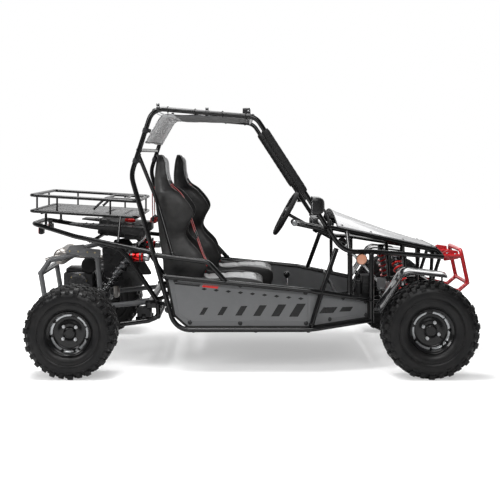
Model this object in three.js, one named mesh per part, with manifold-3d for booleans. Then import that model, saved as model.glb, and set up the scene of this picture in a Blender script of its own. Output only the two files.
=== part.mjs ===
// Two-seat off-road kart: tube frame, bucket seats, double wishbones in front, swing arm behind.
// Millimetres, +X forward, +Y to the kart's left, +Z up.
// The origin is on the ground, at the middle of the length and of the width.
import * as THREE from 'three';
import { mergeVertices } from 'three/addons/utils/BufferGeometryUtils.js';
import Module from 'manifold-3d';

const wasm = await Module();
wasm.setup();

// Driving dimensions
const overallLength = 2420;
const wheelbase = 1800;
const frontAxleX = 890;
const rearAxleX = frontAxleX - wheelbase;
const overallWidth = 1480;
const clearance = 0.3;
const overrun = 2;
const barSlack = 0.2;
const loopSides = 6;
const tubeSides = 5;
const rackSides = 4;
const weldDistance = 1e-4;

// Tube radii
const mainTube = 12.7;
const braceTube = 10;
const rackTube = 8.5;
const rackSlat = 5;
const bumperTube = 11;

// Main loop of one frame side, from the nose over the roof and back along the floor
const loop = {
  halfWidth: 560, pillarFootHalfWidth: 520, footHalfWidth: 482, noseHalfWidth: 250,
  nose: { x: 1039, z: 561 }, railBend: { x: 618, z: 613 }, pillarFoot: { x: 470, z: 615 },
  roofFront: { x: 20, z: 1310 }, roofRear: { x: -508, z: 1354 }, elbow: { x: -619, z: 1012 },
  heel: { x: -392, z: 220 }, floorBend: { x: 300, z: 221 }, toe: { x: 620, z: 258 },
  railRadius: 150, pillarRadius: 130, roofRadius: 75, elbowRadius: 130, heelRadius: 100, floorRadius: 300,
};
const doorRail = { rear: { x: -455, z: 494 }, bend: { x: 300, z: 420 }, front: { x: 622, z: 362 }, radius: 20 };
const doorPost = { foot: { x: 302, z: 235 }, knee: { x: 359, z: 414 }, head: { x: 437, z: 634 }, radius: 300 };
const hipTube = { rear: { x: -498, z: 603 }, bend: { x: -225, z: 567 }, front: { x: -133, z: 466 }, radius: 60 };
const backBrace = { head: { x: -584, z: 1125 }, middle: { x: -492, z: 881 }, foot: { x: -405, z: 600 },
  middleHalfWidth: 492, radius: 200 };
const frontPosts = { rear: 504, front: 622 };

// Cross members between the two frame sides
const roofBar = { frontX: 2, rearX: -498 };
const backBar = { x: -579, z: 1140 };
const lowBackBar = { x: -430, z: 320 };
const dashBar = { x: 390, z: 722, halfWidth: 527 };
const floorBars = [-300, 20, 290];
const footBar = { x: 598, z: 254 };
const seatRail = { rear: -300, front: 70, z: 341, radius: 9, halfGauge: 120 };
const seatFoot = { rear: -240, front: 20, radius: 8 };
const grab = { x: 225, z: 758, halfWidth: 390, gripLength: 120, radius: 12, bend: 32 };
const leverBase = { x: 205, z: 258, length: 60, width: 34, height: 60 };

// Front corner: wheel, uprights and arms
const frontWheel = { radius: 241.3, halfWidth: 89, sides: 16 };
const rearWheel = { radius: 228.6, halfWidth: 120.5, sides: 16 };
const rimRadius = 101.6;
const rimLip = 10;
const rimWall = 4;
const tyreWall = 9;
const frontWheelY = overallWidth / 2 - frontWheel.halfWidth;
const rearWheelY = overallWidth / 2 - rearWheel.halfWidth;
const kingpin = { y: 592, radius: 8, foot: 170, head: 315 };
const upright = { thick: 11.7, spine: 10, earWidth: 24.3, lug: 15, lugHalf: 14, lugReach: 606 };
const sleeve = { radius: 15, armRoot: 11 };
const spindle = { radius: 12, inner: 603, overhang: 49 };
const outerBush = 14;
const steerArm = { radius: 8, root: 265, knee: { x: 820, y: 560, z: 268 }, tip: { x: 800, y: 540, z: 274 } };
const lowerArm = { rear: 790, front: 990, railY: 165, railZ: 262, outerY: 545, outerZ: 175, tube: 11, bush: 13, earFoot: 198 };
const upperArm = { rear: 865, front: 958, railY: 190, railZ: 392, outerY: 545, outerZ: 310, tube: 9, bush: 12 };
const bushHalf = 20;
const earThick = 4;
const earDepth = 14;

// Front frame
const hoodTube = { rear: { x: 396, z: 738 }, front: { x: 1012, z: 596 }, rearHalfWidth: 430, frontHalfWidth: 236,
  radius: 40 };
const bulkhead = { rear: 812, middle: 907, front: 985 };
const noseRail = { lowRear: 585, highRear: 770, front: 1012 };

// Steering
const rack = { x: 770, z: 300, halfLength: 205, radius: 8, housingRadius: 20, housingHalf: 135, gearY: 96, towerHeight: 40 };
const tieRod = { radius: 6, end: 9, height: 14, gap: 3, swingGap: 1.4 };
const wheelRim = { x: 213, y: 260, z: 769, radius: 135, grip: 15, slopeDegrees: 29 };
const column = { radius: 10, length: 400, shaftRadius: 9, jointGap: 6, jointRadius: 15, jointLength: 26,
  collar: 17, collarHalf: 14 };
const spoke = { width: 26, thick: 5, hub: 34, hubLength: 40 };

// Dampers: eye places and sizes
const frontShock = { top: { x: 777, y: 271, z: 565 }, foot: { x: 852, y: 440, z: 230 },
  body: 17, rod: 7, eye: 12, eyeHalf: 12, coil: 23, wire: 4, curls: 4, room: 60, rodTop: 105, bodyShare: 0.52 };
const rearShock = { topY: 330, foot: { x: -850, y: 300, z: 322 },
  body: 17, rod: 7, eye: 12, eyeHalf: 12, coil: 24, wire: 4.5, curls: 4, room: 60, rodTop: 105, bodyShare: 0.5 };

const eyeSlack = 0.6;
const shockFlange = { near: 26, thick: 5, radius: 29.5, far: 45 };

// Rear frame and swing arm
const rearHoop = { front: { x: -505, z: 612 }, middle: { x: -944, z: 679 }, middleHalfWidth: 330,
  tailZ: 737, tailHalfWidth: 180, radius: 60, bendRadius: 300, frontHalfWidth: 545 };
const rearSide = { head: { x: -868, z: 666 }, headHalfWidth: 368, halfWidth: 402,
  shoulder: { x: -705, z: 624 }, neck: { x: -652, z: 576 }, knee: { x: -494, z: 338 }, heel: { x: -492, z: 262 },
  toe: { x: -545, z: 240 }, tail: { x: -690, z: 222 }, radius: 30 };
const rearLink = { frame: { x: -428, z: 345 }, halfWidth: 545 };
const pivot = { x: -540, z: 326, radius: 18, halfLength: 385 };
const axle = { radius: 15, hub: 46, hubLength: 24, sprocketY: 62, sprocket: 78, discY: -70, disc: 82, plate: 5 };
const bearing = { halfLength: 20, radius: 40 };
const swing = { y: 300, tube: 14, middle: { x: -749, z: 305 }, rear: { x: -930, z: 277 }, earFoot: 285 };
const cradle = { halfWidth: 232, tube: 14, cross: 16, low: { x: -1085, z: 262 }, tail: { x: -1125, z: 338 },
  back: { x: -1147, z: 470 }, crown: { x: -1098, z: 540 }, top: { x: -897, z: 588 }, post: { x: -838, z: 556 },
  foot: { x: -815, z: 295 }, bed: -1010, radius: 40, hangerDepth: 40, hangerThick: 15 };

// Engine group
const engine = { x: -965, z: 400, length: 170, width: 210, height: 120, y: 10, footWidth: 40, footThick: 10 };
const driveCase = { y: 134, thick: 52, front: -800, rear: -1040, z: 395, radius: 62 };
const barrel = { front: -738, radius: 48, z: 412, fin: 58, fins: 3, finThick: 4, finSides: 6 };
const muffler = { x: -1050, z: 552, radius: 42, halfLength: 165, neck: 30, cap: 12 };
const fuelTank = { length: 250, width: 290, height: 92, corner: 24, x: -735 };
const fuelBars = { front: -620, rear: -838 };

// Cargo rack
const cargo = { rear: -1180, front: -612, halfWidth: 340, rearZ: 900, frontZ: 866, height: 85, corner: 30,
  sidePosts: 2, endPosts: 2, slats: 5, strut: 7 };
const cargoLegs = { rear: -1120, front: -700 };

// Body panels
const sheet = 3;
const sidePanel = { rearTop: { x: -438, z: 488 }, foldTopZ: 416, frontTop: { x: 606, z: 360 },
  frontFoot: { x: 604, z: 268 }, rearFootX: -330, rearKnee: { x: -398, z: 292 } };
const floorPan = { rear: -345, front: 575, frontHalfWidth: 455, edge: 3 };
const hood = { rear: 450, front: 1012, rearHalfWidth: 428, frontHalfWidth: 222, crown: 66, fallPower: 1.3,
  rows: 5, columns: 6 };
const fender = { tail: { x: 630, z: 341 }, knee: { x: 757, z: 543 }, tip: { x: 964, z: 519 }, radius: 55,
  inner: 574, outer: 738, lip: 12, thick: 3, crown: 8 };
const fenderStay = { radius: 5, knee: { x: 960, y: 560, z: 268 }, foot: { x: 975, y: 548, z: 290 },
  head: { x: 975, y: 548, z: 488 }, tip: { x: 950, y: 612, z: 515.7 }, bend: 12 };
const canopy = { thick: 4, hem: { x: -548, z: 1176 }, fold: { x: -466, z: 1322 },
  sag: 12, rows: 5, columns: 10, folds: 2, foldDepth: 5 };
const bumperFace = overallLength / 2;
const bumper = { halfWidth: 150, topSetback: 50, topZ: 589, chinSetback: 64, chinZ: 363, chestZ: 407,
  footZ: 392, radius: 22, armZ: 556 };

// Cabin
const seat = { y: 260, driverShift: 66 };
const dash = { width: 250, height: 65, depth: 32, wall: 3, z: 732 };
const pedal = { x: 520, z: 262, brakeY: 330, throttleY: 190, lean: 26, height: 150, arm: 7, padWidth: 62,
  padHeight: 78, padThick: 8, bushRadius: 10, bushHalf: 16, earDepth: 26 };
const gearLever = { height: 165, radius: 6, knob: 19, bush: 11, bushHalf: 9 };
const mirrorStub = { root: { x: 374, z: 742 }, rootY: 528, tip: { x: 396, z: 742 }, tipY: 558, radius: 8 };
const mirror = { neck: { x: 366, y: 600, z: 838 }, shell: { x: 332, y: 650, z: 861 }, stalk: 6, width: 140,
  height: 88, depth: 62, baseRadius: 11, baseHeight: 24 };
const roofLamp = { x: -22, z: 1364, width: 120, depth: 45, height: 34, footWidth: 40, footDepth: 20 };

// Small builders. Each geometry comes back as one closed solid for joining and cutting.
class KnotPath extends THREE.Curve {
  constructor(knots) {
    super();
    this.knots = knots;
  }
  getPointAt(share, target = new THREE.Vector3()) {
    return target.copy(this.knots[Math.round(share * (this.knots.length - 1))]);
  }
  getTangentAt(share, target = new THREE.Vector3()) {
    const last = this.knots.length - 1;
    const index = Math.round(share * last);
    const before = this.knots[Math.max(index - 1, 0)];
    const after = this.knots[Math.min(index + 1, last)];
    const here = this.knots[index];
    const arriving = here.clone().sub(before).normalize();
    const leaving = after.clone().sub(here).normalize();
    return target.copy(arriving.add(leaving)).normalize();
  }
}

const arcStep = THREE.MathUtils.degToRad(50);

// Rounds the corners of a run of straight lines. radii holds one value for each inner corner.
function roundedKnots(points, radii) {
  const knots = [points[0].clone()];
  for (let index = 1; index < points.length - 1; index += 1) {
    const corner = points[index];
    const back = points[index - 1].clone().sub(corner);
    const ahead = points[index + 1].clone().sub(corner);
    const turn = Math.PI - back.angleTo(ahead);
    const reach = radii[index - 1] * Math.tan(turn / 2);
    const start = corner.clone().add(back.clone().normalize().multiplyScalar(reach));
    const end = corner.clone().add(ahead.clone().normalize().multiplyScalar(reach));
    const bisector = back.clone().normalize().add(ahead.clone().normalize()).normalize();
    const centre = corner.clone().add(bisector.multiplyScalar(radii[index - 1] / Math.cos(turn / 2)));
    const steps = Math.max(1, Math.ceil(turn / arcStep));
    const from = start.clone().sub(centre);
    const to = end.clone().sub(centre);
    for (let step = 0; step <= steps; step += 1) {
      const share = step / steps;
      const weightFrom = Math.sin((1 - share) * turn) / Math.sin(turn);
      const weightTo = Math.sin(share * turn) / Math.sin(turn);
      knots.push(centre.clone().addScaledVector(from, weightFrom).addScaledVector(to, weightTo));
    }
  }
  knots.push(points[points.length - 1].clone());
  return knots;
}

function circleSection(radius, sides) {
  const section = new THREE.Shape();
  for (let side = 0; side < sides; side += 1) {
    const angle = (side + 1 / 2) * 2 * Math.PI / sides;
    section[side ? 'lineTo' : 'moveTo'](radius * Math.cos(angle), radius * Math.sin(angle));
  }
  section.closePath();
  return section;
}

function sweep(knots, radius, sides = tubeSides) {
  return new THREE.ExtrudeGeometry(circleSection(radius, sides),
    { steps: knots.length - 1, extrudePath: new KnotPath(knots), bevelEnabled: false });
}

function toSolid(geometry, side = 1) {
  const bare = geometry.index ? geometry.toNonIndexed() : geometry.clone();
  Object.keys(bare.attributes).filter((key) => key !== 'position').forEach((key) => bare.deleteAttribute(key));
  bare.scale(1, side, 1);
  const merged = mergeVertices(bare, weldDistance);
  const place = merged.attributes.position;
  const kept = [];
  let volume = 0;
  const [a, b, c] = [new THREE.Vector3(), new THREE.Vector3(), new THREE.Vector3()];
  for (let index = 0; index < merged.index.count; index += 3) {
    const corner = [0, 1, 2].map((step) => merged.index.getX(index + step));
    if (new Set(corner).size === 3) {
      kept.push(...corner);
      [a, b, c].forEach((point, order) => point.fromBufferAttribute(place, corner[order]));
      volume += a.dot(b.cross(c));
    }
  }
  if (volume < 0) kept.reverse();
  return new wasm.Manifold(new wasm.Mesh({
    numProp: 3, vertProperties: new Float32Array(place.array), triVerts: new Uint32Array(kept),
  }));
}

const point = (place, y) => new THREE.Vector3(place.x, y, place.z);
const unite = (solids) => solids.reduce((whole, next) => whole.add(next));
const carve = (whole, cutters) => cutters.reduce((rest, cutter) => rest.subtract(cutter), whole);
const mix = THREE.MathUtils.lerp;

// A grown tube is thicker and longer at both ends, and stands for the tube with its clearance round it
function bentTube(points, radii, radius, sides = tubeSides, grow = 0) {
  const ends = points.map((corner) => corner.clone());
  const last = ends.length - 1;
  ends[0].addScaledVector(points[0].clone().sub(points[1]).normalize(), grow);
  ends[last].addScaledVector(points[last].clone().sub(points[last - 1]).normalize(), grow);
  return toSolid(sweep(roundedKnots(ends, radii), radius + grow, sides));
}

const straightTube = (from, to, radius, sides = tubeSides, grow = 0) => bentTube([from, to], [], radius, sides, grow);

function box(size, centre, turn = [0, 0, 0]) {
  const geometry = new THREE.BoxGeometry(...size);
  geometry.rotateX(turn[0]).rotateY(turn[1]).rotateZ(turn[2]).translate(...centre);
  return toSolid(geometry);
}

// Bores are widened so that their flats clear the shaft that they hold
const boreRadius = (shaft, sides) => (shaft + clearance) / Math.cos(Math.PI / sides);

// A cylinder along a row axis, 0 for X, 1 for Y and 2 for Z
function cylinder(axis, radius, length, centre, sides = 8) {
  const geometry = new THREE.CylinderGeometry(radius, radius, length, sides);
  if (axis === 0) geometry.rotateZ(-Math.PI / 2);
  if (axis === 2) geometry.rotateX(Math.PI / 2);
  return toSolid(geometry.translate(...centre));
}

function turned(profile, sides, start = 0) {
  return new THREE.LatheGeometry(profile.map(([radius, along]) => new THREE.Vector2(radius, along)), sides, start);
}

// A closed skin through rings of points, with a fan over each end
function loft(rings) {
  const vertices = [];
  const faces = [];
  const count = rings[0].length;
  rings.forEach((ring) => ring.forEach((corner) => vertices.push(corner)));
  for (let row = 0; row < rings.length - 1; row += 1) {
    for (let step = 0; step < count; step += 1) {
      const here = row * count + step;
      const next = row * count + (step + 1) % count;
      faces.push([here, next, next + count], [here, next + count, here + count]);
    }
  }
  [0, rings.length - 1].forEach((row) => {
    const middle = new THREE.Vector3();
    rings[row].forEach((corner) => middle.addScaledVector(corner, 1 / count));
    const hub = vertices.push(middle) - 1;
    for (let step = 0; step < count; step += 1) {
      const here = row * count + step;
      const next = row * count + (step + 1) % count;
      faces.push(row ? [here, next, hub] : [next, here, hub]);
    }
  });
  return fromFaces(vertices, faces);
}

function fromFaces(vertices, faces) {
  const geometry = new THREE.BufferGeometry();
  const flat = faces.flat().flatMap((index) => vertices[index].toArray());
  geometry.setAttribute('position', new THREE.Float32BufferAttribute(flat, 3));
  return geometry;
}

// A sheet of even thickness: place(u, v) gives its outer face and depth(u, v) the way to its inner face
function slab(rows, columns, place, depth) {
  const vertices = [];
  const width = columns + 1;
  const level = (rows + 1) * width;
  for (let layer = 0; layer < 2; layer += 1) {
    for (let row = 0; row <= rows; row += 1) {
      for (let column = 0; column <= columns; column += 1) {
        const corner = place(row / rows, column / columns);
        vertices.push(layer ? corner.add(depth(row / rows, column / columns)) : corner);
      }
    }
  }
  const faces = [];
  const quad = (a, b, c, d) => faces.push([a, b, c], [a, c, d]);
  for (let row = 0; row < rows; row += 1) {
    for (let column = 0; column < columns; column += 1) {
      const corner = row * width + column;
      quad(corner, corner + 1, corner + width + 1, corner + width);
      quad(level + corner, level + corner + width, level + corner + width + 1, level + corner + 1);
    }
  }
  for (let row = 0; row < rows; row += 1) {
    const near = row * width;
    const far = near + columns;
    quad(near, near + width, near + width + level, near + level);
    quad(far, far + level, far + width + level, far + width);
  }
  for (let column = 0; column < columns; column += 1) {
    const last = rows * width + column;
    quad(column, column + level, column + 1 + level, column + 1);
    quad(last, last + 1, last + 1 + level, last + level);
  }
  return toSolid(fromFaces(vertices, faces));
}

// Finishes
const finish = (color, roughness, metalness) => new THREE.MeshStandardMaterial({ color, roughness, metalness });
const finishes = {
  framePaint: finish(0x151515, 0.35, 0.4),
  redPaint: finish(0xa51a24, 0.4, 0.3),
  greyPaint: finish(0x77797b, 0.5, 0.3),
  whiteGloss: finish(0xe4e5e7, 0.2, 0.0),
  blackPlastic: finish(0x1b1b1c, 0.45, 0.0),
  panelGrey: finish(0x66686a, 0.5, 0.0),
  cloth: finish(0xc9cacc, 0.9, 0.0),
  leather: finish(0x1d1d1f, 0.55, 0.0),
  tyreRubber: finish(0x1c1c1c, 0.9, 0.0),
  steel: finish(0x8d9094, 0.35, 0.9),
  castMetal: finish(0x4a4c4f, 0.6, 0.7),
  lampLens: finish(0xe8eef2, 0.1, 0.0),
};

const kart = new THREE.Group();
kart.name = 'kart';

function addPart(name, material, solid, group = kart) {
  const shape = solid.getMesh();
  const geometry = new THREE.BufferGeometry();
  geometry.setAttribute('position', new THREE.Float32BufferAttribute(shape.vertProperties, 3));
  geometry.setIndex(new THREE.Uint32BufferAttribute(shape.triVerts, 1));
  geometry.computeVertexNormals();
  const mesh = new THREE.Mesh(geometry, material);
  mesh.name = name;
  group.add(mesh);
  return mesh;
}

const sides = [['right', -1], ['left', 1]];

// Frame sides: the main loop with its door rail, posts, hip tube and back brace
const loopPoints = [
  point(loop.nose, loop.noseHalfWidth), point(loop.railBend, loop.footHalfWidth),
  point(loop.pillarFoot, loop.pillarFootHalfWidth), point(loop.roofFront, loop.halfWidth),
  point(loop.roofRear, loop.halfWidth), point(loop.elbow, loop.halfWidth), point(loop.heel, loop.halfWidth),
  point(loop.floorBend, loop.halfWidth), point(loop.toe, loop.footHalfWidth),
];
const loopRadii = [loop.railRadius, loop.pillarRadius, loop.roofRadius, loop.roofRadius, loop.elbowRadius,
  loop.heelRadius, loop.floorRadius];
const sidePlan = (x) => x < loop.floorBend.x ? loop.halfWidth
  : mix(loop.halfWidth, loop.footHalfWidth, (x - loop.floorBend.x) / (loop.toe.x - loop.floorBend.x));
const slopeX = (from, to, z) => mix(from.x, to.x, (z - from.z) / (to.z - from.z));
const slopeZ = (from, to, x) => mix(from.z, to.z, (x - from.x) / (to.x - from.x));

function frameTubes(grow = 0) {
  const atPlan = (place) => point(place, sidePlan(place.x));
  const postTop = (x, y) => new THREE.Vector3(x, y, loop.railBend.z);
  const bend = (points, radii, radius) => bentTube(points, radii, radius, radius < mainTube ? tubeSides : loopSides, grow);
  return [
    bend(loopPoints, loopRadii, mainTube),
    bend([atPlan(doorRail.rear), atPlan(doorRail.bend), atPlan(doorRail.front)], [doorRail.radius], mainTube),
    bend([atPlan(doorPost.foot), atPlan(doorPost.knee), point(doorPost.head, loop.pillarFootHalfWidth)],
      [doorPost.radius], mainTube),
    bend([postTop(frontPosts.rear, sidePlan(frontPosts.rear)), new THREE.Vector3(frontPosts.rear,
      sidePlan(frontPosts.rear), slopeZ(doorRail.bend, doorRail.front, frontPosts.rear))], [], braceTube),
    bend([postTop(frontPosts.front, loop.footHalfWidth),
      new THREE.Vector3(frontPosts.front, loop.footHalfWidth, loop.toe.z - mainTube)], [], mainTube),
    bend([atPlan(hipTube.rear), atPlan(hipTube.bend), atPlan(hipTube.front)], [hipTube.radius], mainTube),
    bend([point(backBrace.head, loop.halfWidth), point(backBrace.middle, backBrace.middleHalfWidth),
      point(backBrace.foot, loop.halfWidth)], [backBrace.radius], braceTube),
    bend([point(mirrorStub.root, mirrorStub.rootY), point(mirrorStub.tip, mirrorStub.tipY)], [],
      mirrorStub.radius),
  ];
}

const mirrored = (solids) => solids.map((solid) => solid.mirror([0, 1, 0]));
const leftTubes = frameTubes();
const leftHull = unite(frameTubes(clearance));
const rightHull = leftHull.mirror([0, 1, 0]);
const bothHulls = leftHull.add(rightHull);
addPart('frame_side_right', finishes.framePaint, unite(mirrored(leftTubes)));

// Cross members are welded to the left side and end at the right one
const across = (place, halfWidth, radius) => straightTube(point(place, -halfWidth), point(place, halfWidth), radius);
const barSpan = (place, halfWidth, radius) => straightTube(
  point(place, mainTube + clearance + barSlack - halfWidth), point(place, halfWidth), radius);
const roofZ = (x) => slopeZ(loop.roofFront, loop.roofRear, x);
const floorZ = slopeZ(loop.heel, loop.floorBend, loop.heel.x);
const crossMembers = [
  barSpan({ x: roofBar.frontX, z: roofZ(roofBar.frontX) }, loop.halfWidth, braceTube),
  barSpan({ x: roofBar.rearX, z: roofZ(roofBar.rearX) - mainTube }, loop.halfWidth, braceTube),
  barSpan(backBar, loop.halfWidth, braceTube),
  barSpan(lowBackBar, loop.halfWidth, mainTube),
  barSpan(dashBar, dashBar.halfWidth, mainTube),
  ...floorBars.map((x) => barSpan({ x, z: floorZ }, loop.halfWidth, mainTube)),
  across(footBar, sidePlan(footBar.x + mainTube) - mainTube - overrun, mainTube),
  straightTube(point(footBar, 0), point(footBar, sidePlan(footBar.x)), mainTube),
];

// Seat rails stand on feet on the floor bars
const seatMounts = sides.flatMap(([, side]) => [-1, 1].flatMap((row) => {
  const y = side * seat.y + row * seatRail.halfGauge;
  const rail = box([seatRail.front - seatRail.rear, seatRail.radius * 2, seatRail.radius * 2],
    [(seatRail.front + seatRail.rear) / 2, y, seatRail.z]);
  const feet = [floorBars[0], floorBars[1]].map((x) => straightTube(new THREE.Vector3(x, y, floorZ),
    new THREE.Vector3(x, y, seatRail.z), seatFoot.radius, rackSides));
  return [rail, ...feet];
}));

// The passenger's grab handle reaches back from the dash bar
const grabEnds = [grab.gripLength / 2 - grab.halfWidth, -grab.gripLength / 2 - grab.halfWidth];
const grabHandle = bentTube([point(dashBar, grabEnds[0]), point(grab, grabEnds[0]), point(grab, grabEnds[1]),
  point(dashBar, grabEnds[1])], [grab.bend, grab.bend], grab.radius);
const leverMount = box([leverBase.length, leverBase.width, leverBase.height],
  [leverBase.x, 0, leverBase.z]);
const spine = straightTube(new THREE.Vector3(floorBars[0], 0, floorZ), new THREE.Vector3(floorBars[2], 0, floorZ),
  mainTube);
const leverSlot = box([leverBase.length + overrun, gearLever.bushHalf * 2 + clearance * 2, leverBase.height],
  [leverBase.x, 0, leverBase.z + leverBase.height / 2]);

// Pedal brackets reach back from the foot bar, one ear on each side of each pedal's bush
const pedalYs = [pedal.throttleY, pedal.brakeY];
const earOffset = (half) => half + clearance + earThick / 2;
const pedalEars = pedalYs.flatMap((y) => [-1, 1].map((way) => box(
  [footBar.x - pedal.x + pedal.bushRadius, earThick, pedal.earDepth],
  [(footBar.x + pedal.x - pedal.bushRadius) / 2, y + way * earOffset(pedal.bushHalf), pedal.z])));

// The steering column hangs from the dash bar in a collar
const columnWay = new THREE.Vector3(Math.cos(THREE.MathUtils.degToRad(wheelRim.slopeDegrees)), 0,
  -Math.sin(THREE.MathUtils.degToRad(wheelRim.slopeDegrees)));
const wheelCentre = point(wheelRim, wheelRim.y);
const collarRun = (dashBar.x - wheelRim.x) / columnWay.x;
const alongColumn = (run) => wheelCentre.clone().addScaledVector(columnWay, run);
const collar = straightTube(alongColumn(collarRun - column.collarHalf), alongColumn(collarRun + column.collarHalf),
  column.collar, 8);
const collarBore = straightTube(alongColumn(collarRun - column.collarHalf - overrun),
  alongColumn(collarRun + column.collarHalf + overrun), boreRadius(column.radius, 8), 8);
const collarHanger = straightTube(alongColumn(collarRun), point(dashBar, wheelRim.y), seatFoot.radius);

const crossBody = unite([...crossMembers, ...seatMounts, grabHandle, spine, leverMount, ...pedalEars, collar,
  collarHanger]);
const frameLeft = unite([...leftTubes, carve(crossBody, [leverSlot, collarBore, rightHull])]);
addPart('frame_side_left', finishes.framePaint, frameLeft);
const crossHulls = [across(dashBar, dashBar.halfWidth, mainTube + clearance),
  across(footBar, sidePlan(footBar.x), mainTube + clearance)];
const frameHull = unite([bothHulls, ...crossHulls]);

// Front frame: hood tubes, bulkheads, lower and upper rails, arm brackets and damper brackets
const hoodY = (x) => mix(hoodTube.rearHalfWidth, hoodTube.frontHalfWidth,
  (x - hoodTube.rear.x) / (hoodTube.front.x - hoodTube.rear.x));
const hoodZ = (x) => slopeZ(hoodTube.rear, hoodTube.front, x);
const onHood = (x) => new THREE.Vector3(x, hoodY(x), hoodZ(x));
const lowRail = (x) => new THREE.Vector3(x, lowerArm.railY, lowerArm.railZ);
const highRail = (x) => new THREE.Vector3(x, upperArm.railY, upperArm.railZ);
const lowerPivotY = lowerArm.railY + mainTube + clearance + lowerArm.bush;
const upperPivotY = upperArm.railY + braceTube + clearance + upperArm.bush;

function bushEars(arm, pivotY) {
  const reach = pivotY + arm.bush - arm.railY;
  return [arm.rear, arm.front].flatMap((x) => [-1, 1].map((way) => box([earThick, reach, earDepth],
    [x + way * earOffset(bushHalf), arm.railY + reach / 2, arm.railZ])));
}

const shockPost = bulkhead.rear;
const shockEars = [-1, 1].map((way) => box([earThick, earDepth * 2, earDepth * 2],
  [frontShock.top.x + way * earOffset(frontShock.eyeHalf), frontShock.top.y, frontShock.top.z + earThick / 2]));
const shockCap = box([shockPost - frontShock.top.x + earOffset(frontShock.eyeHalf) + earThick, earDepth * 2, earThick],
  [(shockPost + frontShock.top.x - earOffset(frontShock.eyeHalf)) / 2, frontShock.top.y,
    frontShock.top.z + earDepth + earThick / 2]);
const railPost = new THREE.Vector3(frontPosts.rear, loop.pillarFootHalfWidth - mainTube, loop.railBend.z);
const noseLeft = [
  bentTube([onHood(hoodTube.rear.x), onHood(hoodTube.front.x), point(loop.nose, hoodTube.frontHalfWidth)],
    [hoodTube.radius], mainTube),
  bentTube([lowRail(bulkhead.rear), highRail(bulkhead.rear), onHood(bulkhead.rear)], [hoodTube.radius],
    braceTube),
  straightTube(highRail(bulkhead.middle), onHood(bulkhead.middle), braceTube),
  bentTube([lowRail(bulkhead.front), highRail(bulkhead.front), onHood(bulkhead.front)], [hoodTube.radius],
    braceTube),
  straightTube(highRail(bulkhead.front), point(loop.nose, upperArm.railY), braceTube),
  straightTube(railPost, onHood(frontPosts.rear), braceTube),
  straightTube(new THREE.Vector3(footBar.x, lowerArm.railY, footBar.z), lowRail(noseRail.front), mainTube),
  straightTube(highRail(noseRail.highRear), highRail(noseRail.front), braceTube),
  ...bushEars(lowerArm, lowerPivotY), ...bushEars(upperArm, upperPivotY), ...shockEars, shockCap,
];
const noseCross = [
  across(loop.nose, hoodTube.frontHalfWidth, mainTube),
  across({ x: bulkhead.rear, z: lowerArm.railZ }, lowerArm.railY, braceTube),
  across({ x: bulkhead.front, z: lowerArm.railZ }, lowerArm.railY, braceTube),
  across({ x: noseRail.front, z: upperArm.railZ }, upperArm.railY, braceTube),
];
const rackMounts = [-1, 1].map((way) => box([bulkhead.rear - rack.x, earThick * 3, rack.z - lowerArm.railZ],
  [(bulkhead.rear + rack.x) / 2, way * rack.housingHalf / 2, (rack.z + lowerArm.railZ) / 2]));
const gearTower = cylinder(2, rack.housingRadius, rack.towerHeight,
  [rack.x, rack.gearY, rack.z + rack.towerHeight / 2]);
const rackHousing = unite([cylinder(1, rack.housingRadius, rack.housingHalf * 2, [rack.x, 0, rack.z]), gearTower,
  ...rackMounts]);
const rackBore = cylinder(1, boreRadius(rack.radius, 8), rack.housingHalf * 2 + overrun, [rack.x, 0, rack.z]);
const noseBody = unite([...noseLeft, ...mirrored(noseLeft), ...noseCross, rackHousing]);
addPart('front_frame', finishes.framePaint, carve(noseBody, [rackBore, frameHull]));

// Rear frame: the long hoop over the engine, two side loops, cross bars and damper brackets
const hoopTail = -overallLength / 2 + mainTube;
const hoopPoints = [point(rearHoop.front, rearHoop.frontHalfWidth), point(rearHoop.middle, rearHoop.middleHalfWidth),
  new THREE.Vector3(hoopTail, rearHoop.tailHalfWidth, rearHoop.tailZ)];
const flip = (corner) => new THREE.Vector3(corner.x, -corner.y, corner.z);
const hoopPath = [...hoopPoints, ...hoopPoints.toReversed().map(flip)];
const hoopRadii = [rearHoop.bendRadius, rearHoop.radius, rearHoop.radius, rearHoop.bendRadius];
const hoopTube = (grow) => bentTube(hoopPath, hoopRadii, mainTube, tubeSides, grow);
const hoopZ = (x) => slopeZ(rearHoop.front, rearHoop.middle, x);
const hoopY = (x) => mix(rearHoop.frontHalfWidth, rearHoop.middleHalfWidth,
  (x - rearHoop.front.x) / (rearHoop.middle.x - rearHoop.front.x));
const sideLoopPoints = [point(rearSide.head, rearSide.headHalfWidth), point(rearSide.shoulder, rearSide.halfWidth),
  point(rearSide.neck, rearSide.halfWidth), point(rearSide.knee, rearSide.halfWidth),
  point(rearSide.heel, rearSide.halfWidth), point(rearSide.toe, rearSide.halfWidth),
  point(rearSide.tail, rearSide.halfWidth)];
const rearShockTopZ = hoopZ(fuelBars.front) - braceTube - clearance - rearShock.eye;
const rearEars = [-1, 1].map((way) => box([earDepth * 2, earThick, earDepth * 3],
  [fuelBars.front, rearShock.topY + way * earOffset(rearShock.eyeHalf), rearShockTopZ + earDepth]));
const pivotPlate = box([rearSide.knee.x - pivot.x + earDepth, earThick * 2, earDepth * 3],
  [(rearSide.knee.x + pivot.x) / 2, pivot.halfLength + clearance + earThick, pivot.z]);
const rearLeft = [
  bentTube(sideLoopPoints, sideLoopPoints.slice(2).map(() => rearSide.radius), mainTube),
  straightTube(point(rearLink.frame, rearLink.halfWidth), point(rearSide.knee, rearSide.halfWidth), braceTube),
  ...rearEars, pivotPlate,
];
const rearCross = [hoopTube(0),
  ...[fuelBars.front, fuelBars.rear].map((x) => across({ x, z: hoopZ(x) }, hoopY(x), braceTube)),
  across(rearSide.heel, rearSide.halfWidth, mainTube),
];
addPart('rear_frame', finishes.framePaint, carve(unite([...rearLeft, ...mirrored(rearLeft), ...rearCross]),
  [bothHulls]));

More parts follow.
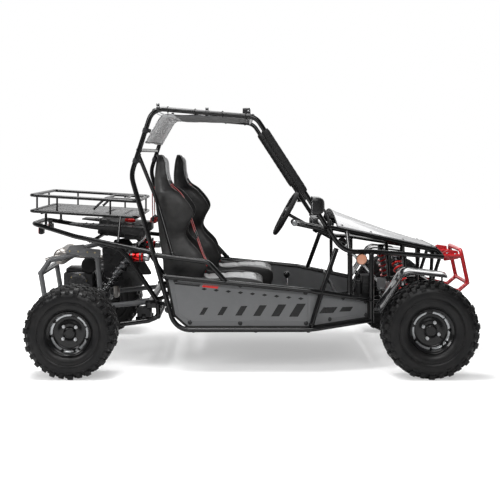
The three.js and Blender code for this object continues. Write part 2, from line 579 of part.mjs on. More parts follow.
// Cargo rack on four legs
const cargoZ = (x) => mix(cargo.rearZ, cargo.frontZ, (x - cargo.rear) / (cargo.front - cargo.rear));
const cargoPoint = (x, y, drop) => new THREE.Vector3(x, y, cargoZ(x) - drop);

function cargoRing(drop) {
  const corners = [[cargo.front, 1], [cargo.front, -1], [cargo.rear, -1], [cargo.rear, 1]]
    .map(([x, way]) => cargoPoint(x, way * cargo.halfWidth, drop));
  const start = corners[0].clone().lerp(corners[3], 1 / 2);
  const knots = roundedKnots([start, ...corners, start], corners.map(() => cargo.corner));
  return toSolid(new THREE.TubeGeometry(new KnotPath(knots), knots.length - 1, rackTube, rackSides, true));
}

const shares = (count) => Array.from({ length: count }, (unused, index) => (index + 1 / 2) / count);
const uprightPost = (x, y) => straightTube(cargoPoint(x, y, 0), cargoPoint(x, y, cargo.height), rackSlat, rackSides);
const cargoPosts = [
  ...shares(cargo.sidePosts).flatMap((share) => [-1, 1].map((way) => uprightPost(
    mix(cargo.rear, cargo.front, share), way * cargo.halfWidth))),
  ...shares(cargo.endPosts).flatMap((share) => [cargo.rear, cargo.front].map((x) => uprightPost(x,
    mix(-cargo.halfWidth, cargo.halfWidth, share)))),
];
const cargoSlats = shares(cargo.slats).map((share) => {
  const y = mix(-cargo.halfWidth, cargo.halfWidth, share);
  return straightTube(cargoPoint(cargo.rear, y, cargo.height), cargoPoint(cargo.front, y, cargo.height),
    rackSlat, rackSides);
});
const cargoBeams = [cargoLegs.rear, cargoLegs.front].map((x) => straightTube(
  cargoPoint(x, -cargo.halfWidth, cargo.height + rackSlat), cargoPoint(x, cargo.halfWidth, cargo.height + rackSlat),
  rackTube, rackSides));
const legFoot = (x) => x < rearHoop.middle.x
  ? new THREE.Vector3(x, mix(rearHoop.middleHalfWidth, rearHoop.tailHalfWidth,
    (x - rearHoop.middle.x) / (hoopTail - rearHoop.middle.x)), mix(rearHoop.middle.z, rearHoop.tailZ,
    (x - rearHoop.middle.x) / (hoopTail - rearHoop.middle.x)))
  : new THREE.Vector3(x, hoopY(x), hoopZ(x));
const cargoStruts = [cargoLegs.rear, cargoLegs.front].flatMap((x) => [-1, 1].map((way) => {
  const foot = legFoot(x);
  const top = cargoPoint(x, Math.min(foot.y, cargo.halfWidth), cargo.height);
  return [foot, top].map((end) => new THREE.Vector3(end.x, way * end.y, end.z));
})).map(([foot, top]) => straightTube(foot, top, cargo.strut));
addPart('cargo_rack', finishes.framePaint, carve(unite([cargoRing(0), cargoRing(cargo.height), ...cargoPosts,
  ...cargoSlats, ...cargoBeams, ...cargoStruts]), [hoopTube(clearance)]));

// Front bumper
const bumperChest = { x: bumperFace - bumperTube, z: bumper.chestZ };
const bumperTop = { x: bumperFace - bumper.topSetback, z: bumper.topZ };
const bumperChin = { x: bumperFace - bumper.chinSetback, z: bumper.chinZ };
const bumperFoot = { x: noseRail.front + braceTube + clearance, z: bumper.footZ };
const bumperSide = [bumperFoot, bumperChin, bumperChest, bumperTop].map((place) => point(place, bumper.halfWidth));
const bumperLoop = bentTube([...bumperSide, ...bumperSide.toReversed().map(flip)],
  Array.from({ length: 6 }, () => bumper.radius), bumperTube);
const bumperArms = [-1, 1].map((way) => straightTube(
  new THREE.Vector3(loop.nose.x, way * bumper.halfWidth, bumper.armZ),
  new THREE.Vector3(slopeX(bumperTop, bumperChest, bumper.armZ), way * bumper.halfWidth, bumper.armZ), bumperTube));
const noseCrossHull = straightTube(point(loop.nose, -loop.noseHalfWidth), point(loop.nose, loop.noseHalfWidth),
  mainTube + clearance);
addPart('front_bumper', finishes.redPaint, carve(unite([bumperLoop, ...bumperArms,
  across(bumperChest, bumper.halfWidth, bumperTube)]), [noseCrossHull]));

// Flat side panels inside the tubes, folded where the frame narrows
const panelFace = (x) => sidePlan(x) - mainTube - clearance * 2;
const panelFoot = floorZ + mainTube + clearance;

function panelSheet(outline, place) {
  const shape = new THREE.Shape(outline.map((corner) => new THREE.Vector2(corner.x, corner.z)));
  const geometry = new THREE.ExtrudeGeometry(shape, { depth: sheet, bevelEnabled: false });
  geometry.rotateX(Math.PI / 2);
  const spots = geometry.attributes.position;
  for (let index = 0; index < spots.count; index += 1) {
    spots.setY(index, spots.getY(index) + place(spots.getX(index)));
  }
  return toSolid(geometry);
}

const foldTop = { x: loop.floorBend.x, z: sidePanel.foldTopZ };
const foldFoot = { x: loop.floorBend.x, z: panelFoot };
const rearPanel = panelSheet([sidePanel.rearTop, foldTop, foldFoot, { x: sidePanel.rearFootX, z: panelFoot },
  sidePanel.rearKnee], () => panelFace(loop.floorBend.x));
const frontPanel = panelSheet([foldTop, sidePanel.frontTop, sidePanel.frontFoot, foldFoot].map((corner) => (
  corner.x === foldTop.x ? { x: corner.x - sheet, z: corner.z } : corner)), panelFace);
const panelLeft = rearPanel.add(frontPanel);
sides.forEach(([name, side]) => addPart(`side_panel_${name}`, finishes.panelGrey,
  side > 0 ? panelLeft : panelLeft.mirror([0, 1, 0])));

// Floor pan with holes for the seat feet and the lever mount
const panFloor = floorZ + mainTube + clearance;
const panHalf = panelFace(0) - sheet - clearance * 3;
const panShape = new THREE.Shape([[floorPan.rear, panHalf], [loop.floorBend.x, panHalf],
  [floorPan.front, floorPan.frontHalfWidth], [floorPan.front, -floorPan.frontHalfWidth],
  [loop.floorBend.x, -panHalf], [floorPan.rear, -panHalf]].map(([x, y]) => new THREE.Vector2(x, y)));
const panGeometry = new THREE.ExtrudeGeometry(panShape, { depth: sheet, bevelEnabled: false });
const footHoles = sides.flatMap(([, side]) => [-1, 1].flatMap((row) => [floorBars[0], floorBars[1]].map((x) => (
  cylinder(2, seatFoot.radius * 2, sheet * 4, [x, side * seat.y + row * seatRail.halfGauge, panFloor], tubeSides)))));
const leverHole = box([leverBase.length + clearance * 2, leverBase.width + clearance * 2, sheet * 4],
  [leverBase.x, 0, panFloor]);
addPart('floor_pan', finishes.blackPlastic, carve(toSolid(panGeometry.translate(0, 0, panFloor)),
  [...footHoles, leverHole]));

// Hood: one crowned sheet on the hood tubes
const hoodShare = (x) => (x - hood.rear) / (hood.front - hood.rear);
addPart('hood', finishes.whiteGloss, slab(hood.rows, hood.columns, (u, v) => {
  const x = mix(hood.rear, hood.front, u);
  const across01 = 2 * v - 1;
  const rise = hood.crown * (1 - hoodShare(x)) ** hood.fallPower * (1 - across01 ** 2);
  return new THREE.Vector3(x, across01 * hoodY(x), hoodZ(x) + mainTube + clearance + sheet + rise);
}, () => new THREE.Vector3(0, 0, -sheet)));

// Canopy: cloth laced between the roof bars, with a rear skirt down to the hoop
const canopyHalf = loop.halfWidth - mainTube - clearance;
const canopyFront = { x: roofBar.frontX - braceTube - clearance, z: roofZ(roofBar.frontX) };
const roofRun = canopyFront.x - canopy.fold.x;
const skirtRun = Math.hypot(canopy.fold.x - canopy.hem.x, canopy.fold.z - canopy.hem.z);

function canopyPlace(share) {
  const run = share * (roofRun + skirtRun);
  if (run < roofRun) {
    const part = run / roofRun;
    return { x: mix(canopyFront.x, canopy.fold.x, part), z: mix(canopyFront.z, canopy.fold.z, part), part };
  }
  const part = (run - roofRun) / skirtRun;
  return { x: mix(canopy.fold.x, canopy.hem.x, part), z: mix(canopy.fold.z, canopy.hem.z, part), part };
}

addPart('canopy', finishes.cloth, slab(canopy.rows, canopy.columns, (u, v) => {
  const place = canopyPlace(u);
  const sag = canopy.sag * Math.sin(Math.PI * place.part) * Math.sin(Math.PI * v);
  const fold = canopy.foldDepth * Math.sin(2 * Math.PI * canopy.folds * v) * Math.sin(Math.PI * v);
  return new THREE.Vector3(place.x, mix(-canopyHalf, canopyHalf, v), place.z - sag - fold * u);
}, (u) => (u * (roofRun + skirtRun) < roofRun ? new THREE.Vector3(0, 0, -canopy.thick)
  : new THREE.Vector3(canopy.thick, 0, 0))));

// Front fenders: bent sheets with a turned lip on both long edges
const fenderKnots = roundedKnots([fender.tail, fender.knee, fender.tip].map((place) => point(place, 0)),
  [fender.radius]);
const fenderEdge = [
  { y: fender.inner, rise: -fender.lip, inward: fender.thick, down: 0 },
  { y: fender.inner, rise: 0, inward: fender.thick, down: fender.thick },
  { y: (fender.inner + fender.outer) / 2, rise: fender.crown, inward: 0, down: fender.thick },
  { y: fender.outer, rise: 0, inward: -fender.thick, down: fender.thick },
  { y: fender.outer, rise: -fender.lip, inward: -fender.thick, down: 0 },
];
const fenderSheet = slab(fenderKnots.length - 1, fenderEdge.length - 1, (u, v) => {
  const knot = fenderKnots[Math.round(u * (fenderKnots.length - 1))];
  const edge = fenderEdge[Math.round(v * (fenderEdge.length - 1))];
  return new THREE.Vector3(knot.x, edge.y, knot.z + edge.rise);
}, (u, v) => {
  const edge = fenderEdge[Math.round(v * (fenderEdge.length - 1))];
  return new THREE.Vector3(0, edge.inward, -edge.down);
});

function addPair(name, material, leftSolid) {
  sides.forEach(([label, side]) => addPart(`${name}_${label}`, material,
    side > 0 ? leftSolid : leftSolid.mirror([0, 1, 0])));
}

addPair('fender', finishes.whiteGloss, fenderSheet);

// Front arms: two tubes from the bushes on the frame to the outer bush at the upright
function armSolid(arm, pivotY, extras = []) {
  const outer = new THREE.Vector3(frontAxleX, arm.outerY, arm.outerZ);
  const legs = [arm.rear, arm.front].map((x) => straightTube(new THREE.Vector3(x, pivotY, arm.railZ), outer,
    arm.tube));
  const bushes = [arm.rear, arm.front].map((x) => cylinder(0, arm.bush, bushHalf * 2, [x, pivotY, arm.railZ]));
  return unite([...legs, ...bushes, cylinder(0, outerBush, bushHalf * 2, outer.toArray()), ...extras]);
}

const armEars = [-1, 1].map((way) => box([earThick, earDepth * 2, frontShock.foot.z + frontShock.eye - lowerArm.earFoot],
  [frontShock.foot.x + way * earOffset(frontShock.eyeHalf), frontShock.foot.y,
    (frontShock.foot.z + frontShock.eye + lowerArm.earFoot) / 2]));
const armSaddle = box([earOffset(frontShock.eyeHalf) * 2 + earThick, earDepth * 2, earThick],
  [frontShock.foot.x, frontShock.foot.y, lowerArm.earFoot + earThick]);
addPair('lower_arm', finishes.framePaint, armSolid(lowerArm, lowerPivotY, [...armEars, armSaddle]));
addPair('upper_arm', finishes.framePaint, armSolid(upperArm, upperPivotY));

// Uprights between the arms, with lugs for the kingpin
const uprightInner = lowerArm.outerY + outerBush + clearance;
const uprightBolt = [lowerArm.outerZ, upperArm.outerZ];
const uprightMiddle = uprightInner + upright.thick / 2;
const uprightSolid = unite([
  box([upright.spine * 2, upright.thick, upperArm.outerZ - lowerArm.outerZ],
    [frontAxleX, uprightMiddle, (upperArm.outerZ + lowerArm.outerZ) / 2]),
  ...uprightBolt.map((z) => box([upright.earWidth * 2, upright.thick, earDepth * 2],
    [frontAxleX, uprightMiddle, z])),
  ...uprightBolt.flatMap((z) => [-1, 1].map((way) => box(
    [earThick, uprightMiddle - lowerArm.outerY + outerBush, earDepth * 2],
    [frontAxleX + way * (upright.earWidth - earThick / 2), (uprightMiddle + lowerArm.outerY - outerBush) / 2, z]))),
  ...[kingpin.foot + upright.lug / 2, kingpin.head - upright.lug / 2].map((z) => box(
    [upright.lugHalf * 2, upright.lugReach - uprightMiddle, upright.lug],
    [frontAxleX, (upright.lugReach + uprightMiddle) / 2, z])),
  cylinder(2, kingpin.radius, kingpin.head - kingpin.foot, [frontAxleX, kingpin.y, (kingpin.head + kingpin.foot) / 2]),
]);
addPair('upright', finishes.castMetal, uprightSolid);

// Knuckles: a sleeve on the kingpin with the wheel spindle, the steering arm and the fender's stay
const place3 = (spot) => new THREE.Vector3(spot.x, spot.y, spot.z);
const sleeveFoot = kingpin.foot + upright.lug + clearance;
const sleeveHead = kingpin.head - upright.lug - clearance;
const spindleEnd = frontWheelY + spindle.overhang;
const knuckleSolid = carve(unite([
  cylinder(2, sleeve.radius, sleeveHead - sleeveFoot, [frontAxleX, kingpin.y, (sleeveHead + sleeveFoot) / 2]),
  cylinder(1, spindle.radius, spindleEnd - spindle.inner,
    [frontAxleX, (spindleEnd + spindle.inner) / 2, frontWheel.radius]),
  bentTube([new THREE.Vector3(frontAxleX - sleeve.armRoot, kingpin.y, steerArm.root), place3(steerArm.knee),
    place3(steerArm.tip)], [fenderStay.bend], steerArm.radius),
  bentTube([new THREE.Vector3(frontAxleX + sleeve.armRoot, kingpin.y, steerArm.root), place3(fenderStay.knee),
    place3(fenderStay.foot), place3(fenderStay.head), place3(fenderStay.tip)],
  [fenderStay.bend, fenderStay.bend, fenderStay.bend], fenderStay.radius),
]), [cylinder(2, boreRadius(kingpin.radius, 8), kingpin.head - kingpin.foot,
  [frontAxleX, kingpin.y, (kingpin.head + kingpin.foot) / 2])]);
addPair('knuckle', finishes.castMetal, knuckleSolid);

// Wheels: a tyre in a C section on a rim with a disc and a hub cap. Along Y, outer side positive.
const tyreShares = { shoulder: 0.9, crown: 14 };
const bead = { outer: 27, inner: 37, bulge: 150, tread: 21, lining: 24 };

function tyreSolid(wheel) {
  const corner = wheel.radius / Math.cos(Math.PI / wheel.sides);
  const half = wheel.halfWidth;
  const beadRadius = boreRadius(rimRadius, wheel.sides);
  const outer = [[beadRadius, half - bead.outer], [bead.bulge, half],
    [wheel.radius * tyreShares.shoulder, half - rimWall], [corner, half - bead.tread]];
  const inner = [[wheel.radius - tyreShares.crown, half - bead.lining], [beadRadius, half - bead.inner]];
  const flipped = (list) => list.map(([radius, along]) => [radius, -along]).reverse();
  const profile = [...outer, ...flipped(outer), ...inner.map(([radius, along]) => [radius, -along]),
    ...inner.toReversed()];
  return toSolid(turned([...profile, profile[0]], wheel.sides, Math.PI / wheel.sides));
}

const dish = { well: 84, wellHalf: 36, step: 46, disc: 34, discThick: 8, boreEnd: 52, cap: 60, capRadius: 28,
  flange: 13, seatEdge: 19, sides: 10 };

function rimSolid(wheel, shaftRadius) {
  const edge = wheel.halfWidth - dish.flange;
  const seatEdge = wheel.halfWidth - dish.seatEdge;
  const lip = rimRadius + rimLip;
  const bore = boreRadius(shaftRadius, dish.sides);
  const discAt = wheel.halfWidth - frontWheel.halfWidth + dish.disc;
  const shift = discAt - dish.disc;
  const profile = [
    [lip, edge], [rimRadius, seatEdge], [rimRadius, dish.step], [dish.well, dish.wellHalf],
    [dish.well, -dish.wellHalf], [rimRadius, -dish.step], [rimRadius, -seatEdge], [lip, -edge],
    [lip - rimWall, -edge], [dish.well - rimWall, -dish.wellHalf], [dish.well - rimWall, discAt], [bore, discAt],
    [bore, dish.boreEnd + shift], [0, dish.boreEnd + shift], [0, dish.cap + shift],
    [dish.capRadius, dish.cap + shift], [dish.capRadius, discAt + dish.discThick],
    [dish.well - rimWall, discAt + dish.discThick],
    [lip - rimWall, edge],
  ];
  return toSolid(turned([...profile, profile[0]], dish.sides, Math.PI / dish.sides));
}

function addWheel(name, wheel, shaftRadius, x, y) {
  const tyre = tyreSolid(wheel);
  const rim = rimSolid(wheel, shaftRadius);
  sides.forEach(([label, side]) => {
    [['tyre', finishes.tyreRubber, tyre], ['rim', finishes.blackPlastic, rim]].forEach(([piece, material, solid]) => {
      const mesh = addPart(`${name}_${piece}_${label}`, material, side > 0 ? solid : solid.mirror([0, 1, 0]));
      mesh.position.set(x, side * y, wheel.radius);
    });
  });
}

addWheel('front', frontWheel, spindle.radius, frontAxleX, frontWheelY);
addWheel('rear', rearWheel, axle.radius, rearAxleX, rearWheelY);

// Steering: wheel with its column, jointed shaft, rack bar and tie rods
const steering = new THREE.Group();
steering.position.copy(wheelCentre);
steering.rotation.y = THREE.MathUtils.degToRad(wheelRim.slopeDegrees) - Math.PI / 2;
kart.add(steering);
const spokeSolids = [0, 1, 2].map((index) => {
  const turn = Math.PI * (1 + index * 2 / 3);
  const middle = [Math.cos(turn) * wheelRim.radius / 2, Math.sin(turn) * wheelRim.radius / 2, 0];
  return box([wheelRim.radius, spoke.width, spoke.thick], middle, [0, 0, turn]);
});
addPart('steering_wheel', finishes.blackPlastic, unite([
  toSolid(new THREE.TorusGeometry(wheelRim.radius, wheelRim.grip, 5, 14)),
  ...spokeSolids,
  cylinder(2, spoke.hub, spoke.hubLength, [0, 0, 0]),
  cylinder(2, column.radius, column.length, [0, 0, -column.length / 2]),
]), steering);

const columnEnd = alongColumn(column.length);
const shaftFoot = new THREE.Vector3(rack.x, rack.gearY,
  rack.z + rack.towerHeight + column.shaftRadius + clearance);
const shaftWay = shaftFoot.clone().sub(columnEnd).normalize();
const shaftHead = columnEnd.clone().addScaledVector(columnWay,
  column.shaftRadius * Math.sin(shaftWay.angleTo(columnWay)) + clearance * 2);
addPart('steering_shaft', finishes.steel, straightTube(shaftHead, shaftFoot, column.shaftRadius));
addPart('steering_rack', finishes.steel, cylinder(1, rack.radius, rack.halfLength * 2, [rack.x, 0, rack.z]));

const tieInner = new THREE.Vector3(rack.x, rack.halfLength + tieRod.end + tieRod.swingGap + clearance, rack.z);
const tieOuter = new THREE.Vector3(steerArm.tip.x, steerArm.tip.y,
  steerArm.tip.z + steerArm.radius + tieRod.gap + tieRod.end);
const tieBall = (spot) => cylinder(2, tieRod.end, tieRod.height, spot.toArray());
addPair('tie_rod', finishes.steel, unite([tieBall(tieInner), tieBall(tieOuter),
  straightTube(tieInner, tieOuter, tieRod.radius)]));

// Dampers: body, rod and coil spring between two eyes
const least = { gap: Infinity };

function coilKnots(from, way, shock, start, end) {
  const spin = new THREE.Vector3(0, 0, 1).cross(way).normalize();
  const lean = way.clone().cross(spin);
  const spot = (angle, run) => from.clone().addScaledVector(way, run)
    .addScaledVector(spin, shock.coil * Math.cos(angle)).addScaledVector(lean, shock.coil * Math.sin(angle));
  const steps = shock.curls * 8;
  const straight = shock.wire * 2;
  const knots = [spot(0, start)];
  for (let step = 0; step <= steps; step += 1) {
    knots.push(spot(step * Math.PI / 4, mix(start + straight, end - straight, step / steps)));
  }
  knots.push(spot(0, end));
  return knots;
}

// Smallest space between one turn of wire and the next
function leastGap(knots, wire) {
  let gap = Infinity;
  knots.forEach((knot, index) => knots.slice(index + 5).forEach((other) => {
    gap = Math.min(gap, knot.distanceTo(other) - wire * 2);
  }));
  return gap;
}

function addDamper(name, shock, top, foot, eyeAxis) {
  const length = top.distanceTo(foot);
  const way = foot.clone().sub(top).normalize();
  const run = (distance) => top.clone().addScaledVector(way, distance);
  const flangeEnd = shockFlange.near + shockFlange.thick;
  const rodFlange = length - shockFlange.far;
  const knots = coilKnots(top, way, shock, flangeEnd + clearance, rodFlange - clearance);
  least.gap = Math.min(least.gap, leastGap(knots, shock.wire));
  const body = carve(unite([
    cylinder(eyeAxis, shock.eye, (shock.eyeHalf - eyeSlack) * 2, top.toArray()),
    straightTube(top, run(shockFlange.near), shock.rod + clearance, 6),
    straightTube(run(shockFlange.near), run(flangeEnd), shockFlange.radius, 10),
    straightTube(run(shockFlange.near), run(length * shock.bodyShare), shock.body, 8),
  ]), [straightTube(run(shock.room), run(length * shock.bodyShare + overrun), shock.rod + clearance, 6)]);
  const rod = unite([
    cylinder(eyeAxis, shock.eye, (shock.eyeHalf - eyeSlack) * 2, foot.toArray()),
    straightTube(run(shock.rodTop), foot, shock.rod, 6),
    straightTube(run(rodFlange), run(rodFlange + shockFlange.thick), shockFlange.radius, 10),
  ]);
  addPair(`${name}_shock_body`, finishes.steel, body);
  addPair(`${name}_shock_rod`, finishes.steel, rod);
  addPair(`${name}_shock_spring`, finishes.redPaint, toSolid(sweep(knots, shock.wire, 5)));
}

const rearShockTop = new THREE.Vector3(fuelBars.front, rearShock.topY, rearShockTopZ);
addDamper('front', frontShock, place3(frontShock.top), place3(frontShock.foot), 0);
addDamper('rear', rearShock, rearShockTop, place3(rearShock.foot), 1);
console.log(`least spring gap ${least.gap.toFixed(2)} mm`);

// Swing arm: pivot tube, side tubes, axle bearings, damper ears and the cage round the engine
const swingSide = [
  straightTube(point(pivot, swing.y), point(swing.middle, swing.y), swing.tube),
  straightTube(point(swing.middle, swing.y), point(swing.rear, swing.y), swing.tube),
  cylinder(1, bearing.radius, bearing.halfLength * 2, [rearAxleX, swing.y, rearWheel.radius]),
  ...[-1, 1].map((way) => box([earDepth * 2, earThick, rearShock.foot.z + rearShock.eye - swing.earFoot],
    [rearShock.foot.x, rearShock.foot.y + way * earOffset(rearShock.eyeHalf),
      (rearShock.foot.z + rearShock.eye + swing.earFoot) / 2])),
  box([earDepth * 2, earOffset(rearShock.eyeHalf) * 2, earThick * 2],
    [rearShock.foot.x, rearShock.foot.y, swing.earFoot + earThick]),
  bentTube([cradle.foot, cradle.low, cradle.tail, cradle.back, cradle.crown, cradle.top, cradle.post]
    .map((place) => point(place, cradle.halfWidth)), Array.from({ length: 5 }, () => cradle.radius / 2), cradle.tube),
  straightTube(point(cradle.post, cradle.halfWidth), point(cradle.foot, cradle.halfWidth), cradle.tube),
  straightTube(point(swing.rear, cradle.halfWidth), point(swing.rear, swing.y), cradle.tube),
  box([cradle.hangerDepth, cradle.halfWidth - muffler.halfLength - clearance, cradle.hangerThick],
    [muffler.x, (cradle.halfWidth + muffler.halfLength + clearance) / 2, muffler.z]),
];
const bedZ = slopeZ(cradle.low, cradle.foot, cradle.bed);
const swingCross = [
  straightTube(point(pivot, -pivot.halfLength), point(pivot, pivot.halfLength), pivot.radius, 10),
  across(cradle.foot, swing.y, cradle.cross),
  across({ x: cradle.bed, z: bedZ }, cradle.halfWidth, cradle.cross),
  across(cradle.back, cradle.halfWidth, cradle.cross),
];
const axleHole = cylinder(1, boreRadius(axle.radius, 12), overallWidth, [rearAxleX, 0, rearWheel.radius], 12);
addPart('swing_arm', finishes.greyPaint, carve(unite([...swingSide, ...mirrored(swingSide), ...swingCross]),
  [axleHole]));

// Rear axle with its hubs, sprocket and brake disc
const axleEnd = rearWheelY + spindle.overhang + rearWheel.halfWidth - frontWheel.halfWidth;
const flangeFace = rearWheelY + rearWheel.halfWidth - frontWheel.halfWidth + dish.disc - clearance;
const flange = (middle, radius, thick) => [[axle.radius, middle - thick / 2], [radius, middle - thick / 2],
  [radius, middle + thick / 2], [axle.radius, middle + thick / 2]];
const axleProfile = [[0, -axleEnd], [axle.radius, -axleEnd],
  ...flange(-flangeFace + axle.hubLength / 2, axle.hub, axle.hubLength),
  ...flange(axle.discY, axle.disc, axle.plate), ...flange(axle.sprocketY, axle.sprocket, axle.plate),
  ...flange(flangeFace - axle.hubLength / 2, axle.hub, axle.hubLength),
  [axle.radius, axleEnd], [0, axleEnd]];
addPart('rear_axle', finishes.steel, toSolid(turned(axleProfile, 8))).position.set(rearAxleX, 0,
  rearWheel.radius);

// Engine with its drive case, finned barrel and feet on the cage
const fins = shares(barrel.fins).map((share) => cylinder(0, barrel.fin, barrel.finThick,
  [mix(engine.x + engine.length / 2, barrel.front, share), engine.y, barrel.z], barrel.finSides));
const bedFoot = (x, y, barZ) => box([engine.footWidth, engine.footWidth, engine.z - barZ - cradle.cross - clearance],
  [x, y, (engine.z + barZ + cradle.cross + clearance) / 2]);
const caseEnd = (x) => cylinder(1, driveCase.radius, driveCase.thick, [x, driveCase.y, driveCase.z], 10);
addPart('engine', finishes.castMetal, unite([
  box([engine.length, engine.width, engine.height], [engine.x, engine.y, engine.z]),
  cylinder(0, barrel.radius, barrel.front - engine.x, [(barrel.front + engine.x) / 2, engine.y, barrel.z]),
  ...fins,
  caseEnd(driveCase.rear + driveCase.radius), caseEnd(driveCase.front - driveCase.radius),
  box([driveCase.front - driveCase.rear - driveCase.radius * 2, driveCase.thick, driveCase.radius * 2],
    [(driveCase.front + driveCase.rear) / 2, driveCase.y, driveCase.z]),
  bedFoot(cradle.bed, engine.y, bedZ), bedFoot(cradle.foot.x, driveCase.y, cradle.foot.z),
  bedFoot(cradle.foot.x, engine.y, cradle.foot.z),
]));

// Muffler: one drum with a waist step at each end
const half = muffler.halfLength;
addPart('muffler', finishes.steel, toSolid(turned([[0, -half], [muffler.neck, -half],
  [muffler.radius, -half + muffler.cap], [muffler.radius, half - muffler.cap], [muffler.neck, half], [0, half]], 8)))
  .position.set(muffler.x, 0, muffler.z);

// Fuel tank lying on the two cross bars
const tankSlope = Math.atan2(rearHoop.middle.z - rearHoop.front.z, rearHoop.front.x - rearHoop.middle.x);
const tankRise = braceTube + clearance + fuelTank.height / 2;
const tankShape = new THREE.Shape();
const [tankX, tankY] = [fuelTank.length / 2, fuelTank.width / 2];
const tankCorners = [[1, 1], [-1, 1], [-1, -1], [1, -1]].flatMap(([wayX, wayY]) => {
  const first = [wayX * tankX, wayY * (tankY - fuelTank.corner)];
  const second = [wayX * (tankX - fuelTank.corner), wayY * tankY];
  return wayX * wayY > 0 ? [first, second] : [second, first];
});
tankCorners.forEach(([x, y], index) => tankShape[index ? 'lineTo' : 'moveTo'](x, y));
tankShape.closePath();
const tank = addPart('fuel_tank', finishes.blackPlastic, toSolid(new THREE.ExtrudeGeometry(tankShape,
  { depth: fuelTank.height, bevelEnabled: false }).translate(0, 0, -fuelTank.height / 2)));
tank.position.set(fuelTank.x + tankRise * Math.sin(tankSlope), 0, hoopZ(fuelTank.x) + tankRise * Math.cos(tankSlope));
tank.rotation.y = tankSlope;

// Bucket seats. Each station has its back point, its face point, the rise of the side bolsters and the half width.
const railTop = seatRail.z + seatRail.radius + clearance;
const stations = [
  { back: [48, 0], face: [64, 42], rise: 4, half: 150 }, { back: [20, 0], face: [48, 90], rise: 10, half: 168 },
  { back: [-90, 0], face: [-85, 100], rise: 22, half: 178 }, { back: [-250, 0], face: [-240, 90], rise: 30, half: 180 },
  { back: [-400, 2], face: [-300, 102], rise: 95, half: 182 },
  { back: [-460, 120], face: [-330, 170], rise: 85, half: 182 }, { back: [-470, 210], face: [-350, 240], rise: 70, half: 176 },
  { back: [-487, 300], face: [-380, 310], rise: 58, half: 150 }, { back: [-492, 362], face: [-400, 365], rise: 70, half: 170 },
  { back: [-500, 436], face: [-412, 438], rise: 88, half: 190 },
  { back: [-508, 523], face: [-430, 530], rise: 50, half: 185 }, { back: [-512, 577], face: [-442, 580], rise: 18, half: 150 },
  { back: [-516, 657], face: [-460, 660], rise: 8, half: 110 }, { back: [-508, 730], face: [-466, 728], rise: 4, half: 96 },
  { back: [-498, 765], face: [-478, 762], rise: 0, half: 70 },
];
const seatSection = [[0.75, 0, 0], [0.92, 0.14, 0], [1, 0.5, 0.2], [0.97, 1, 0.65], [0.86, 1, 1], [0.64, 1, 0.2]];
const seatRound = [[0, 0, 0], ...seatSection, [0, 1, 0],
  ...seatSection.toReversed().map(([width, depth, rise]) => [-width, depth, rise])];
const seatSolid = toSolid(loft(stations.map((station) => {
  const back = new THREE.Vector3(station.back[0], 0, station.back[1]);
  const out = new THREE.Vector3(station.face[0], 0, station.face[1]).sub(back);
  const way = out.clone().normalize();
  return seatRound.map(([width, depth, rise]) => back.clone().addScaledVector(out, depth)
    .addScaledVector(way, station.rise * rise).setY(width * station.half));
})));
sides.forEach(([label, side]) => {
  const mesh = addPart(`seat_${label}`, finishes.leather, seatSolid);
  mesh.position.set(side > 0 ? seat.driverShift : 0, side * seat.y, railTop);
});

// Instrument panel, open towards the dash bar
const dashFront = dashBar.x - mainTube - clearance;
addPart('dash_panel', finishes.blackPlastic, carve(
  box([dash.depth, dash.width, dash.height], [dashFront - dash.depth / 2, 0, dash.z]),
  [box([dash.depth, dash.width - dash.wall * 2, dash.height - dash.wall * 2],
    [dashFront - dash.depth / 2 + dash.wall, 0, dash.z])]));

// Pedals: bush, arm and pad, leaning back at rest
function addPedal(name, y) {
  const group = new THREE.Group();
  group.position.set(pedal.x, y, pedal.z);
  group.rotation.y = -THREE.MathUtils.degToRad(pedal.lean);
  kart.add(group);
  addPart(name, finishes.steel, unite([
    cylinder(1, pedal.bushRadius, pedal.bushHalf * 2, [0, 0, 0]),
    box([pedal.arm * 2, pedal.arm * 2, pedal.height], [0, 0, pedal.height / 2]),
    box([pedal.padThick, pedal.padWidth, pedal.padHeight], [-pedal.arm, 0, pedal.height]),
  ]), group);
}

addPedal('throttle_pedal', pedal.throttleY);
addPedal('brake_pedal', pedal.brakeY);

// Gear lever in the slot of its mount
const leverZ = leverBase.z + gearLever.bush + clearance;
const lever = addPart('gear_lever', finishes.blackPlastic, unite([
  cylinder(1, gearLever.bush, gearLever.bushHalf * 2, [0, 0, 0]),
  cylinder(2, gearLever.radius, gearLever.height, [0, 0, gearLever.height / 2]),
  toSolid(new THREE.SphereGeometry(gearLever.knob, 8, 5)).translate([0, 0, gearLever.height]),
]));
lever.position.set(leverBase.x, 0, leverZ);

// Door mirrors on stubs of the pillars
const mirrorFoot = mirrorStub.tip.z + mirrorStub.radius + clearance;
const mirrorBase = [mirrorStub.tip.x, mirrorStub.tipY, mirrorFoot + mirror.baseHeight / 2];
addPair('mirror', finishes.blackPlastic, unite([
  cylinder(2, mirror.baseRadius, mirror.baseHeight, mirrorBase),
  bentTube([new THREE.Vector3(...mirrorBase), place3(mirror.neck), place3(mirror.shell)], [mirror.stalk * 3],
    mirror.stalk),
  box([mirror.depth, mirror.width, mirror.height], [mirror.shell.x, mirror.shell.y, mirror.shell.z]),
]));

// Roof light on the front roof bar
const lampFoot = roofZ(roofBar.frontX) + braceTube + clearance;
addPart('roof_light', finishes.lampLens, unite([
  box([roofLamp.depth, roofLamp.width, roofLamp.height], [roofLamp.x, 0, roofLamp.z]),
  box([roofLamp.footDepth, roofLamp.footWidth, roofLamp.z - lampFoot],
    [roofBar.frontX - roofLamp.footDepth / 2 + clearance, 0, (roofLamp.z + lampFoot) / 2]),
]));

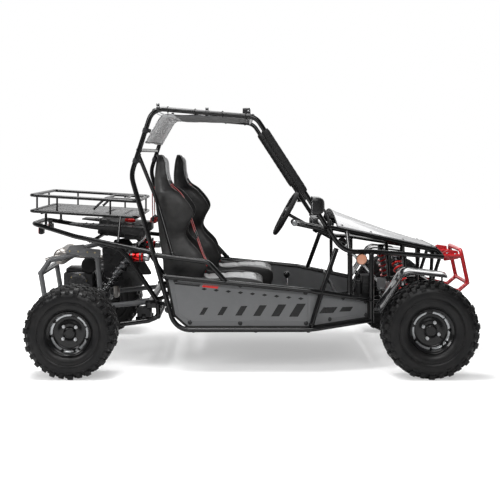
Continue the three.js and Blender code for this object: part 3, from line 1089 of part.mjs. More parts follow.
export const pivots = {
  lowerArm: [0, lowerPivotY, lowerArm.railZ], upperArm: [0, upperPivotY, upperArm.railZ],
  lowerOuter: [frontAxleX, lowerArm.outerY, lowerArm.outerZ],
  upperOuter: [frontAxleX, upperArm.outerY, upperArm.outerZ],
  kingpin: [frontAxleX, kingpin.y, frontWheel.radius], frontWheel: [frontAxleX, frontWheelY, frontWheel.radius],
  rack: [rack.x, 0, rack.z], tieInner: tieInner.toArray(), tieOuter: tieOuter.toArray(),
  wheelCentre: wheelCentre.toArray(), columnWay: columnWay.toArray(),
  shaftHead: shaftHead.toArray(), shaftFoot: shaftFoot.toArray(),
  frontShockTop: place3(frontShock.top).toArray(), frontShockFoot: place3(frontShock.foot).toArray(),
  rearShockTop: rearShockTop.toArray(), rearShockFoot: place3(rearShock.foot).toArray(),
  swing: [pivot.x, 0, pivot.z], rearAxle: [rearAxleX, 0, rearWheel.radius],
  throttle: [pedal.x, pedal.throttleY, pedal.z], brake: [pedal.x, pedal.brakeY, pedal.z],
  lever: [leverBase.x, 0, leverZ], driverSeat: [seat.driverShift, seat.y, railTop], mirror: mirrorBase,
};
export default kart;
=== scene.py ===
"""Off-road two-seat kart: its looks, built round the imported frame.

Lengths are in millimetres. x points ahead, y to the kart's left and z up.
"""
import math

import bmesh
import bpy
import numpy as np
from mathutils import Matrix, Vector, noise


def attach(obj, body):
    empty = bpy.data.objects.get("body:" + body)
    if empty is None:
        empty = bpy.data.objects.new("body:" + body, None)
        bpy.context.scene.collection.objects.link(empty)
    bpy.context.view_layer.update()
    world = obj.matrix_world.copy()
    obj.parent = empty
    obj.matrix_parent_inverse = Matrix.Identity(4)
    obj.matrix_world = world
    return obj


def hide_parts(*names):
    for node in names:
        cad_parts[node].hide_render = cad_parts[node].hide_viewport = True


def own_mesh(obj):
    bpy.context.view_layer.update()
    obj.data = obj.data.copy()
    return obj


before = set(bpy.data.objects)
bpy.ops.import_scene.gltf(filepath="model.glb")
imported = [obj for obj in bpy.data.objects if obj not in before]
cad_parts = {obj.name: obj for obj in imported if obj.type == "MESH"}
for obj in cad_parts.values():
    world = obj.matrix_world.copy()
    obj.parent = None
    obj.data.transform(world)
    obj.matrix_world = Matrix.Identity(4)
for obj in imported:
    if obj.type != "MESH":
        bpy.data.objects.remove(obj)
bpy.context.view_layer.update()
MM = 0.001
SIDES = (("left", 1), ("right", -1))
ORIGIN, AHEAD, LEFT, UP = (0, 0, 0), (1, 0, 0), (0, 1, 0), (0, 0, 1)


# ---------------------------------------------------------------- mesh helpers
def V(x, y, z):
    return Vector((x, y, z))


def mix(a, b, t):
    return a + (b - a) * t


def rounded(points, radii, step=9.0):
    """Knots of a run of straight lines with rounded corners."""
    pts = [Vector(p) for p in points]
    knots = [pts[0].copy()]
    for i in range(1, len(pts) - 1):
        corner = pts[i]
        back, ahead = (pts[i - 1] - corner), (pts[i + 1] - corner)
        turn = math.pi - back.angle(ahead)
        if turn < 1e-4:
            knots.append(corner.copy())
            continue
        radius = radii[i - 1]
        reach = radius * math.tan(turn / 2)
        start = corner + back.normalized() * reach
        end = corner + ahead.normalized() * reach
        bis = (back.normalized() + ahead.normalized()).normalized()
        centre = corner + bis * (radius / math.cos(turn / 2))
        steps = max(2, math.ceil(math.degrees(turn) / step))
        a, b = start - centre, end - centre
        for k in range(steps + 1):
            s = k / steps
            knots.append(centre + a * (math.sin((1 - s) * turn) / math.sin(turn)) + b
                         * (math.sin(s * turn) / math.sin(turn)))
    knots.append(pts[-1].copy())
    return knots


def skin_faces(rows, per, closed=False):
    """Faces between rows of per points each, every row a ring. closed joins the last row to the first."""
    out = []
    for i in range(rows if closed else rows - 1):
        a, b = i * per, (i + 1) % rows * per
        out += [(a + k, a + (k + 1) % per, b + (k + 1) % per, b + k) for k in range(per)]
    return out


def end_caps(rows, per):
    return [tuple(reversed(range(per))), tuple(range((rows - 1) * per, rows * per))]


def sweep(knots, radius, sides=16, closed=False, scale=None):
    """A round tube along knots; scale holds a share of the radius for each knot."""
    n = len(knots)
    tang = []
    for i in range(n):
        if closed:
            t = (knots[(i + 1) % n] - knots[i]).normalized() + (knots[i] - knots[i - 1]).normalized()
        else:
            t = Vector(ORIGIN)
            if i > 0:
                t += (knots[i] - knots[i - 1]).normalized()
            if i < n - 1:
                t += (knots[i + 1] - knots[i]).normalized()
        tang.append(t.normalized())
    ref = Vector(UP if abs(tang[0].z) < 0.9 else AHEAD)
    u = (ref - tang[0] * ref.dot(tang[0])).normalized()
    frames = [u]
    for i in range(1, n):
        u = tang[i - 1].rotation_difference(tang[i]) @ u
        u = (u - tang[i] * u.dot(tang[i])).normalized()
        frames.append(u)
    verts = []
    for i in range(n):
        u, w = frames[i], tang[i].cross(frames[i])
        r = radius * (scale[i] if scale else 1.0)
        for a in turns(sides, math.pi / sides):
            verts.append(knots[i] + u * (r * math.cos(a)) + w * (r * math.sin(a)))
    return verts, skin_faces(n, sides, closed) + ([] if closed else end_caps(n, sides))


def bent(points, radii, radius, sides=16):
    return sweep(rounded(points, radii), radius, sides)


def straight(a, b, radius, sides=16):
    return sweep([Vector(a), Vector(b)], radius, sides)


def basis(way):
    way = Vector(way).normalized()
    ref = Vector(UP if abs(way.z) < 0.9 else AHEAD)
    u = (ref - way * ref.dot(way)).normalized()
    return u, way.cross(u), way


def lathe(profile, origin, way, sides=32, start=0.0, closed=False):
    """Turns (radius, along) pairs about the line through origin along way."""
    u, w, n = basis(way)
    origin = Vector(origin)
    verts, faces, rings = [], [], []
    for r, t in profile:
        if r < 1e-6:
            rings.append([len(verts)])
            verts.append(origin + n * t)
        else:
            ring = []
            for s in range(sides):
                a = start + 2 * math.pi * s / sides
                ring.append(len(verts))
                verts.append(origin + n * t + u * (r * math.cos(a)) + w * (r * math.sin(a)))
            rings.append(ring)
    pairs = list(zip(rings, rings[1:]))
    if closed:
        pairs.append((rings[-1], rings[0]))
    for a, b in pairs:
        for s in range(sides):
            s2 = (s + 1) % sides
            if len(a) == 1 and len(b) == 1:
                continue
            if len(a) == 1:
                faces.append((a[0], b[s2], b[s]))
            elif len(b) == 1:
                faces.append((a[s], a[s2], b[0]))
            else:
                faces.append((a[s], a[s2], b[s2], b[s]))
    return verts, faces


def bushing(origin, way, bore, radius, half, sides=28):
    """A plain tube round the line along way; origin is its middle."""
    return lathe([(bore, -half), (radius, -half), (radius, half), (bore, half)], origin, way, sides,
                 closed=True)


def disc(origin, way, radius, thick, sides=28):
    """A turned plate with eased rims; origin is the middle of its thickness."""
    e = min(thick * 0.3, 1.2)
    h = thick / 2
    return lathe([(0, -h), (radius - e, -h), (radius, -h + e), (radius, h - e), (radius - e, h), (0, h)],
                 origin, way, sides)


def rod(a, b, radius, sides=20, ease=0.8):
    a, b = Vector(a), Vector(b)
    n = (b - a).length
    e = min(ease, radius * 0.4, n * 0.3)
    return lathe([(0, 0), (radius - e, 0), (radius, e), (radius, n - e), (radius - e, n), (0, n)], a, b - a,
                 sides)


def rbox(size, centre, bevel=2.0, turn=None, seg=2):
    """A box with rounded edges. turn is a rotation matrix."""
    bm = bmesh.new()
    bmesh.ops.create_cube(bm, size=1.0)
    for v in bm.verts:
        v.co = Vector((v.co.x * size[0], v.co.y * size[1], v.co.z * size[2]))
    b = min(bevel, min(size) * 0.49)
    if b > 0:
        bmesh.ops.bevel(bm, geom=bm.edges[:] + bm.verts[:], offset=b, segments=seg, profile=0.5,
                        affect="EDGES", clamp_overlap=True)
    out = from_bm(bm)
    return moved(out, turn, centre)


def two_boxes(size, centre, gap, bevel, axis=0):
    """Two like boxes, each gap from centre along an axis."""
    spots = [[c + way * gap * (i == axis) for i, c in enumerate(centre)] for way in (-1, 1)]
    return [rbox(size, spot, bevel) for spot in spots]


def from_bm(bm):
    bm.verts.ensure_lookup_table()
    verts = [v.co.copy() for v in bm.verts]
    faces = [tuple(v.index for v in f.verts) for f in bm.faces]
    bm.free()
    return verts, faces


def moved(part, turn=None, centre=ORIGIN):
    c = Vector(centre)
    m = turn if turn is not None else Matrix.Identity(3)
    return [m @ Vector(v) + c for v in part[0]], part[1]


def flipped(part):
    return [Vector((v[0], -v[1], v[2])) for v in part[0]], [tuple(reversed(f)) for f in part[1]]


def mirrored(parts):
    return [flipped(p) for p in parts]


def both(parts):
    return parts + mirrored(parts)


def joined(parts):
    verts, faces = [], []
    for vs, fs in parts:
        n = len(verts)
        verts += vs
        faces += [tuple(i + n for i in f) for f in fs]
    return verts, faces


def turns(count, start=0.0):
    """Angles that share a full turn."""
    return [start + 2 * math.pi * k / count for k in range(count)]


def wheel_way(radius, angle, y=0.0):
    """A place at an angle round the Y axis, from +Z toward +X."""
    return V(radius * math.sin(angle), y, radius * math.cos(angle))


def rot(axis, degrees):
    return Matrix.Rotation(math.radians(degrees), 3, axis)


def ball(centre, radius, u=20, v=12, squash=(1, 1, 1)):
    verts, faces = lathe([(radius * math.sin(math.pi * i / v), -radius * math.cos(math.pi * i / v))
                          for i in range(v + 1)], ORIGIN, UP, u)
    return [Vector((p[0] * squash[0], p[1] * squash[1], p[2] * squash[2])) + Vector(centre)
            for p in verts], faces


def sheet_faces(rows, cols):
    return [(r * (cols + 1) + c, r * (cols + 1) + c + 1, (r + 1) * (cols + 1) + c + 1, (r + 1) * (cols + 1)
             + c) for r in range(rows) for c in range(cols)]


def slab_faces(rows, cols):
    """Faces of two like layers of a grid and of the walls between them."""
    level, faces = (rows + 1) * (cols + 1), sheet_faces(rows, cols)
    faces += [tuple(reversed([i + level for i in f])) for f in faces]
    for r in range(rows):
        faces += [(q, q + cols + 1, q + cols + 1 + level, q + level)
                  for q in (r * (cols + 1), r * (cols + 1) + cols)]
    for c in range(cols):
        faces += [(q, q + 1, q + 1 + level, q + level) for q in (c, rows * (cols + 1) + c)]
    return faces


def grid_sheet(rows, cols, place):
    """place(u, v) for u along rows and v along columns."""
    verts = [Vector(place(r / rows, c / cols)) for r in range(rows + 1) for c in range(cols + 1)]
    return verts, sheet_faces(rows, cols)


def ring(centre, way, radius, wire, sides=40, wire_sides=10):
    u, w = basis(way)[:2]
    knots = [Vector(centre) + u * (radius * math.cos(a)) + w * (radius * math.sin(a)) for a in turns(sides)]
    return sweep(knots, wire, wire_sides, closed=True)


def prism(outline, low, high, axis=1, bevel=0.0, seg=2):
    """An outline in the two other axes, extruded along axis from low to high."""
    bm = bmesh.new()
    order = {0: (1, 2), 1: (0, 2), 2: (0, 1)}[axis]

    def at(p, h):
        c = [0.0, 0.0, 0.0]
        c[axis], c[order[0]], c[order[1]] = h, p[0], p[1]
        return Vector(c)

    low_vs = [bm.verts.new(at(p, low)) for p in outline]
    high_vs = [bm.verts.new(at(p, high)) for p in outline]
    n = len(outline)
    bm.faces.new(low_vs)
    bm.faces.new(list(reversed(high_vs)))
    for i in range(n):
        bm.faces.new((low_vs[i], high_vs[i], high_vs[(i + 1) % n], low_vs[(i + 1) % n]))
    bmesh.ops.recalc_face_normals(bm, faces=bm.faces[:])
    if bevel > 0:
        bmesh.ops.bevel(bm, geom=[e for e in bm.edges if e.calc_face_angle(0) > 0.35], offset=bevel,
                        segments=seg, profile=0.5, affect="EDGES", clamp_overlap=True)
    return from_bm(bm)


def cut_plate(outlines, thick, axis):
    """A flat plate from its outline and its holes, as vertex places, thickened along an axis."""
    bm = bmesh.new()
    edges = []
    for line in outlines:
        vs = [bm.verts.new(p) for p in line]
        edges += [bm.edges.new((vs[i], vs[(i + 1) % len(vs)])) for i in range(len(vs))]
    bmesh.ops.triangle_fill(bm, use_beauty=True, edges=edges)
    return thickened(bm, thick, axis)


def thickened(bm, thick, axis):
    ext = bmesh.ops.extrude_face_region(bm, geom=bm.faces[:])
    for v in [g for g in ext["geom"] if isinstance(g, bmesh.types.BMVert)]:
        v.co[axis] += thick
    return from_bm(bm)


def round_outline(corners, radius, steps=5):
    """A closed polygon with rounded corners."""
    out, n = [], len(corners)
    for i in range(n):
        p = Vector(corners[i]).to_2d()
        a, b = (Vector(corners[i - 1]).to_2d() - p), (Vector(corners[(i + 1) % n]).to_2d() - p)
        r = radius[i] if isinstance(radius, (list, tuple)) else radius
        turn = math.pi - a.angle(b)
        reach = min(r * math.tan(turn / 2), a.length * 0.45, b.length * 0.45)
        s, e = p + a.normalized() * reach, p + b.normalized() * reach
        for k in range(steps + 1):
            t = k / steps
            out.append(tuple((s * (1 - t) ** 2) + (p * (2 * t * (1 - t))) + (e * t * t)))
    return out


def round_rect(x0, y0, x1, y1, radius, steps):
    return round_outline([(x0, y0), (x1, y0), (x1, y1), (x0, y1)], radius, steps)


def face_outward(mesh):
    bm = bmesh.new()
    bm.from_mesh(mesh)
    bmesh.ops.recalc_face_normals(bm, faces=bm.faces[:])
    bm.to_mesh(mesh)
    bm.free()


def make(name, parts, body, look, replaces=(), slot=None, sharp=35.0, solid=None, sub=0):
    """One shown piece from mesh parts. look is a key of LOOKS, which gives its material."""
    material, usual_slot = LOOKS[look]
    verts, faces = joined(parts)
    mesh = bpy.data.meshes.new(name)
    mesh.from_pydata([(v[0] * MM, v[1] * MM, v[2] * MM) for v in verts], [], faces)
    face_outward(mesh)
    mesh.polygons.foreach_set("use_smooth", [True] * len(mesh.polygons))
    mesh.set_sharp_from_angle(angle=math.radians(sharp))
    obj = bpy.data.objects.new(name, mesh)
    bpy.context.scene.collection.objects.link(obj)
    mesh.materials.append(material)
    if solid:
        mod = obj.modifiers.new("thick", "SOLIDIFY")
        mod.thickness, mod.offset = solid[0] * MM, solid[1]
    if sub:
        mod = obj.modifiers.new("smooth", "SUBSURF")
        mod.levels = mod.render_levels = sub
    if replaces:
        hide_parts(*replaces)
    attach(obj, body)
    return obj


def make_pair(name, left_parts, body, look, replaces=None, **options):
    """A left piece and its mirror image. {} in a name stands for the side."""
    for label, side in SIDES:
        parts = left_parts if side > 0 else mirrored(left_parts)
        nodes = [replaces.format(label)] if replaces else ()
        make(name.format(label), parts, body.format(label), look, nodes, **options)


# ---------------------------------------------------------------- materials
class Nodes:
    def __init__(self, name):
        self.mat = bpy.data.materials.new(name)
        self.mat.use_nodes = True
        self.tree = self.mat.node_tree
        self.bsdf = self.tree.nodes["Principled BSDF"]
        self.coord = self.tree.nodes.new("ShaderNodeTexCoord").outputs["Object"]

    def new(self, kind, **values):
        node = self.tree.nodes.new(kind)
        for key, value in values.items():
            if key in node.inputs:
                node.inputs[key].default_value = value
            else:
                setattr(node, key, value)
        return node

    def link(self, a, b):
        self.tree.links.new(a, b)

    def noise(self, scale, detail=4.0, rough=0.5, coord=None):
        node = self.new("ShaderNodeTexNoise", Scale=scale, Detail=detail, Roughness=rough)
        self.link(coord or self.coord, node.inputs["Vector"])
        return node.outputs["Fac"]

    def stretch(self, x, y, z, turn=(0, 0, 0)):
        node = self.new("ShaderNodeMapping")
        node.inputs["Scale"].default_value = (x, y, z)
        node.inputs["Rotation"].default_value = turn
        self.link(self.coord, node.inputs["Vector"])
        return node.outputs["Vector"]

    def ramp(self, fac, stops):
        node = self.new("ShaderNodeValToRGB")
        el = node.color_ramp.elements
        while len(el) < len(stops):
            el.new(0.5)
        for e, (pos, col) in zip(el, stops):
            e.position = pos
            e.color = (*col, 1) if hasattr(col, "__len__") else (col, col, col, 1)
        self.link(fac, node.inputs["Fac"])
        return node.outputs["Color"]

    def patches(self, scale, detail, rough, low, high, top=1.0):
        """A mask of soft patches: 0 below low, top above high."""
        return self.ramp(self.noise(scale, detail, rough), [(low, 0.0), (high, top)])

    def spread(self, fac, value, less, more, high=0.8):
        """A roughness round value, lower by less where fac is dark and higher by more where it is bright."""
        return self.ramp(fac, [(0.3, max(0.0, value - less)), (high, min(1.0, value + more))])

    def blend(self, fac, a, b):
        node = self.new("ShaderNodeMix", data_type="RGBA")
        for value, key in ((fac, 0), (a, 6), (b, 7)):
            if isinstance(value, bpy.types.NodeSocket):
                self.link(value, node.inputs[key])
            else:
                node.inputs[key].default_value = (*value, 1) if hasattr(value, "__len__") else value
        return node.outputs[2]

    def math(self, op, a, b=0.0, clamp=False):
        node = self.new("ShaderNodeMath", operation=op, use_clamp=clamp)
        for value, index in ((a, 0), (b, 1)):
            if isinstance(value, bpy.types.NodeSocket):
                self.link(value, node.inputs[index])
            else:
                node.inputs[index].default_value = value
        return node.outputs[0]

    def bump(self, height, strength, distance, previous=None):
        node = self.new("ShaderNodeBump", Strength=strength, Distance=distance)
        self.link(height, node.inputs["Height"])
        if previous is not None:
            self.link(previous, node.inputs["Normal"])
        return node.outputs["Normal"]

    def out(self, color=None, rough=None, normal=None, **fixed):
        b = self.bsdf
        for value, key in ((color, "Base Color"), (rough, "Roughness"), (normal, "Normal")):
            if value is None:
                continue
            if isinstance(value, bpy.types.NodeSocket):
                self.link(value, b.inputs[key])
            elif key == "Base Color":
                b.inputs[key].default_value = (*value, 1)
            else:
                b.inputs[key].default_value = value
        for key, value in fixed.items():
            b.inputs[key.replace("_", " ")].default_value = value
        return self.mat


def tint(c, k):
    return tuple(max(0.0, min(1.0, x * k)) for x in c)


def mix_color(a, b, t):
    return tuple(mix(x, y, t) for x, y in zip(a, b))


def painted(name, color, rough=0.3, coat=0.5, peel=0.03, metallic=0.0, dust=0.10, wear=None):
    """Sprayed or powder coat: orange peel, faint dust, rubbed edges."""
    n = Nodes(name)
    big, fine = n.noise(5.0, 5.0, 0.6), n.noise(420.0, 2.0)
    base = n.blend(n.ramp(big, [(0.35, 0.0), (0.8, 1.0)]), tint(color, 0.92), tint(color, 1.1))
    dusty = n.patches(14.0, 6.0, 0.65, 0.5, 0.9)
    base = n.blend(n.math("MULTIPLY", dusty, dust), base, (0.42, 0.40, 0.37))
    if wear:
        edge = n.new("ShaderNodeNewGeometry").outputs["Pointiness"]
        mask = n.math("MULTIPLY", n.ramp(edge, [(0.52, 0.0), (0.6, 1.0)]),
                      n.patches(60.0, 4.0, 0.5, 0.45, 0.6))
        base = n.blend(mask, base, wear)
    r = n.spread(n.noise(9.0, 5.0, 0.6), rough, 0.07, 0.12)
    return n.out(base, r, n.bump(fine, peel, 0.0004), Metallic=metallic, Coat_Weight=coat,
                 Coat_Roughness=0.08, Specular_IOR_Level=0.3)


def plastic(name, color, rough=0.5, grain=900.0, depth=0.25, dust=0.08, mottle=0.1):
    n = Nodes(name)
    cell = n.new("ShaderNodeTexVoronoi", Scale=grain)
    n.link(n.coord, cell.inputs["Vector"])
    base = n.blend(n.patches(7.0, 5.0, 0.6, 0.3, 0.75), tint(color, 1 - mottle), tint(color, 1 + mottle))
    base = n.blend(n.math("MULTIPLY", n.patches(22.0, 6.0, 0.7, 0.5, 0.85), dust), base, (0.45, 0.43, 0.40))
    r = n.spread(n.noise(18.0, 4.0), rough, 0.08, 0.1)
    return n.out(base, r, n.bump(cell.outputs["Distance"], depth, 0.0005), Specular_IOR_Level=0.3)


def metal(name, color, rough=0.3, brush=(1, 1, 1), grain=300.0, depth=0.1, dark=0.75, metallic=1.0,
          stain=None):
    n = Nodes(name)
    lines = n.noise(grain, 3.0, 0.6, n.stretch(*brush))
    base = n.blend(n.patches(16.0, 6.0, 0.65, 0.3, 0.75), tint(color, dark), color)
    if stain:
        base = n.blend(n.patches(9.0, 6.0, 0.7, 0.52, 0.75, 0.8), base, stain)
    r = n.spread(lines, rough, 0.1, 0.15, 0.75)
    return n.out(base, r, n.bump(lines, depth, 0.0003), Metallic=metallic)


def rubber(name, color, rough=0.75, dust=0.25, fine=250.0):
    n = Nodes(name)
    base = n.blend(n.patches(11.0, 6.0, 0.7, 0.42, 0.8), color, mix_color(color, (0.24, 0.22, 0.2), dust))
    r = n.spread(n.noise(30.0, 4.0), rough, 0.1, 0.12)
    return n.out(base, r, n.bump(n.noise(fine, 5.0, 0.6), 0.25, 0.0008), Specular_IOR_Level=0.22)


def weave(name, color, scale=900.0, depth=0.5, rough=0.9, sheen=0.3, shade=0.8, turn=0.0, fold=0.0,
          fore=None):
    """Two crossed sets of threads. fore is the colour of the part forward of an x place, in metres."""
    n = Nodes(name)
    waves = []
    for direction in ("X", "Y"):
        node = n.new("ShaderNodeTexWave", Scale=scale / 20.0, bands_direction=direction)
        node.inputs["Distortion"].default_value = 0.4
        node.inputs["Detail Scale"].default_value = 2.0
        n.link(n.stretch(1, 1, 1, (0.0, 0.35, turn)), node.inputs["Vector"])
        waves.append(node.outputs["Fac"])
    threads = n.math("MAXIMUM", waves[0], waves[1])
    soft = n.patches(6.0, 6.0, 0.65, 0.3, 0.75)
    base = n.blend(soft, tint(color, 0.93), tint(color, 1.05))
    # fore paints a flat colour over the part forward of an x place; the canopy uses it as painted shade on
    # its roof run
    if fore:
        split = n.new("ShaderNodeSeparateXYZ")
        n.link(n.coord, split.inputs["Vector"])
        base = n.blend(n.math("GREATER_THAN", split.outputs["X"], fore[1]), base, fore[0])
    base = n.blend(n.math("MULTIPLY", threads, 1 - shade), base, tint(color, 0.6))
    normal = n.bump(threads, depth, 0.0006)
    if fold:
        normal = n.bump(n.noise(11.0, 4.0, 0.5, n.stretch(1, 0.35, 1)), fold, 0.01, normal)
    return n.out(base, rough, normal, Sheen_Weight=sheen, Sheen_Roughness=0.4, Specular_IOR_Level=0.15)


def leather(name, color, rough=0.42, scale=420.0, depth=0.35, wear=0.12):
    n = Nodes(name)
    cell = n.new("ShaderNodeTexVoronoi", Scale=scale, feature="SMOOTH_F1")
    n.link(n.coord, cell.inputs["Vector"])
    crease = n.noise(38.0, 6.0, 0.65)
    base = n.blend(n.patches(9.0, 5.0, 0.6, 0.3, 0.8), tint(color, 0.85),
                   mix_color(color, (0.3, 0.29, 0.28), wear))
    r = n.spread(n.noise(26.0, 5.0, 0.6), rough, 0.09, 0.13)
    normal = n.bump(cell.outputs["Distance"], depth, 0.0007, n.bump(crease, 0.22, 0.003))
    return n.out(base, r, normal, Specular_IOR_Level=0.25)


def glass(name, color, rough=0.08, ribs=60.0):
    """A tinted lens: coloured plastic with a clear coat and fine ribs."""
    n = Nodes(name)
    wave = n.new("ShaderNodeTexWave", Scale=ribs, bands_direction="Z")
    n.link(n.coord, wave.inputs["Vector"])
    base = n.blend(n.patches(30.0, 3.0, 0.5, 0.3, 0.8), tint(color, 0.85), color)
    return n.out(base, rough, n.bump(wave.outputs["Fac"], 0.3, 0.0006), Coat_Weight=1.0, Coat_Roughness=0.03,
                 IOR=1.49)


# ---------------------------------------------------------------- main measures and the frame
CLEAR = 0.3
# Half the distance between the ears that hold a damper's eye, and between those round an arm's bush
CLEVIS, EAR_GAP = 14.3, 22.3
DASH_Z = 732
MAIN, BRACE, RACK_TUBE, SLAT, BUMPER = 12.7, 10.0, 8.5, 5.0, 11.0
HALF, PILLAR_HALF, FOOT_HALF, NOSE_HALF = 560, 520, 482, 250
NOSE, RAIL_BEND, PILLAR = (1039, 561), (618, 613), (470, 615)
ROOF_FRONT, ROOF_REAR, ELBOW = (20, 1310), (-508, 1354), (-619, 1012)
HEEL, FLOOR_BEND, TOE = (-392, 220), (300, 221), (620, 258)
DOOR = ((-455, 494), (300, 420), (622, 362))
POST = ((302, 235), (359, 414), (437, 634))
HIP = ((-498, 603), (-225, 567), (-133, 466))
BRACE_BACK = ((-584, 1125), (-492, 881), (-405, 600))
FRONT_AXLE, FRONT_HUB = 890, 241.3
REAR_AXLE, REAR_HUB = -910, 228.6
KINGPIN_Y, BALL_Y, SWING_Y, CAGE_Y = 592, 545, 300, 232
RACK_X, RACK_Z = 770, 300
LOW_ARM = dict(rear=790, front=990, rail_y=165, rail_z=262, outer_y=BALL_Y, outer_z=175, tube=11, bush=13)
UP_ARM = dict(rear=865, front=958, rail_y=190, rail_z=392, outer_y=BALL_Y, outer_z=310, tube=9, bush=12)
DASH = (390, 722)
WHEEL_CENTRE = V(213, 260, 769)
SLOPE = math.radians(29)
COLUMN_WAY = V(math.cos(SLOPE), 0, -math.sin(SLOPE))


def P(place, y):
    return Vector((place[0], y, place[1]))


def slope_z(a, b, x):
    return mix(a[1], b[1], (x - a[0]) / (b[0] - a[0]))


def slope_x(a, b, z):
    return mix(a[0], b[0], (z - a[1]) / (b[1] - a[1]))


def side_plan(x):
    return HALF if x < FLOOR_BEND[0] else mix(HALF, FOOT_HALF, (x - FLOOR_BEND[0]) / (TOE[0] - FLOOR_BEND[0]))


def on_plan(place):
    return P(place, side_plan(place[0]))


def roof_z(x):
    return slope_z(ROOF_FRONT, ROOF_REAR, x)


FLOOR_Z = slope_z(HEEL, FLOOR_BEND, HEEL[0])
BARS = (-300, 20, 290)


def bead_at(place, way, radius, tube):
    """A weld bead round the foot of a tube: a lumpy ring pressed onto its neighbour."""
    u, w = basis(way)[:2]
    knots, scale = [], []
    for a in turns(26):
        knots.append(Vector(place) + u * (radius + 0.6) * math.cos(a) + w * (radius + 0.6) * math.sin(a))
        scale.append(1.0 + 0.22 * math.sin(a * 9) + 0.08 * math.sin(a * 23 + 1))
    return sweep(knots, tube, 8, closed=True, scale=scale)


def weld(foot, toward, radius, host=MAIN):
    """Bead where a tube that starts at foot, inside a host tube, comes out of it."""
    foot, toward = Vector(foot), Vector(toward)
    way = (toward - foot).normalized()
    return bead_at(foot + way * (host + 0.8), way, radius, 2.4)


loop_points = [P(NOSE, NOSE_HALF), P(RAIL_BEND, FOOT_HALF), P(PILLAR, PILLAR_HALF), P(ROOF_FRONT, HALF),
               P(ROOF_REAR, HALF), P(ELBOW, HALF), P(HEEL, HALF), P(FLOOR_BEND, HALF), P(TOE, FOOT_HALF)]
loop_radii = [150, 130, 75, 75, 130, 100, 300]

EYELETS = (-430, -290, -150, -30)


def side_tubes():
    strut = V(504, side_plan(504), 613)
    runs = [
        ([on_plan(p) for p in DOOR], [20], MAIN),
        ([on_plan(POST[0]), on_plan(POST[1]), P(POST[2], PILLAR_HALF)], [300], MAIN),
        ([strut, V(504, strut.y, slope_z(DOOR[1], DOOR[2], 504))], [], BRACE),
        ([on_plan(p) for p in HIP], [60], MAIN),
        ([P(BRACE_BACK[0], HALF), P(BRACE_BACK[1], 492), P(BRACE_BACK[2], HALF)], [200], BRACE)]
    post_top = V(622, FOOT_HALF, 613)
    tubes = [bent(loop_points, loop_radii, MAIN, 24), straight(post_top, V(622, FOOT_HALF, 258 - MAIN), MAIN,
                                                               24),
             rod(V(374, 528, 742), V(396, 558, 742), 8)]
    beads = [weld(post_top, V(622, FOOT_HALF, 300), MAIN)]
    for points, radii, radius in runs:
        tubes.append(bent(points, radii, radius, 24 if radius == MAIN else 20))
        beads += [weld(points[0], points[1], radius), weld(points[-1], points[-2], radius)]
    # Eyes for the canopy cords
    tubes += [ring(V(x, HALF - MAIN - 7, roof_z(x)), AHEAD, 6, 1.8, 20, 8) for x in EYELETS]
    return tubes, beads


tubes_left, beads_left = side_tubes()


def across(place, half, radius, sides=20):
    return straight(P(place, -half), P(place, half), radius, sides)


def span(place, half, radius):
    """A flat-ended cross bar welded to the left side and bolted to the right one."""
    bar = straight(P(place, MAIN + 0.5 - half), P(place, half), radius, 20)
    return [bar], [weld(P(place, half), P(place, 0), radius),
                   disc(P(place, MAIN + 3.5 - half), LEFT, radius + 5, 5)]


cross, cross_beads = [], []
for place, half, radius in [((2, roof_z(2)), HALF, BRACE), ((-498, roof_z(-498) - MAIN), HALF, BRACE),
                            ((-579, 1140), HALF, BRACE), ((-430, 320), HALF, MAIN),
                            (DASH, 527, MAIN)] + [((x, FLOOR_Z), HALF, MAIN) for x in BARS]:
    a, b = span(place, half, radius)
    cross += a
    cross_beads += b
foot_half = side_plan(598 + MAIN) - MAIN - 2
cross.append(across((598, 254), foot_half, MAIN))
cross.append(straight(V(598, 0, 254), V(598, side_plan(598), 254), MAIN))
SEAT_Y, RAIL_GAUGE, RAIL_Z = 260, 120, 341
for _, side in SIDES:
    for row in (-1, 1):
        y = side * SEAT_Y + row * RAIL_GAUGE
        cross.append(rbox((370, 18, 18), (-115, y, RAIL_Z), 2.2))
        for x in BARS[:2]:
            cross.append(rod((x, y, FLOOR_Z), (x, y, RAIL_Z), 8))
            cross_beads.append(bead_at((x, y, RAIL_Z - 10), UP, 8, 2.2))
grab_ends = (-330, -450)
cross.append(bent([P(DASH, grab_ends[0]), V(225, grab_ends[0], 758), V(225, grab_ends[1], 758),
                   P(DASH, grab_ends[1])], [32, 32], 12, 20))
cross.append(straight((BARS[0], 0, FLOOR_Z), (BARS[2], 0, FLOOR_Z), MAIN))
cross += two_boxes((60, 7.4, 60), (205, 0, 258), 13.2, 1.5, 1)
cross.append(rbox((60, 34, 28), (205, 0, 242), 1.5))
PEDAL_X, PEDAL_Z, PEDAL_YS = 520, 262, (190, 330)
for y in PEDAL_YS:
    cross += two_boxes((88, 4, 26), (554, y, PEDAL_Z), 18.3, 1.2, 1)
    cross.append(rod((PEDAL_X, y - 23.5, PEDAL_Z), (PEDAL_X, y + 23.5, PEDAL_Z), 5))


def along_column(run):
    return WHEEL_CENTRE + COLUMN_WAY * run


collar_run = (DASH[0] - 213) / COLUMN_WAY.x
u_ring = lathe([(10.8, -14), (17, -14), (18, -12.5), (18, 12.5), (17, 14), (10.8, 14)],
               along_column(collar_run), COLUMN_WAY, 32, closed=True)
cross.append(u_ring)
cross.append(rbox((16, 30, 16), (DASH[0], 260, DASH[1] - 18), 2))

# Front frame
HOOD_R, HOOD_F = (396, 738), (1012, 596)


def hood_y(x):
    return mix(430, 236, (x - HOOD_R[0]) / (HOOD_F[0] - HOOD_R[0]))


def on_hood(x):
    return V(x, hood_y(x), slope_z(HOOD_R, HOOD_F, x))


def low_rail(x):
    return V(x, LOW_ARM["rail_y"], LOW_ARM["rail_z"])


def high_rail(x):
    return V(x, UP_ARM["rail_y"], UP_ARM["rail_z"])


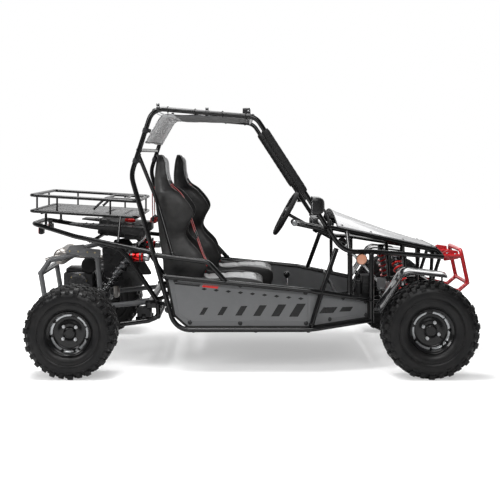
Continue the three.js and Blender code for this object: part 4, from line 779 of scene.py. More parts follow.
LOW_PIVOT = LOW_ARM["rail_y"] + MAIN + CLEAR + LOW_ARM["bush"]
UP_PIVOT = UP_ARM["rail_y"] + BRACE + CLEAR + UP_ARM["bush"]


def bush_ears(arm, pivot_y):
    out = []
    reach = pivot_y + arm["bush"] - arm["rail_y"]
    for x in (arm["rear"], arm["front"]):
        out += two_boxes((4, reach, 14), (x, arm["rail_y"] + reach / 2, arm["rail_z"]), EAR_GAP, 1.2)
        out += bolt_through((x, pivot_y, arm["rail_z"]), AHEAD, 24.3, 6)
    return out


def hexagon(centre, way, across_flats, thick, turn=0.0):
    r = across_flats / math.sqrt(3)
    return lathe([(0, -thick / 2), (r * 0.93, -thick / 2), (r, -thick / 2 + thick * 0.15),
                  (r, thick / 2 - thick * 0.15), (r * 0.93, thick / 2), (0, thick / 2)], centre, way, 6, turn)


def bolt_head(place, way, size=6.0, washer=True, turn=0.3):
    """Hex head with a flanged washer; place is on the surface and way points out of it."""
    way, place = Vector(way).normalized(), Vector(place)
    out = [hexagon(place + way * size * 0.45, way, size * 1.65, size * 0.7, turn)]
    if washer:
        out.append(disc(place + way * size * 0.08, way, size * 1.2, size * 0.18, 22))
    return out


def dome_screw(place, way, r=6.0):
    way, place = Vector(way).normalized(), Vector(place)
    return [lathe([(0, -1), (r, -1), (r, 0.2), (r * 0.92, 1.2), (r * 0.7, 2.2), (r * 0.38, 2.9),
                   (r * 0.34, 1.7), (0, 1.7)], place, way, 22)]


def bolt_through(centre, way, half, size=6.0):
    way, centre = Vector(way).normalized(), Vector(centre)
    a, b = centre - way * half, centre + way * half
    return bolt_head(b, way, size) + bolt_head(a, -way, size) + [rod(a, b, size * 0.5)]


SHOCK_TOP, SHOCK_FOOT = V(777, 271, 565), V(852, 440, 230)
rail_post = V(504, PILLAR_HALF - MAIN, 613)
nose_left = [bent([on_hood(396), on_hood(1012), P(NOSE, 236)], [40], MAIN, 24),
             bent([low_rail(812), high_rail(812), on_hood(812)], [40], BRACE, 20),
             straight(high_rail(907), on_hood(907), BRACE),
             bent([low_rail(985), high_rail(985), on_hood(985)], [40], BRACE, 20),
             straight(high_rail(985), P(NOSE, UP_ARM["rail_y"]), BRACE),
             straight(rail_post, on_hood(504), BRACE),
             straight(V(598, LOW_ARM["rail_y"], 254), low_rail(1012), MAIN, 24),
             straight(high_rail(770), high_rail(1012), BRACE, 20),
             disc(high_rail(770.5), AHEAD, BRACE - 1, 3), disc(low_rail(1011.5), AHEAD, MAIN - 1, 3),
             *two_boxes((4, 28, 28), SHOCK_TOP + V(0, 0, 2), CLEVIS, 1.2),
             rbox((53, 28, 4), (SHOCK_TOP.x + 10, SHOCK_TOP.y, SHOCK_TOP.z + 16), 1.2)]
nose_left += bush_ears(LOW_ARM, LOW_PIVOT) + bush_ears(UP_ARM, UP_PIVOT)
nose_beads = [weld(low_rail(812), high_rail(812), BRACE), weld(on_hood(812), high_rail(812), BRACE),
              weld(high_rail(907), on_hood(907), BRACE, BRACE), weld(on_hood(907), high_rail(907), BRACE),
              weld(low_rail(985), high_rail(985), BRACE), weld(on_hood(985), high_rail(985), BRACE),
              weld(on_hood(504), rail_post, BRACE), weld(P(NOSE, 236), on_hood(1012), MAIN)]
nose_cross = [across(NOSE, 236, MAIN, 24), across((812, 262), 165, BRACE), across((985, 262), 165, BRACE),
              across((1012, 392), 190, BRACE)]
nose_cross += [lathe([(8.6, -135), (17, -135), (20, -131), (20, -100), (18, -96), (18, 60), (20, 64),
                      (20, 131), (17, 135), (8.6, 135)], (RACK_X, 0, RACK_Z), LEFT, 32, closed=True),
               lathe([(0, 0), (20, 0), (20, 30), (17, 38), (11, 40), (0, 40)], (RACK_X, 96, RACK_Z), UP, 28)]
nose_cross += two_boxes((42, 12, 38), (791, 0, 281), 67.5, 1.5, 1)
nose_cross += bolt_head((RACK_X, 60, RACK_Z + 18), UP, 5) + bolt_head((RACK_X, -60, RACK_Z + 18), UP, 5)

# Rear frame
HOOP_F, HOOP_M, HOOP_TAIL, TAIL_Y, TAIL_Z = (-505, 612), (-944, 679), -1210 + MAIN, 180, 737


def hoop_z(x):
    return slope_z(HOOP_F, HOOP_M, x)


def hoop_y(x):
    return mix(545, 330, (x - HOOP_F[0]) / (HOOP_M[0] - HOOP_F[0]))


def hoop_at(x):
    """Point on the left half of the rear hoop."""
    if x >= HOOP_M[0]:
        return V(x, hoop_y(x), hoop_z(x))
    t = (x - HOOP_M[0]) / (HOOP_TAIL - HOOP_M[0])
    return V(x, mix(330, TAIL_Y, t), mix(HOOP_M[1], TAIL_Z, t))


hoop_half = [P(HOOP_F, 545), P(HOOP_M, 330), V(HOOP_TAIL, TAIL_Y, TAIL_Z)]
hoop_path = hoop_half + [V(p.x, -p.y, p.z) for p in reversed(hoop_half)]
SIDE_LOOP = [P((-868, 666), 368)] + [P(p, 402) for p in ((-705, 624), (-652, 576), (-494, 338), (-492, 262),
                                                         (-545, 240), (-690, 222))]
FUEL_BARS = (-620, -838)
RSHOCK_TOP, RSHOCK_FOOT = V(-620, 330, hoop_z(-620) - BRACE - CLEAR - 12), V(-850, SWING_Y, 322)
rear_left = [
    bent(SIDE_LOOP, [30] * 5, MAIN, 24), straight(P((-428, 345), 545), P((-494, 338), 402), BRACE),
    disc(P((-691, 222), 402), AHEAD, MAIN - 1, 3),
    rbox((88, 8, 42), (-517, 389.3, 326), 2),
]
rear_left += two_boxes((28, 4, 42), RSHOCK_TOP + V(0, 0, 14), CLEVIS, 1.2, 1)
rear_left += bolt_through(RSHOCK_TOP, LEFT, 16.3, 6) + bolt_head(V(-540, 393.3, 326), LEFT, 11)
rear_cross = [bent(hoop_path, [300, 60, 60, 300], MAIN, 24)]
rear_cross += [across((x, hoop_z(x)), hoop_y(x), BRACE) for x in FUEL_BARS]
rear_cross.append(across((-492, 262), 402, MAIN, 24))
rear_beads = [weld(P((-868, 666), 368), P((-705, 624), 402), MAIN, MAIN),
              weld(P((-494, 338), 402), P((-428, 345), 545), BRACE)]
rear_beads += [weld(P((x, hoop_z(x)), hoop_y(x)), P((x, hoop_z(x)), 0), BRACE) for x in FUEL_BARS]

# Cargo rack
RACK_REAR, RACK_FRONT, RACK_HALF, RACK_DROP = -1180, -612, 340, 85


def cargo_at(x, y, drop):
    return V(x, y, mix(900, 866, (x - RACK_REAR) / (RACK_FRONT - RACK_REAR)) - drop)


def cargo_ring(drop, radius):
    c = [cargo_at(x, y, drop) for x, y in ((RACK_FRONT, RACK_HALF), (RACK_FRONT, -RACK_HALF),
                                           (RACK_REAR, -RACK_HALF), (RACK_REAR, RACK_HALF))]
    start = c[0].lerp(c[3], 0.5)
    knots = rounded([start] + c + [start], [30] * 4)[:-1]
    return sweep(knots, radius, 18, closed=True)


cargo_parts = [cargo_ring(0, RACK_TUBE), cargo_ring(RACK_DROP, RACK_TUBE)]
for share in (0.25, 0.75):
    for way in (-1, 1):
        x = mix(RACK_REAR, RACK_FRONT, share)
        cargo_parts.append(straight(cargo_at(x, way * RACK_HALF, 0), cargo_at(x, way * RACK_HALF, RACK_DROP),
                                    SLAT, 14))
    for x in (RACK_REAR, RACK_FRONT):
        y = mix(-RACK_HALF, RACK_HALF, share)
        cargo_parts.append(straight(cargo_at(x, y, 0), cargo_at(x, y, RACK_DROP), SLAT, 14))
for i in range(15):
    y = mix(-RACK_HALF, RACK_HALF, (i + 0.5) / 15)
    cargo_parts.append(straight(cargo_at(RACK_REAR, y, RACK_DROP), cargo_at(RACK_FRONT, y, RACK_DROP), SLAT,
                                14))
for x in (-1120, -700):
    cargo_parts.append(straight(cargo_at(x, -RACK_HALF, 90), cargo_at(x, RACK_HALF, 90), RACK_TUBE, 18))
    foot = hoop_at(x)
    for way in (-1, 1):
        a = V(foot.x, way * foot.y, foot.z)
        b = cargo_at(x, way * min(foot.y, RACK_HALF), RACK_DROP)
        d = (b - a).normalized()
        cargo_parts.append(straight(a + d * (MAIN + 0.4), b, 7, 16))
        cargo_parts.append(disc(a + d * (MAIN + 2.2), d, 13, 3.6))

# Front bumper and brush bar
CHEST = (1210 - BUMPER, 407)
BUMPER_HALF, BUMPER_ARM_Z = 150, 556
bumper_side = [P(p, BUMPER_HALF) for p in ((1022.3, 392), (1146, 363), CHEST, (1160, 589))]
bumper_parts = [bent(bumper_side + [V(p.x, -p.y, p.z) for p in reversed(bumper_side)], [22] * 6, BUMPER, 22),
                across(CHEST, BUMPER_HALF, BUMPER)]
arm_tip = slope_x((1160, 589), CHEST, BUMPER_ARM_Z)
for way in (-1, 1):
    bumper_parts.append(straight(V(NOSE[0] + MAIN + 0.4, way * BUMPER_HALF, BUMPER_ARM_Z),
                                 V(arm_tip, way * BUMPER_HALF, BUMPER_ARM_Z), BUMPER, 20))
    bumper_parts.append(disc(V(NOSE[0] + MAIN + 3.2, way * BUMPER_HALF, BUMPER_ARM_Z), AHEAD, BUMPER + 5, 5))
    bumper_parts.append(bead_at(V(arm_tip - BUMPER - 1, way * BUMPER_HALF, BUMPER_ARM_Z), AHEAD, BUMPER, 2.2))
    bumper_parts.append(bead_at(V(CHEST[0], way * (BUMPER_HALF - BUMPER - 1), CHEST[1]), LEFT, BUMPER, 2.2))


# ---------------------------------------------------------------- wheels
RIM_R, BOLT_CIRCLE, TREAD = 101.6, 43, 13


def knob(radius, along, angle, size, height, taper=0.8, skew=0.0, lean=0.0):
    """A tread block standing on the carcass, at an angle round the tyre and a place along its width."""
    verts = []
    l, w = size[0] / 2, size[1] / 2
    for level, k in ((-3.5, 1.05), (height * 0.86, mix(1.0, taper, 0.86)), (height, taper * 0.9)):
        for sx, sy in ((-1, -1), (1, -1), (1, 1), (-1, 1)):
            arc = sx * l * k + skew * sy * w
            y = along + sy * w * k
            r = radius + level - lean * sy * w
            a = angle + arc / radius
            verts.append(wheel_way(r, a, y))
    faces = [(3, 2, 1, 0), (8, 9, 10, 11)]
    for lev in (0, 4):
        for i in range(4):
            j = (i + 1) % 4
            faces.append((lev + i, lev + j, lev + 4 + j, lev + 4 + i))
    return verts, faces


# (radius beyond the rim, place beyond half the width) up to the bead groove
TYRE_FOOT = ((1.2, -30), (1.6, -25), (5, -21.5), (13, -17.5), (14, -15), (16, -14.6))
# (share of the wall's height, place beyond half the width) up the side wall with its ribs
TYRE_WALL = ((0.17, -9), (0.20, -6.2), (0.27, -2.2), (0.34, -0.2), (0.40, 0.2), (0.445, -1.2), (0.46, -4.2),
             (0.49, -5.0), (0.505, -3.6), (0.56, -1.2), (0.62, -0.6), (0.68, -1.4), (0.705, -1.4),
             (0.74, -2.0), (0.84, -6), (0.93, -13))


def tyre(radius, half, knobs):
    """Carcass with its beads, ribs and tread blocks; middle at the origin, outer side +Y."""
    base = radius - TREAD
    prof = [(RIM_R + r, half + y) for r, y in TYRE_FOOT]
    prof += [(mix(RIM_R, base, t), half + y) for t, y in TYRE_WALL]
    prof += [(base - 3.0, half - 22), (base - 0.6, half - 40), (base, half * 0.3), (base, 0)]
    prof = prof + [(r, -t) for r, t in reversed(prof[:-1])]
    lining = [(RIM_R + 1.2, half - 36), (RIM_R + 20, half - 24), (base - 22, half - 18),
              (base - 10, half - 36)]
    inner = [(r, -y) for r, y in lining] + [(base - 9, 0)] + lining[::-1]
    carcass = lathe(prof + inner, ORIGIN, LEFT, 96, closed=True)
    blocks, step = [], 2 * math.pi / knobs
    for i in range(knobs):
        a = i * step
        b = a + step / 2
        long = radius * step
        for way in (-1, 1):
            turn = 0 if way > 0 else step / 2
            # Crown blocks, then the ones beside them, then alternating shoulder blocks that wrap the edge
            blocks.append(knob(base, way * half * 0.17, a + turn, (long * 0.56, half * 0.26), radius - base,
                               0.84, 0.28 * way))
            blocks.append(knob(base - 0.6, way * half * 0.49, b + turn, (long * 0.5, half * 0.24),
                               radius - base - 0.6, 0.84, -0.3 * way))
            if i % 2:
                blocks.append(knob(base - 2.4, way * (half - 15), a + turn, (long * 0.62, 25), 13.6, 0.8, 0.0,
                                   0.34 * way))
                blocks.append(knob(base - 17, way * (half - 7), a + turn, (long * 0.5, 10), 8.5, 0.72, 0.0,
                                   1.1 * way))
            else:
                blocks.append(knob(base - 3.4, way * (half - 20), a + turn, (long * 0.5, 20), 13.0, 0.78,
                                   0.22 * way, 0.24 * way))
                blocks.append(knob(base - 10, way * (half - 9), a + turn, (long * 0.46, 11), 9.5, 0.72, 0.0,
                                   0.9 * way))
    return joined([carcass] + blocks)


RIM_LIP = ((9.5, -1), (9.5, 0.6), (8.4, 1.6), (7.0, 1.0), (3.5, -3.5), (-2.5, -7), (-4.5, -14), (-5.5, -24),
           (-9, -30), (-19, -33))
RIM_DISH = ((84, 13), (81, 12.4), (79.4, 9), (77, 7.6), (72, 7.2), (58, 8.6), (55, 10.4), (34, 11), (31, 9.4))
RIM_BACK = ((-4.5, -12), (4.5, -1), (9.5, 0.4), (9.5, -1.5), (1, -7), (-0.2, -14))


def rim(half, disc_at, bore):
    """Pressed rim with its dish and lips; outer side +Y."""
    e = half - 12
    prof = [(RIM_R + r, e + y) for r, y in RIM_LIP] + [(r, disc_at + y) for r, y in RIM_DISH]
    prof += [(bore + 0.8, disc_at + 9.4), (bore + 0.8, disc_at + 1), (62, disc_at + 1), (74, disc_at + 1.5),
             (77, disc_at - 2), (80, -36), (RIM_R - 6, -46)]
    prof += [(RIM_R + r, -(e + y)) for r, y in RIM_BACK]
    prof += [(RIM_R - 0.2, -47), (84, -37), (84, 36), (RIM_R - 0.2, 47), (RIM_R - 0.2, e - 14),
             (RIM_R + 1, e - 7)]
    return lathe(prof, ORIGIN, LEFT, 80, closed=True)


def rim_glint_arcs(half):
    """Bright machined-metal arcs on the dish ring, seven with slanted ends: painted glints that stand in for
    light caught on the inner barrel.
    """
    e = half - 12
    out = []
    marks = [(6, 40, 2), (50, 34, -2), (92, 46, 3), (146, 30, -3), (184, 50, 2), (243, 38, -2), (291, 54, 3)]
    for start, length, lean in marks:
        n, verts = 10, []
        for layer in (2.0, -1.0):
            for k in range(n + 1):
                for r, y in ((96.2, e - 27.2), (92.4, e - 30.6), (84.6, e - 32.4)):
                    a = math.radians(start + length * k / n + lean * (r - 90) / 6)
                    verts.append(wheel_way(r, a, y + layer))
        out.append((verts, slab_faces(n, 2)))
    return out


def rim_hardware(disc_at, turn=0.45):
    out = []
    for k, a in enumerate(turns(4, turn)):
        out += [disc(wheel_way(BOLT_CIRCLE, a, disc_at + 10.6), LEFT, 8.6, 1.6),
                hexagon(wheel_way(BOLT_CIRCLE, a, disc_at + 15.4), LEFT, 15, 9, 0.4 + k),
                rod(wheel_way(BOLT_CIRCLE, a, disc_at + 8), wheel_way(BOLT_CIRCLE, a, disc_at + 24), 4.6)]
    return out


def hub_cap(disc_at):
    return [lathe([(29.5, disc_at + 9), (29.5, disc_at + 15), (27.5, disc_at + 18.5), (24, disc_at + 20.5),
                   (21, disc_at + 21), (20, disc_at + 19.6), (10, disc_at + 19.4), (0, disc_at + 19.6)],
                  ORIGIN, LEFT, 40)]


def valve(half):
    foot, tip = wheel_way(94, 2.2, half - 40), wheel_way(80, 2.2, half - 18)
    return [rod(foot, foot.lerp(tip, 0.55), 4.6), rod(foot.lerp(tip, 0.5), tip, 3.4)]


WHEELS = (("front", FRONT_AXLE, 651.0, FRONT_HUB, 89.0, 34.0, 12.0, 30),
          ("rear", REAR_AXLE, 619.5, REAR_HUB, 120.5, 65.5, 15.0, 30))


def build_wheels():
    for name, x, y, radius, half, disc_at, bore, knobs in WHEELS:
        tyre_part = tyre(radius, half, knobs)
        rim_part = rim(half, disc_at, bore)
        # Painted glints: bright arcs in place of light caught on the inner barrel
        faces = rim_glint_arcs(half)
        nuts = rim_hardware(disc_at)
        for label, side in SIDES:
            def put(parts, turn=0.0):
                out = []
                for p in parts:
                    q = moved(p, rot("Y", turn), ORIGIN)
                    q = q if side > 0 else flipped(q)
                    out.append(moved(q, None, (x, side * y, radius)))
                return out
            body = f"front_wheel_{label}" if name == "front" else "rear_axle"
            turn = 0 if name == "front" else 22
            make(f"{name}_tyre_{label}_rubber", put([tyre_part], turn), body, "tyre",
                 [f"{name}_tyre_{label}"], sharp=30)
            make(f"{name}_rim_{label}_dish", put([rim_part] + hub_cap(disc_at) + valve(half), turn), body,
                 "rim_black", [f"{name}_rim_{label}"], sharp=32)
            # Painted glints on the dish ring, made of bright machined metal
            make(f"{name}_rim_{label}_facets", put(faces, turn), body, "machined", sharp=25)
            make(f"{name}_rim_{label}_nuts", put(nuts, turn), body, "zinc", sharp=25)


# ---------------------------------------------------------------- springs and dampers
def helix(top, way, start, end, radius, wire, turns, wire_sides=14):
    """A compression spring whose end turns close up."""
    spin = Vector(UP).cross(way).normalized()
    lean = way.cross(spin)
    knots, steps = [], int(turns * 36)
    for i in range(steps + 1):
        t = i / steps
        a = 2 * math.pi * turns * t
        close = 1.0 / turns
        if t < close:
            run = (t / close) ** 2 * 0.5 * close
        elif t > 1 - close:
            run = 1 - close - ((1 - t) / close) ** 2 * 0.5 * close + 0.0
        else:
            run = 0.5 * close + (t - close)
        run = run / (1 - close)
        knots.append(top + way * mix(start + wire, end - wire, max(0, min(1, run))) + spin
                     * (radius * math.cos(a)) + lean * (radius * math.sin(a)))
    return sweep(knots, wire, wire_sides)


# From a damper's top eye to the spring, and from the spring to the foot eye
SPRING_TOP, SPRING_FOOT = 31, 45


def damper(prefix, top, foot, eye, share):
    way = (foot - top).normalized()
    length = (foot - top).length

    def at(run):
        return top + way * run

    eye = Vector(eye)
    r = 17
    body_end = length * share
    body = [bushing(top, eye, 5, 12, 11.4, 28), rod(at(8), at(28), 7.3),
            lathe([(8, 24), (27, 24), (29.5, 26), (29.5, 30), (28, SPRING_TOP), (17, SPRING_TOP)], top, way,
                  40), lathe([(0, 24), (r, 24), (r, 40), (r + 2.2, 41), (r + 2.2, 52), (r, 53), (r - 0.6, 54),
                              (r - 0.6, body_end - 8), (r, body_end - 7), (r, body_end - 1.5),
                              (r - 1.5, body_end), (7.6, body_end)], top, way, 40)]
    ribs = [ring(at(58 + 3.4 * k), way, r - 0.2, 0.9, 36, 6) for k in range(int((body_end - 75) / 3.4))]
    rod_end = length - SPRING_FOOT
    rod_parts = [rod(at(105), foot, 6.9), bushing(foot, eye, 5, 12, 11.4, 28)]
    cups = [lathe([(7, 0), (20, 0), (29.5, 1.6), (29.5, 5), (27, 6.5), (12, 6.5), (11, 16), (7, 18)],
                  at(rod_end), way, 40)]
    boot = [lathe([(6.9, 0), (13, 0)] + [(13 + (1.8 if k % 2 else 0), 3 + 3 * k) for k in range(7)]
                  + [(13, 24), (6.9, 24)], at(rod_end - 26), way, 28)]
    knurl = []
    u, w = basis(way)[:2]
    for a in turns(24):
        c = at(46.5) + u * ((r + 2.4) * math.cos(a)) + w * ((r + 2.4) * math.sin(a))
        knurl.append(rod(c - way * 5, c + way * 5, 0.9, 8))
    bush = [disc(top + eye * s * 12.1, eye, 9, 2.2) for s in (-1, 1)]
    fixed, sliding = f"{prefix}_shock_{{}}", f"{prefix}_shock_rod_{{}}"
    make_pair(fixed + "_body_metal", body + bush, fixed, "dark_alloy", f"{prefix}_shock_body_{{}}")
    make_pair(fixed + "_threads", ribs + knurl, fixed, "machined")
    make_pair(fixed + "_rod_metal", rod_parts, sliding, "chrome", sliding)
    make_pair(fixed + "_cup", cups, sliding, "dark_alloy")
    make_pair(fixed + "_boot", boot, sliding, "rubber")


# ---------------------------------------------------------------- front arms, uprights, steering
def arm_tubes(arm, pivot_y):
    outer = V(FRONT_AXLE, arm["outer_y"], arm["outer_z"])
    out, soft = [], []
    for x in (arm["rear"], arm["front"]):
        inner = V(x, pivot_y, arm["rail_z"])
        out.append(straight(inner, outer, arm["tube"], 20))
        out.append(bushing(inner, AHEAD, arm["bush"] - 4, arm["bush"], 20, 28))
        out.append(bead_at(inner + (outer - inner).normalized() * (arm["bush"] + 0.5), outer - inner,
                           arm["tube"], 2.0))
        soft.append(bushing(inner, AHEAD, 3.2, arm["bush"] - 4, 20.2, 24))
    out.append(bushing(outer, AHEAD, 9, 14, 20, 28))
    soft.append(bushing(outer, AHEAD, 4.6, 8.8, 20.2, 24))
    a, b = V(arm["rear"], pivot_y, arm["rail_z"]), V(arm["front"], pivot_y, arm["rail_z"])
    mid = [p.lerp(outer, 0.72) for p in (a, b)]
    out.append(rbox(((mid[1] - mid[0]).length + 6, 40, 3), (mid[0] + mid[1]) / 2, 1.0,
                    rot("X", -math.degrees(math.atan2(arm["rail_z"] - arm["outer_z"],
                                                      arm["outer_y"] - pivot_y)))))
    return out, soft


def build_front():
    low, low_soft = arm_tubes(LOW_ARM, LOW_PIVOT)
    up, up_soft = arm_tubes(UP_ARM, UP_PIVOT)
    low += two_boxes((4, 28, 44), (SHOCK_FOOT.x, SHOCK_FOOT.y, 220), CLEVIS, 1.2)
    low.append(rbox((32.6, 28, 4), (SHOCK_FOOT.x, SHOCK_FOOT.y, 202), 1.0))
    low += bolt_through(SHOCK_FOOT, AHEAD, 16.3, 6)
    inner = LOW_ARM["outer_y"] + 14 + CLEAR
    middle, block_end = inner + 11.7 / 2, KINGPIN_Y + 14
    up_parts = [rbox((20, 11.7, 135), (FRONT_AXLE, middle, 242.5), 2.5)]
    for z in (175, 310):
        up_parts.append(rbox((48.6, 11.7, 28), (FRONT_AXLE, middle, z), 2.2))
        up_parts += two_boxes((4, middle - BALL_Y + 14, 28), (FRONT_AXLE, (middle + BALL_Y - 14) / 2, z),
                              EAR_GAP, 1.2)
        up_parts += bolt_through(V(FRONT_AXLE, BALL_Y, z), AHEAD, 24.3, 6)
    up_parts += [rbox((28, block_end - middle, 15), (FRONT_AXLE, (block_end + middle) / 2, z), 2.5)
                 for z in (177.5, 307.5)]
    for z, way in ((315, 1), (170, -1)):
        up_parts += bolt_head(V(FRONT_AXLE, KINGPIN_Y, z), (0, 0, way), 8)
    up_parts.append(rod(V(FRONT_AXLE, KINGPIN_Y, 169), V(FRONT_AXLE, KINGPIN_Y, 316), 8))
    kn = [lathe([(8.4, 185.3), (13, 185.3), (15, 187), (15, 297.5), (13, 299.7), (8.4, 299.7)],
                (FRONT_AXLE, KINGPIN_Y, 0), UP, 32, closed=True),
          lathe([(0, 603), (20, 603), (20, 606), (13, 612), (12, 630), (12, 690), (9, 694), (9, 700),
                 (0, 700)], (FRONT_AXLE, 0, FRONT_HUB), LEFT, 32),
          bent([V(879, KINGPIN_Y, 265), V(820, 560, 268), V(800, 540, 274)], [12], 8, 18),
          bushing((800, 540, 274), UP, 4, 11, 7, 24)]
    stay = [bent([V(901, KINGPIN_Y, 265), V(960, 560, 268), V(975, 548, 290), V(975, 548, 488),
                  V(950, 612, 515.7)], [12, 12, 12], 5, 16)]
    for name, tubes, bushes in (("lower_arm_{}", low, low_soft), ("upper_arm_{}", up, up_soft)):
        make_pair(name + "_tubes", tubes, name, "frame", name)
        make_pair(name + "_bushes", bushes, name, "rubber")
    make_pair("upright_{}_forging", up_parts, "upright_{}", "cast", "upright_{}")
    make_pair("knuckle_{}_forging", kn, "knuckle_{}", "cast", "knuckle_{}")
    make_pair("fender_stay_{}", stay, "knuckle_{}", "frame")


def build_steering():
    """Steering rack bar, tie rods, shaft with its joints."""
    make("rack_bar", [rod((RACK_X, -205, RACK_Z), (RACK_X, 205, RACK_Z), 7.9)], "steering_rack", "chrome",
         ["steering_rack"])
    tin, tout = V(RACK_X, 215.7, RACK_Z), V(800, 540, 294)
    tie = [rod(tin, tin.lerp(tout, 0.16), 7.6), rod(tin.lerp(tout, 0.15), tin.lerp(tout, 0.86), 5.9),
           rod(tin.lerp(tout, 0.85), tout, 7.6), hexagon(tin.lerp(tout, 0.17), tout - tin, 17, 7),
           hexagon(tin.lerp(tout, 0.84), tout - tin, 17, 7),
           lathe([(0, -7), (7, -7), (9, -4), (9, 4), (7, 7), (0, 7)], tin, UP, 24),
           lathe([(0, -7), (7, -7), (9, -4), (9, 4), (7, 7), (0, 7)], tout, UP, 24)]
    tie_boot = [lathe([(6, 0), (13, 2)] + [(14.5 if k % 2 else 11.5, 6 + 5 * k) for k in range(9)]
                      + [(8, 56), (6.2, 58)], tin, tout - tin, 28)]
    make_pair("tie_rod_{}_bar", tie, "tie_rod_{}", "zinc", "tie_rod_{}")
    make_pair("tie_rod_{}_boot", tie_boot, "tie_rod_{}", "rubber")
    head, foot = V(567.689, 260, 572.393), V(RACK_X, 96, RACK_Z + 49.3)
    d = (foot - head).normalized()
    make("steering_shaft_bar", [rod(head, foot, 8.8), rod(head + d * 4, head + d * 34, 11.5, 24, 2),
                                rod(foot - d * 34, foot - d * 6, 11.5, 24, 2)], "steering_shaft", "zinc",
         ["steering_shaft"])


def build_steering_wheel():
    """Grip, three spokes, boss and column; its group's +Z looks at the driver."""
    to_driver = -COLUMN_WAY
    xa = Vector(LEFT).cross(to_driver).normalized()
    turn = Matrix((xa, Vector(LEFT), to_driver)).transposed()

    def put(ps):
        return [moved(p, turn, WHEEL_CENTRE) for p in ps]

    n = 96
    grip_knots, grip_scale = [], []
    for i in range(n):
        a = 2 * math.pi * i / n
        flat = 1.0 - 0.05 * max(0.0, math.cos(a)) ** 6
        grip_knots.append(V(135 * math.cos(a) * flat, 135 * math.sin(a), 0))
        bumps = 0.06 * (0.5 + 0.5 * math.cos(a * 48)) if abs(math.sin(a)) > 0.55 else 0.0
        thumb = 0.08 * math.exp(-((abs(math.degrees(a) % 180 - 55)) / 10) ** 2)
        grip_scale.append(0.92 + bumps + thumb)
    grip = sweep(grip_knots, 14.2, 18, closed=True, scale=grip_scale)
    spokes = []
    for k in range(3):
        a = math.pi * (1 + k * 2 / 3)
        outline = round_outline([(24, -15), (60, -10), (124, -13), (126, 13), (60, 10), (24, 15)], 4)
        hole = round_outline([(52, -4.5), (104, -6), (104, 6), (52, 4.5)], 3)
        part = cut_plate([[(x, y, 0) for x, y in line] for line in (outline, hole)], 5, 2)
        spokes.append(moved(part, rot("Z", math.degrees(a)), (0, 0, -2.5)))
    boss = [lathe([(10.5, -20), (30, -20), (34, -17), (34, 6), (32, 10), (10.5, 10)], ORIGIN, UP, 40,
                  closed=True)]
    pad = [lathe([(0, 19.6), (14, 19.4), (25, 17.4), (31, 13.5), (33, 9), (33, 6)], ORIGIN, UP, 44)]
    screws = []
    for a in turns(6, 0.2):
        screws += dome_screw(V(28 * math.cos(a), 28 * math.sin(a), 13.2),
                             (0.25 * math.cos(a), 0.25 * math.sin(a), 1), 2.6)
    make("wheel_grip", put([grip]), "steering_wheel", "grip_foam", ["steering_wheel"])
    make("wheel_spokes", put(spokes + boss), "steering_wheel", "satin_black_metal", sharp=25)
    make("wheel_pad", put(pad), "steering_wheel", "black_plastic")
    make("wheel_screws", put(screws), "steering_wheel", "zinc")
    col = [rod(V(0, 0, -18), V(0, 0, -400), 9.9), rod(V(0, 0, -372), V(0, 0, -399), 12.5, 24, 2)]
    make("wheel_column", put(col), "steering_wheel", "satin_black_metal")


# ---------------------------------------------------------------- seats
STATIONS = [((48, 0), (64, 42), 4, 150), ((20, 0), (48, 90), 10, 168), ((-90, 0), (-85, 100), 22, 178),
            ((-250, 0), (-240, 90), 30, 180), ((-400, 2), (-300, 102), 95, 182),
            ((-460, 120), (-330, 170), 85, 182), ((-470, 210), (-350, 240), 76, 176),
            ((-489, 322), (-386, 332), 42, 150), ((-494, 386), (-402, 389), 66, 170),
            ((-502, 462), (-414, 464), 108, 190), ((-509, 545), (-434, 552), 64, 185),
            ((-513, 596), (-446, 600), 20, 150), ((-516, 657), (-460, 660), 8, 110),
            ((-508, 730), (-466, 728), 4, 96), ((-498, 765), (-478, 762), 0, 70)]
SECTION = [(0, 0, 0), (0.75, 0, 0), (0.92, 0.14, 0), (1, 0.5, 0.2), (0.97, 1, 0.65), (0.86, 1, 1),
           (0.64, 1, 0.2), (0, 1, 0), (-0.64, 1, 0.2), (-0.86, 1, 1), (-0.97, 1, 0.65), (-1, 0.5, 0.2),
           (-0.92, 0.14, 0), (-0.75, 0, 0)]
RAIL_TOP = 350.3


def catmull(p, t, closed=False):
    n = len(p)
    i = int(math.floor(t))
    f = t - i
    if closed:
        a, b, c, d = (p[(i + k) % n] for k in (-1, 0, 1, 2))
    else:
        i = min(max(i, 0), n - 2)
        f = t - i
        a, b, c, d = p[max(i - 1, 0)], p[i], p[i + 1], p[min(i + 2, n - 1)]
    return tuple(0.5 * (2 * y + (z - x) * f + (2 * x - 5 * y + 4 * z - w) * f * f + (3 * y - x - 3 * z + w)
                        * f ** 3) for x, y, z, w in zip(a, b, c, d))


STATION_ROWS = [(b[0], b[1], f[0], f[1], rise, half) for b, f, rise, half in STATIONS]


def seat_point(s, q, inset=0.0):
    """Point on the seat's skin: s along the stations, q round the section. inset draws it in."""
    bx, bz, fx, fz, rise, half = catmull(STATION_ROWS, s)
    width, depth, lift = catmull(SECTION, q, True)
    depth = max(0.0, min(1.0, depth))
    lift = max(0.0, min(1.0, lift))
    width = max(-1.0, min(1.0, width))
    out = V(fx - bx, 0, fz - bz)
    way = out.normalized()
    return V(bx, 0, bz) + out * depth + way * (rise * lift) + V(0, width * (half - inset),
                                                                0) - way * inset * depth


FACE_EDGE = 0.64


def face_point(s, w, lift=0.0):
    """Point on the seat's front face at share w of its half width."""
    q = 7 - w / FACE_EDGE if abs(w) <= FACE_EDGE else (7 - math.copysign(1 + (abs(w) - FACE_EDGE) / 0.22, w))
    p = seat_point(s, q)
    bx, bz, fx, fz = catmull(STATION_ROWS, s)[:4]
    return p + V(fx - bx, 0, fz - bz).normalized() * lift


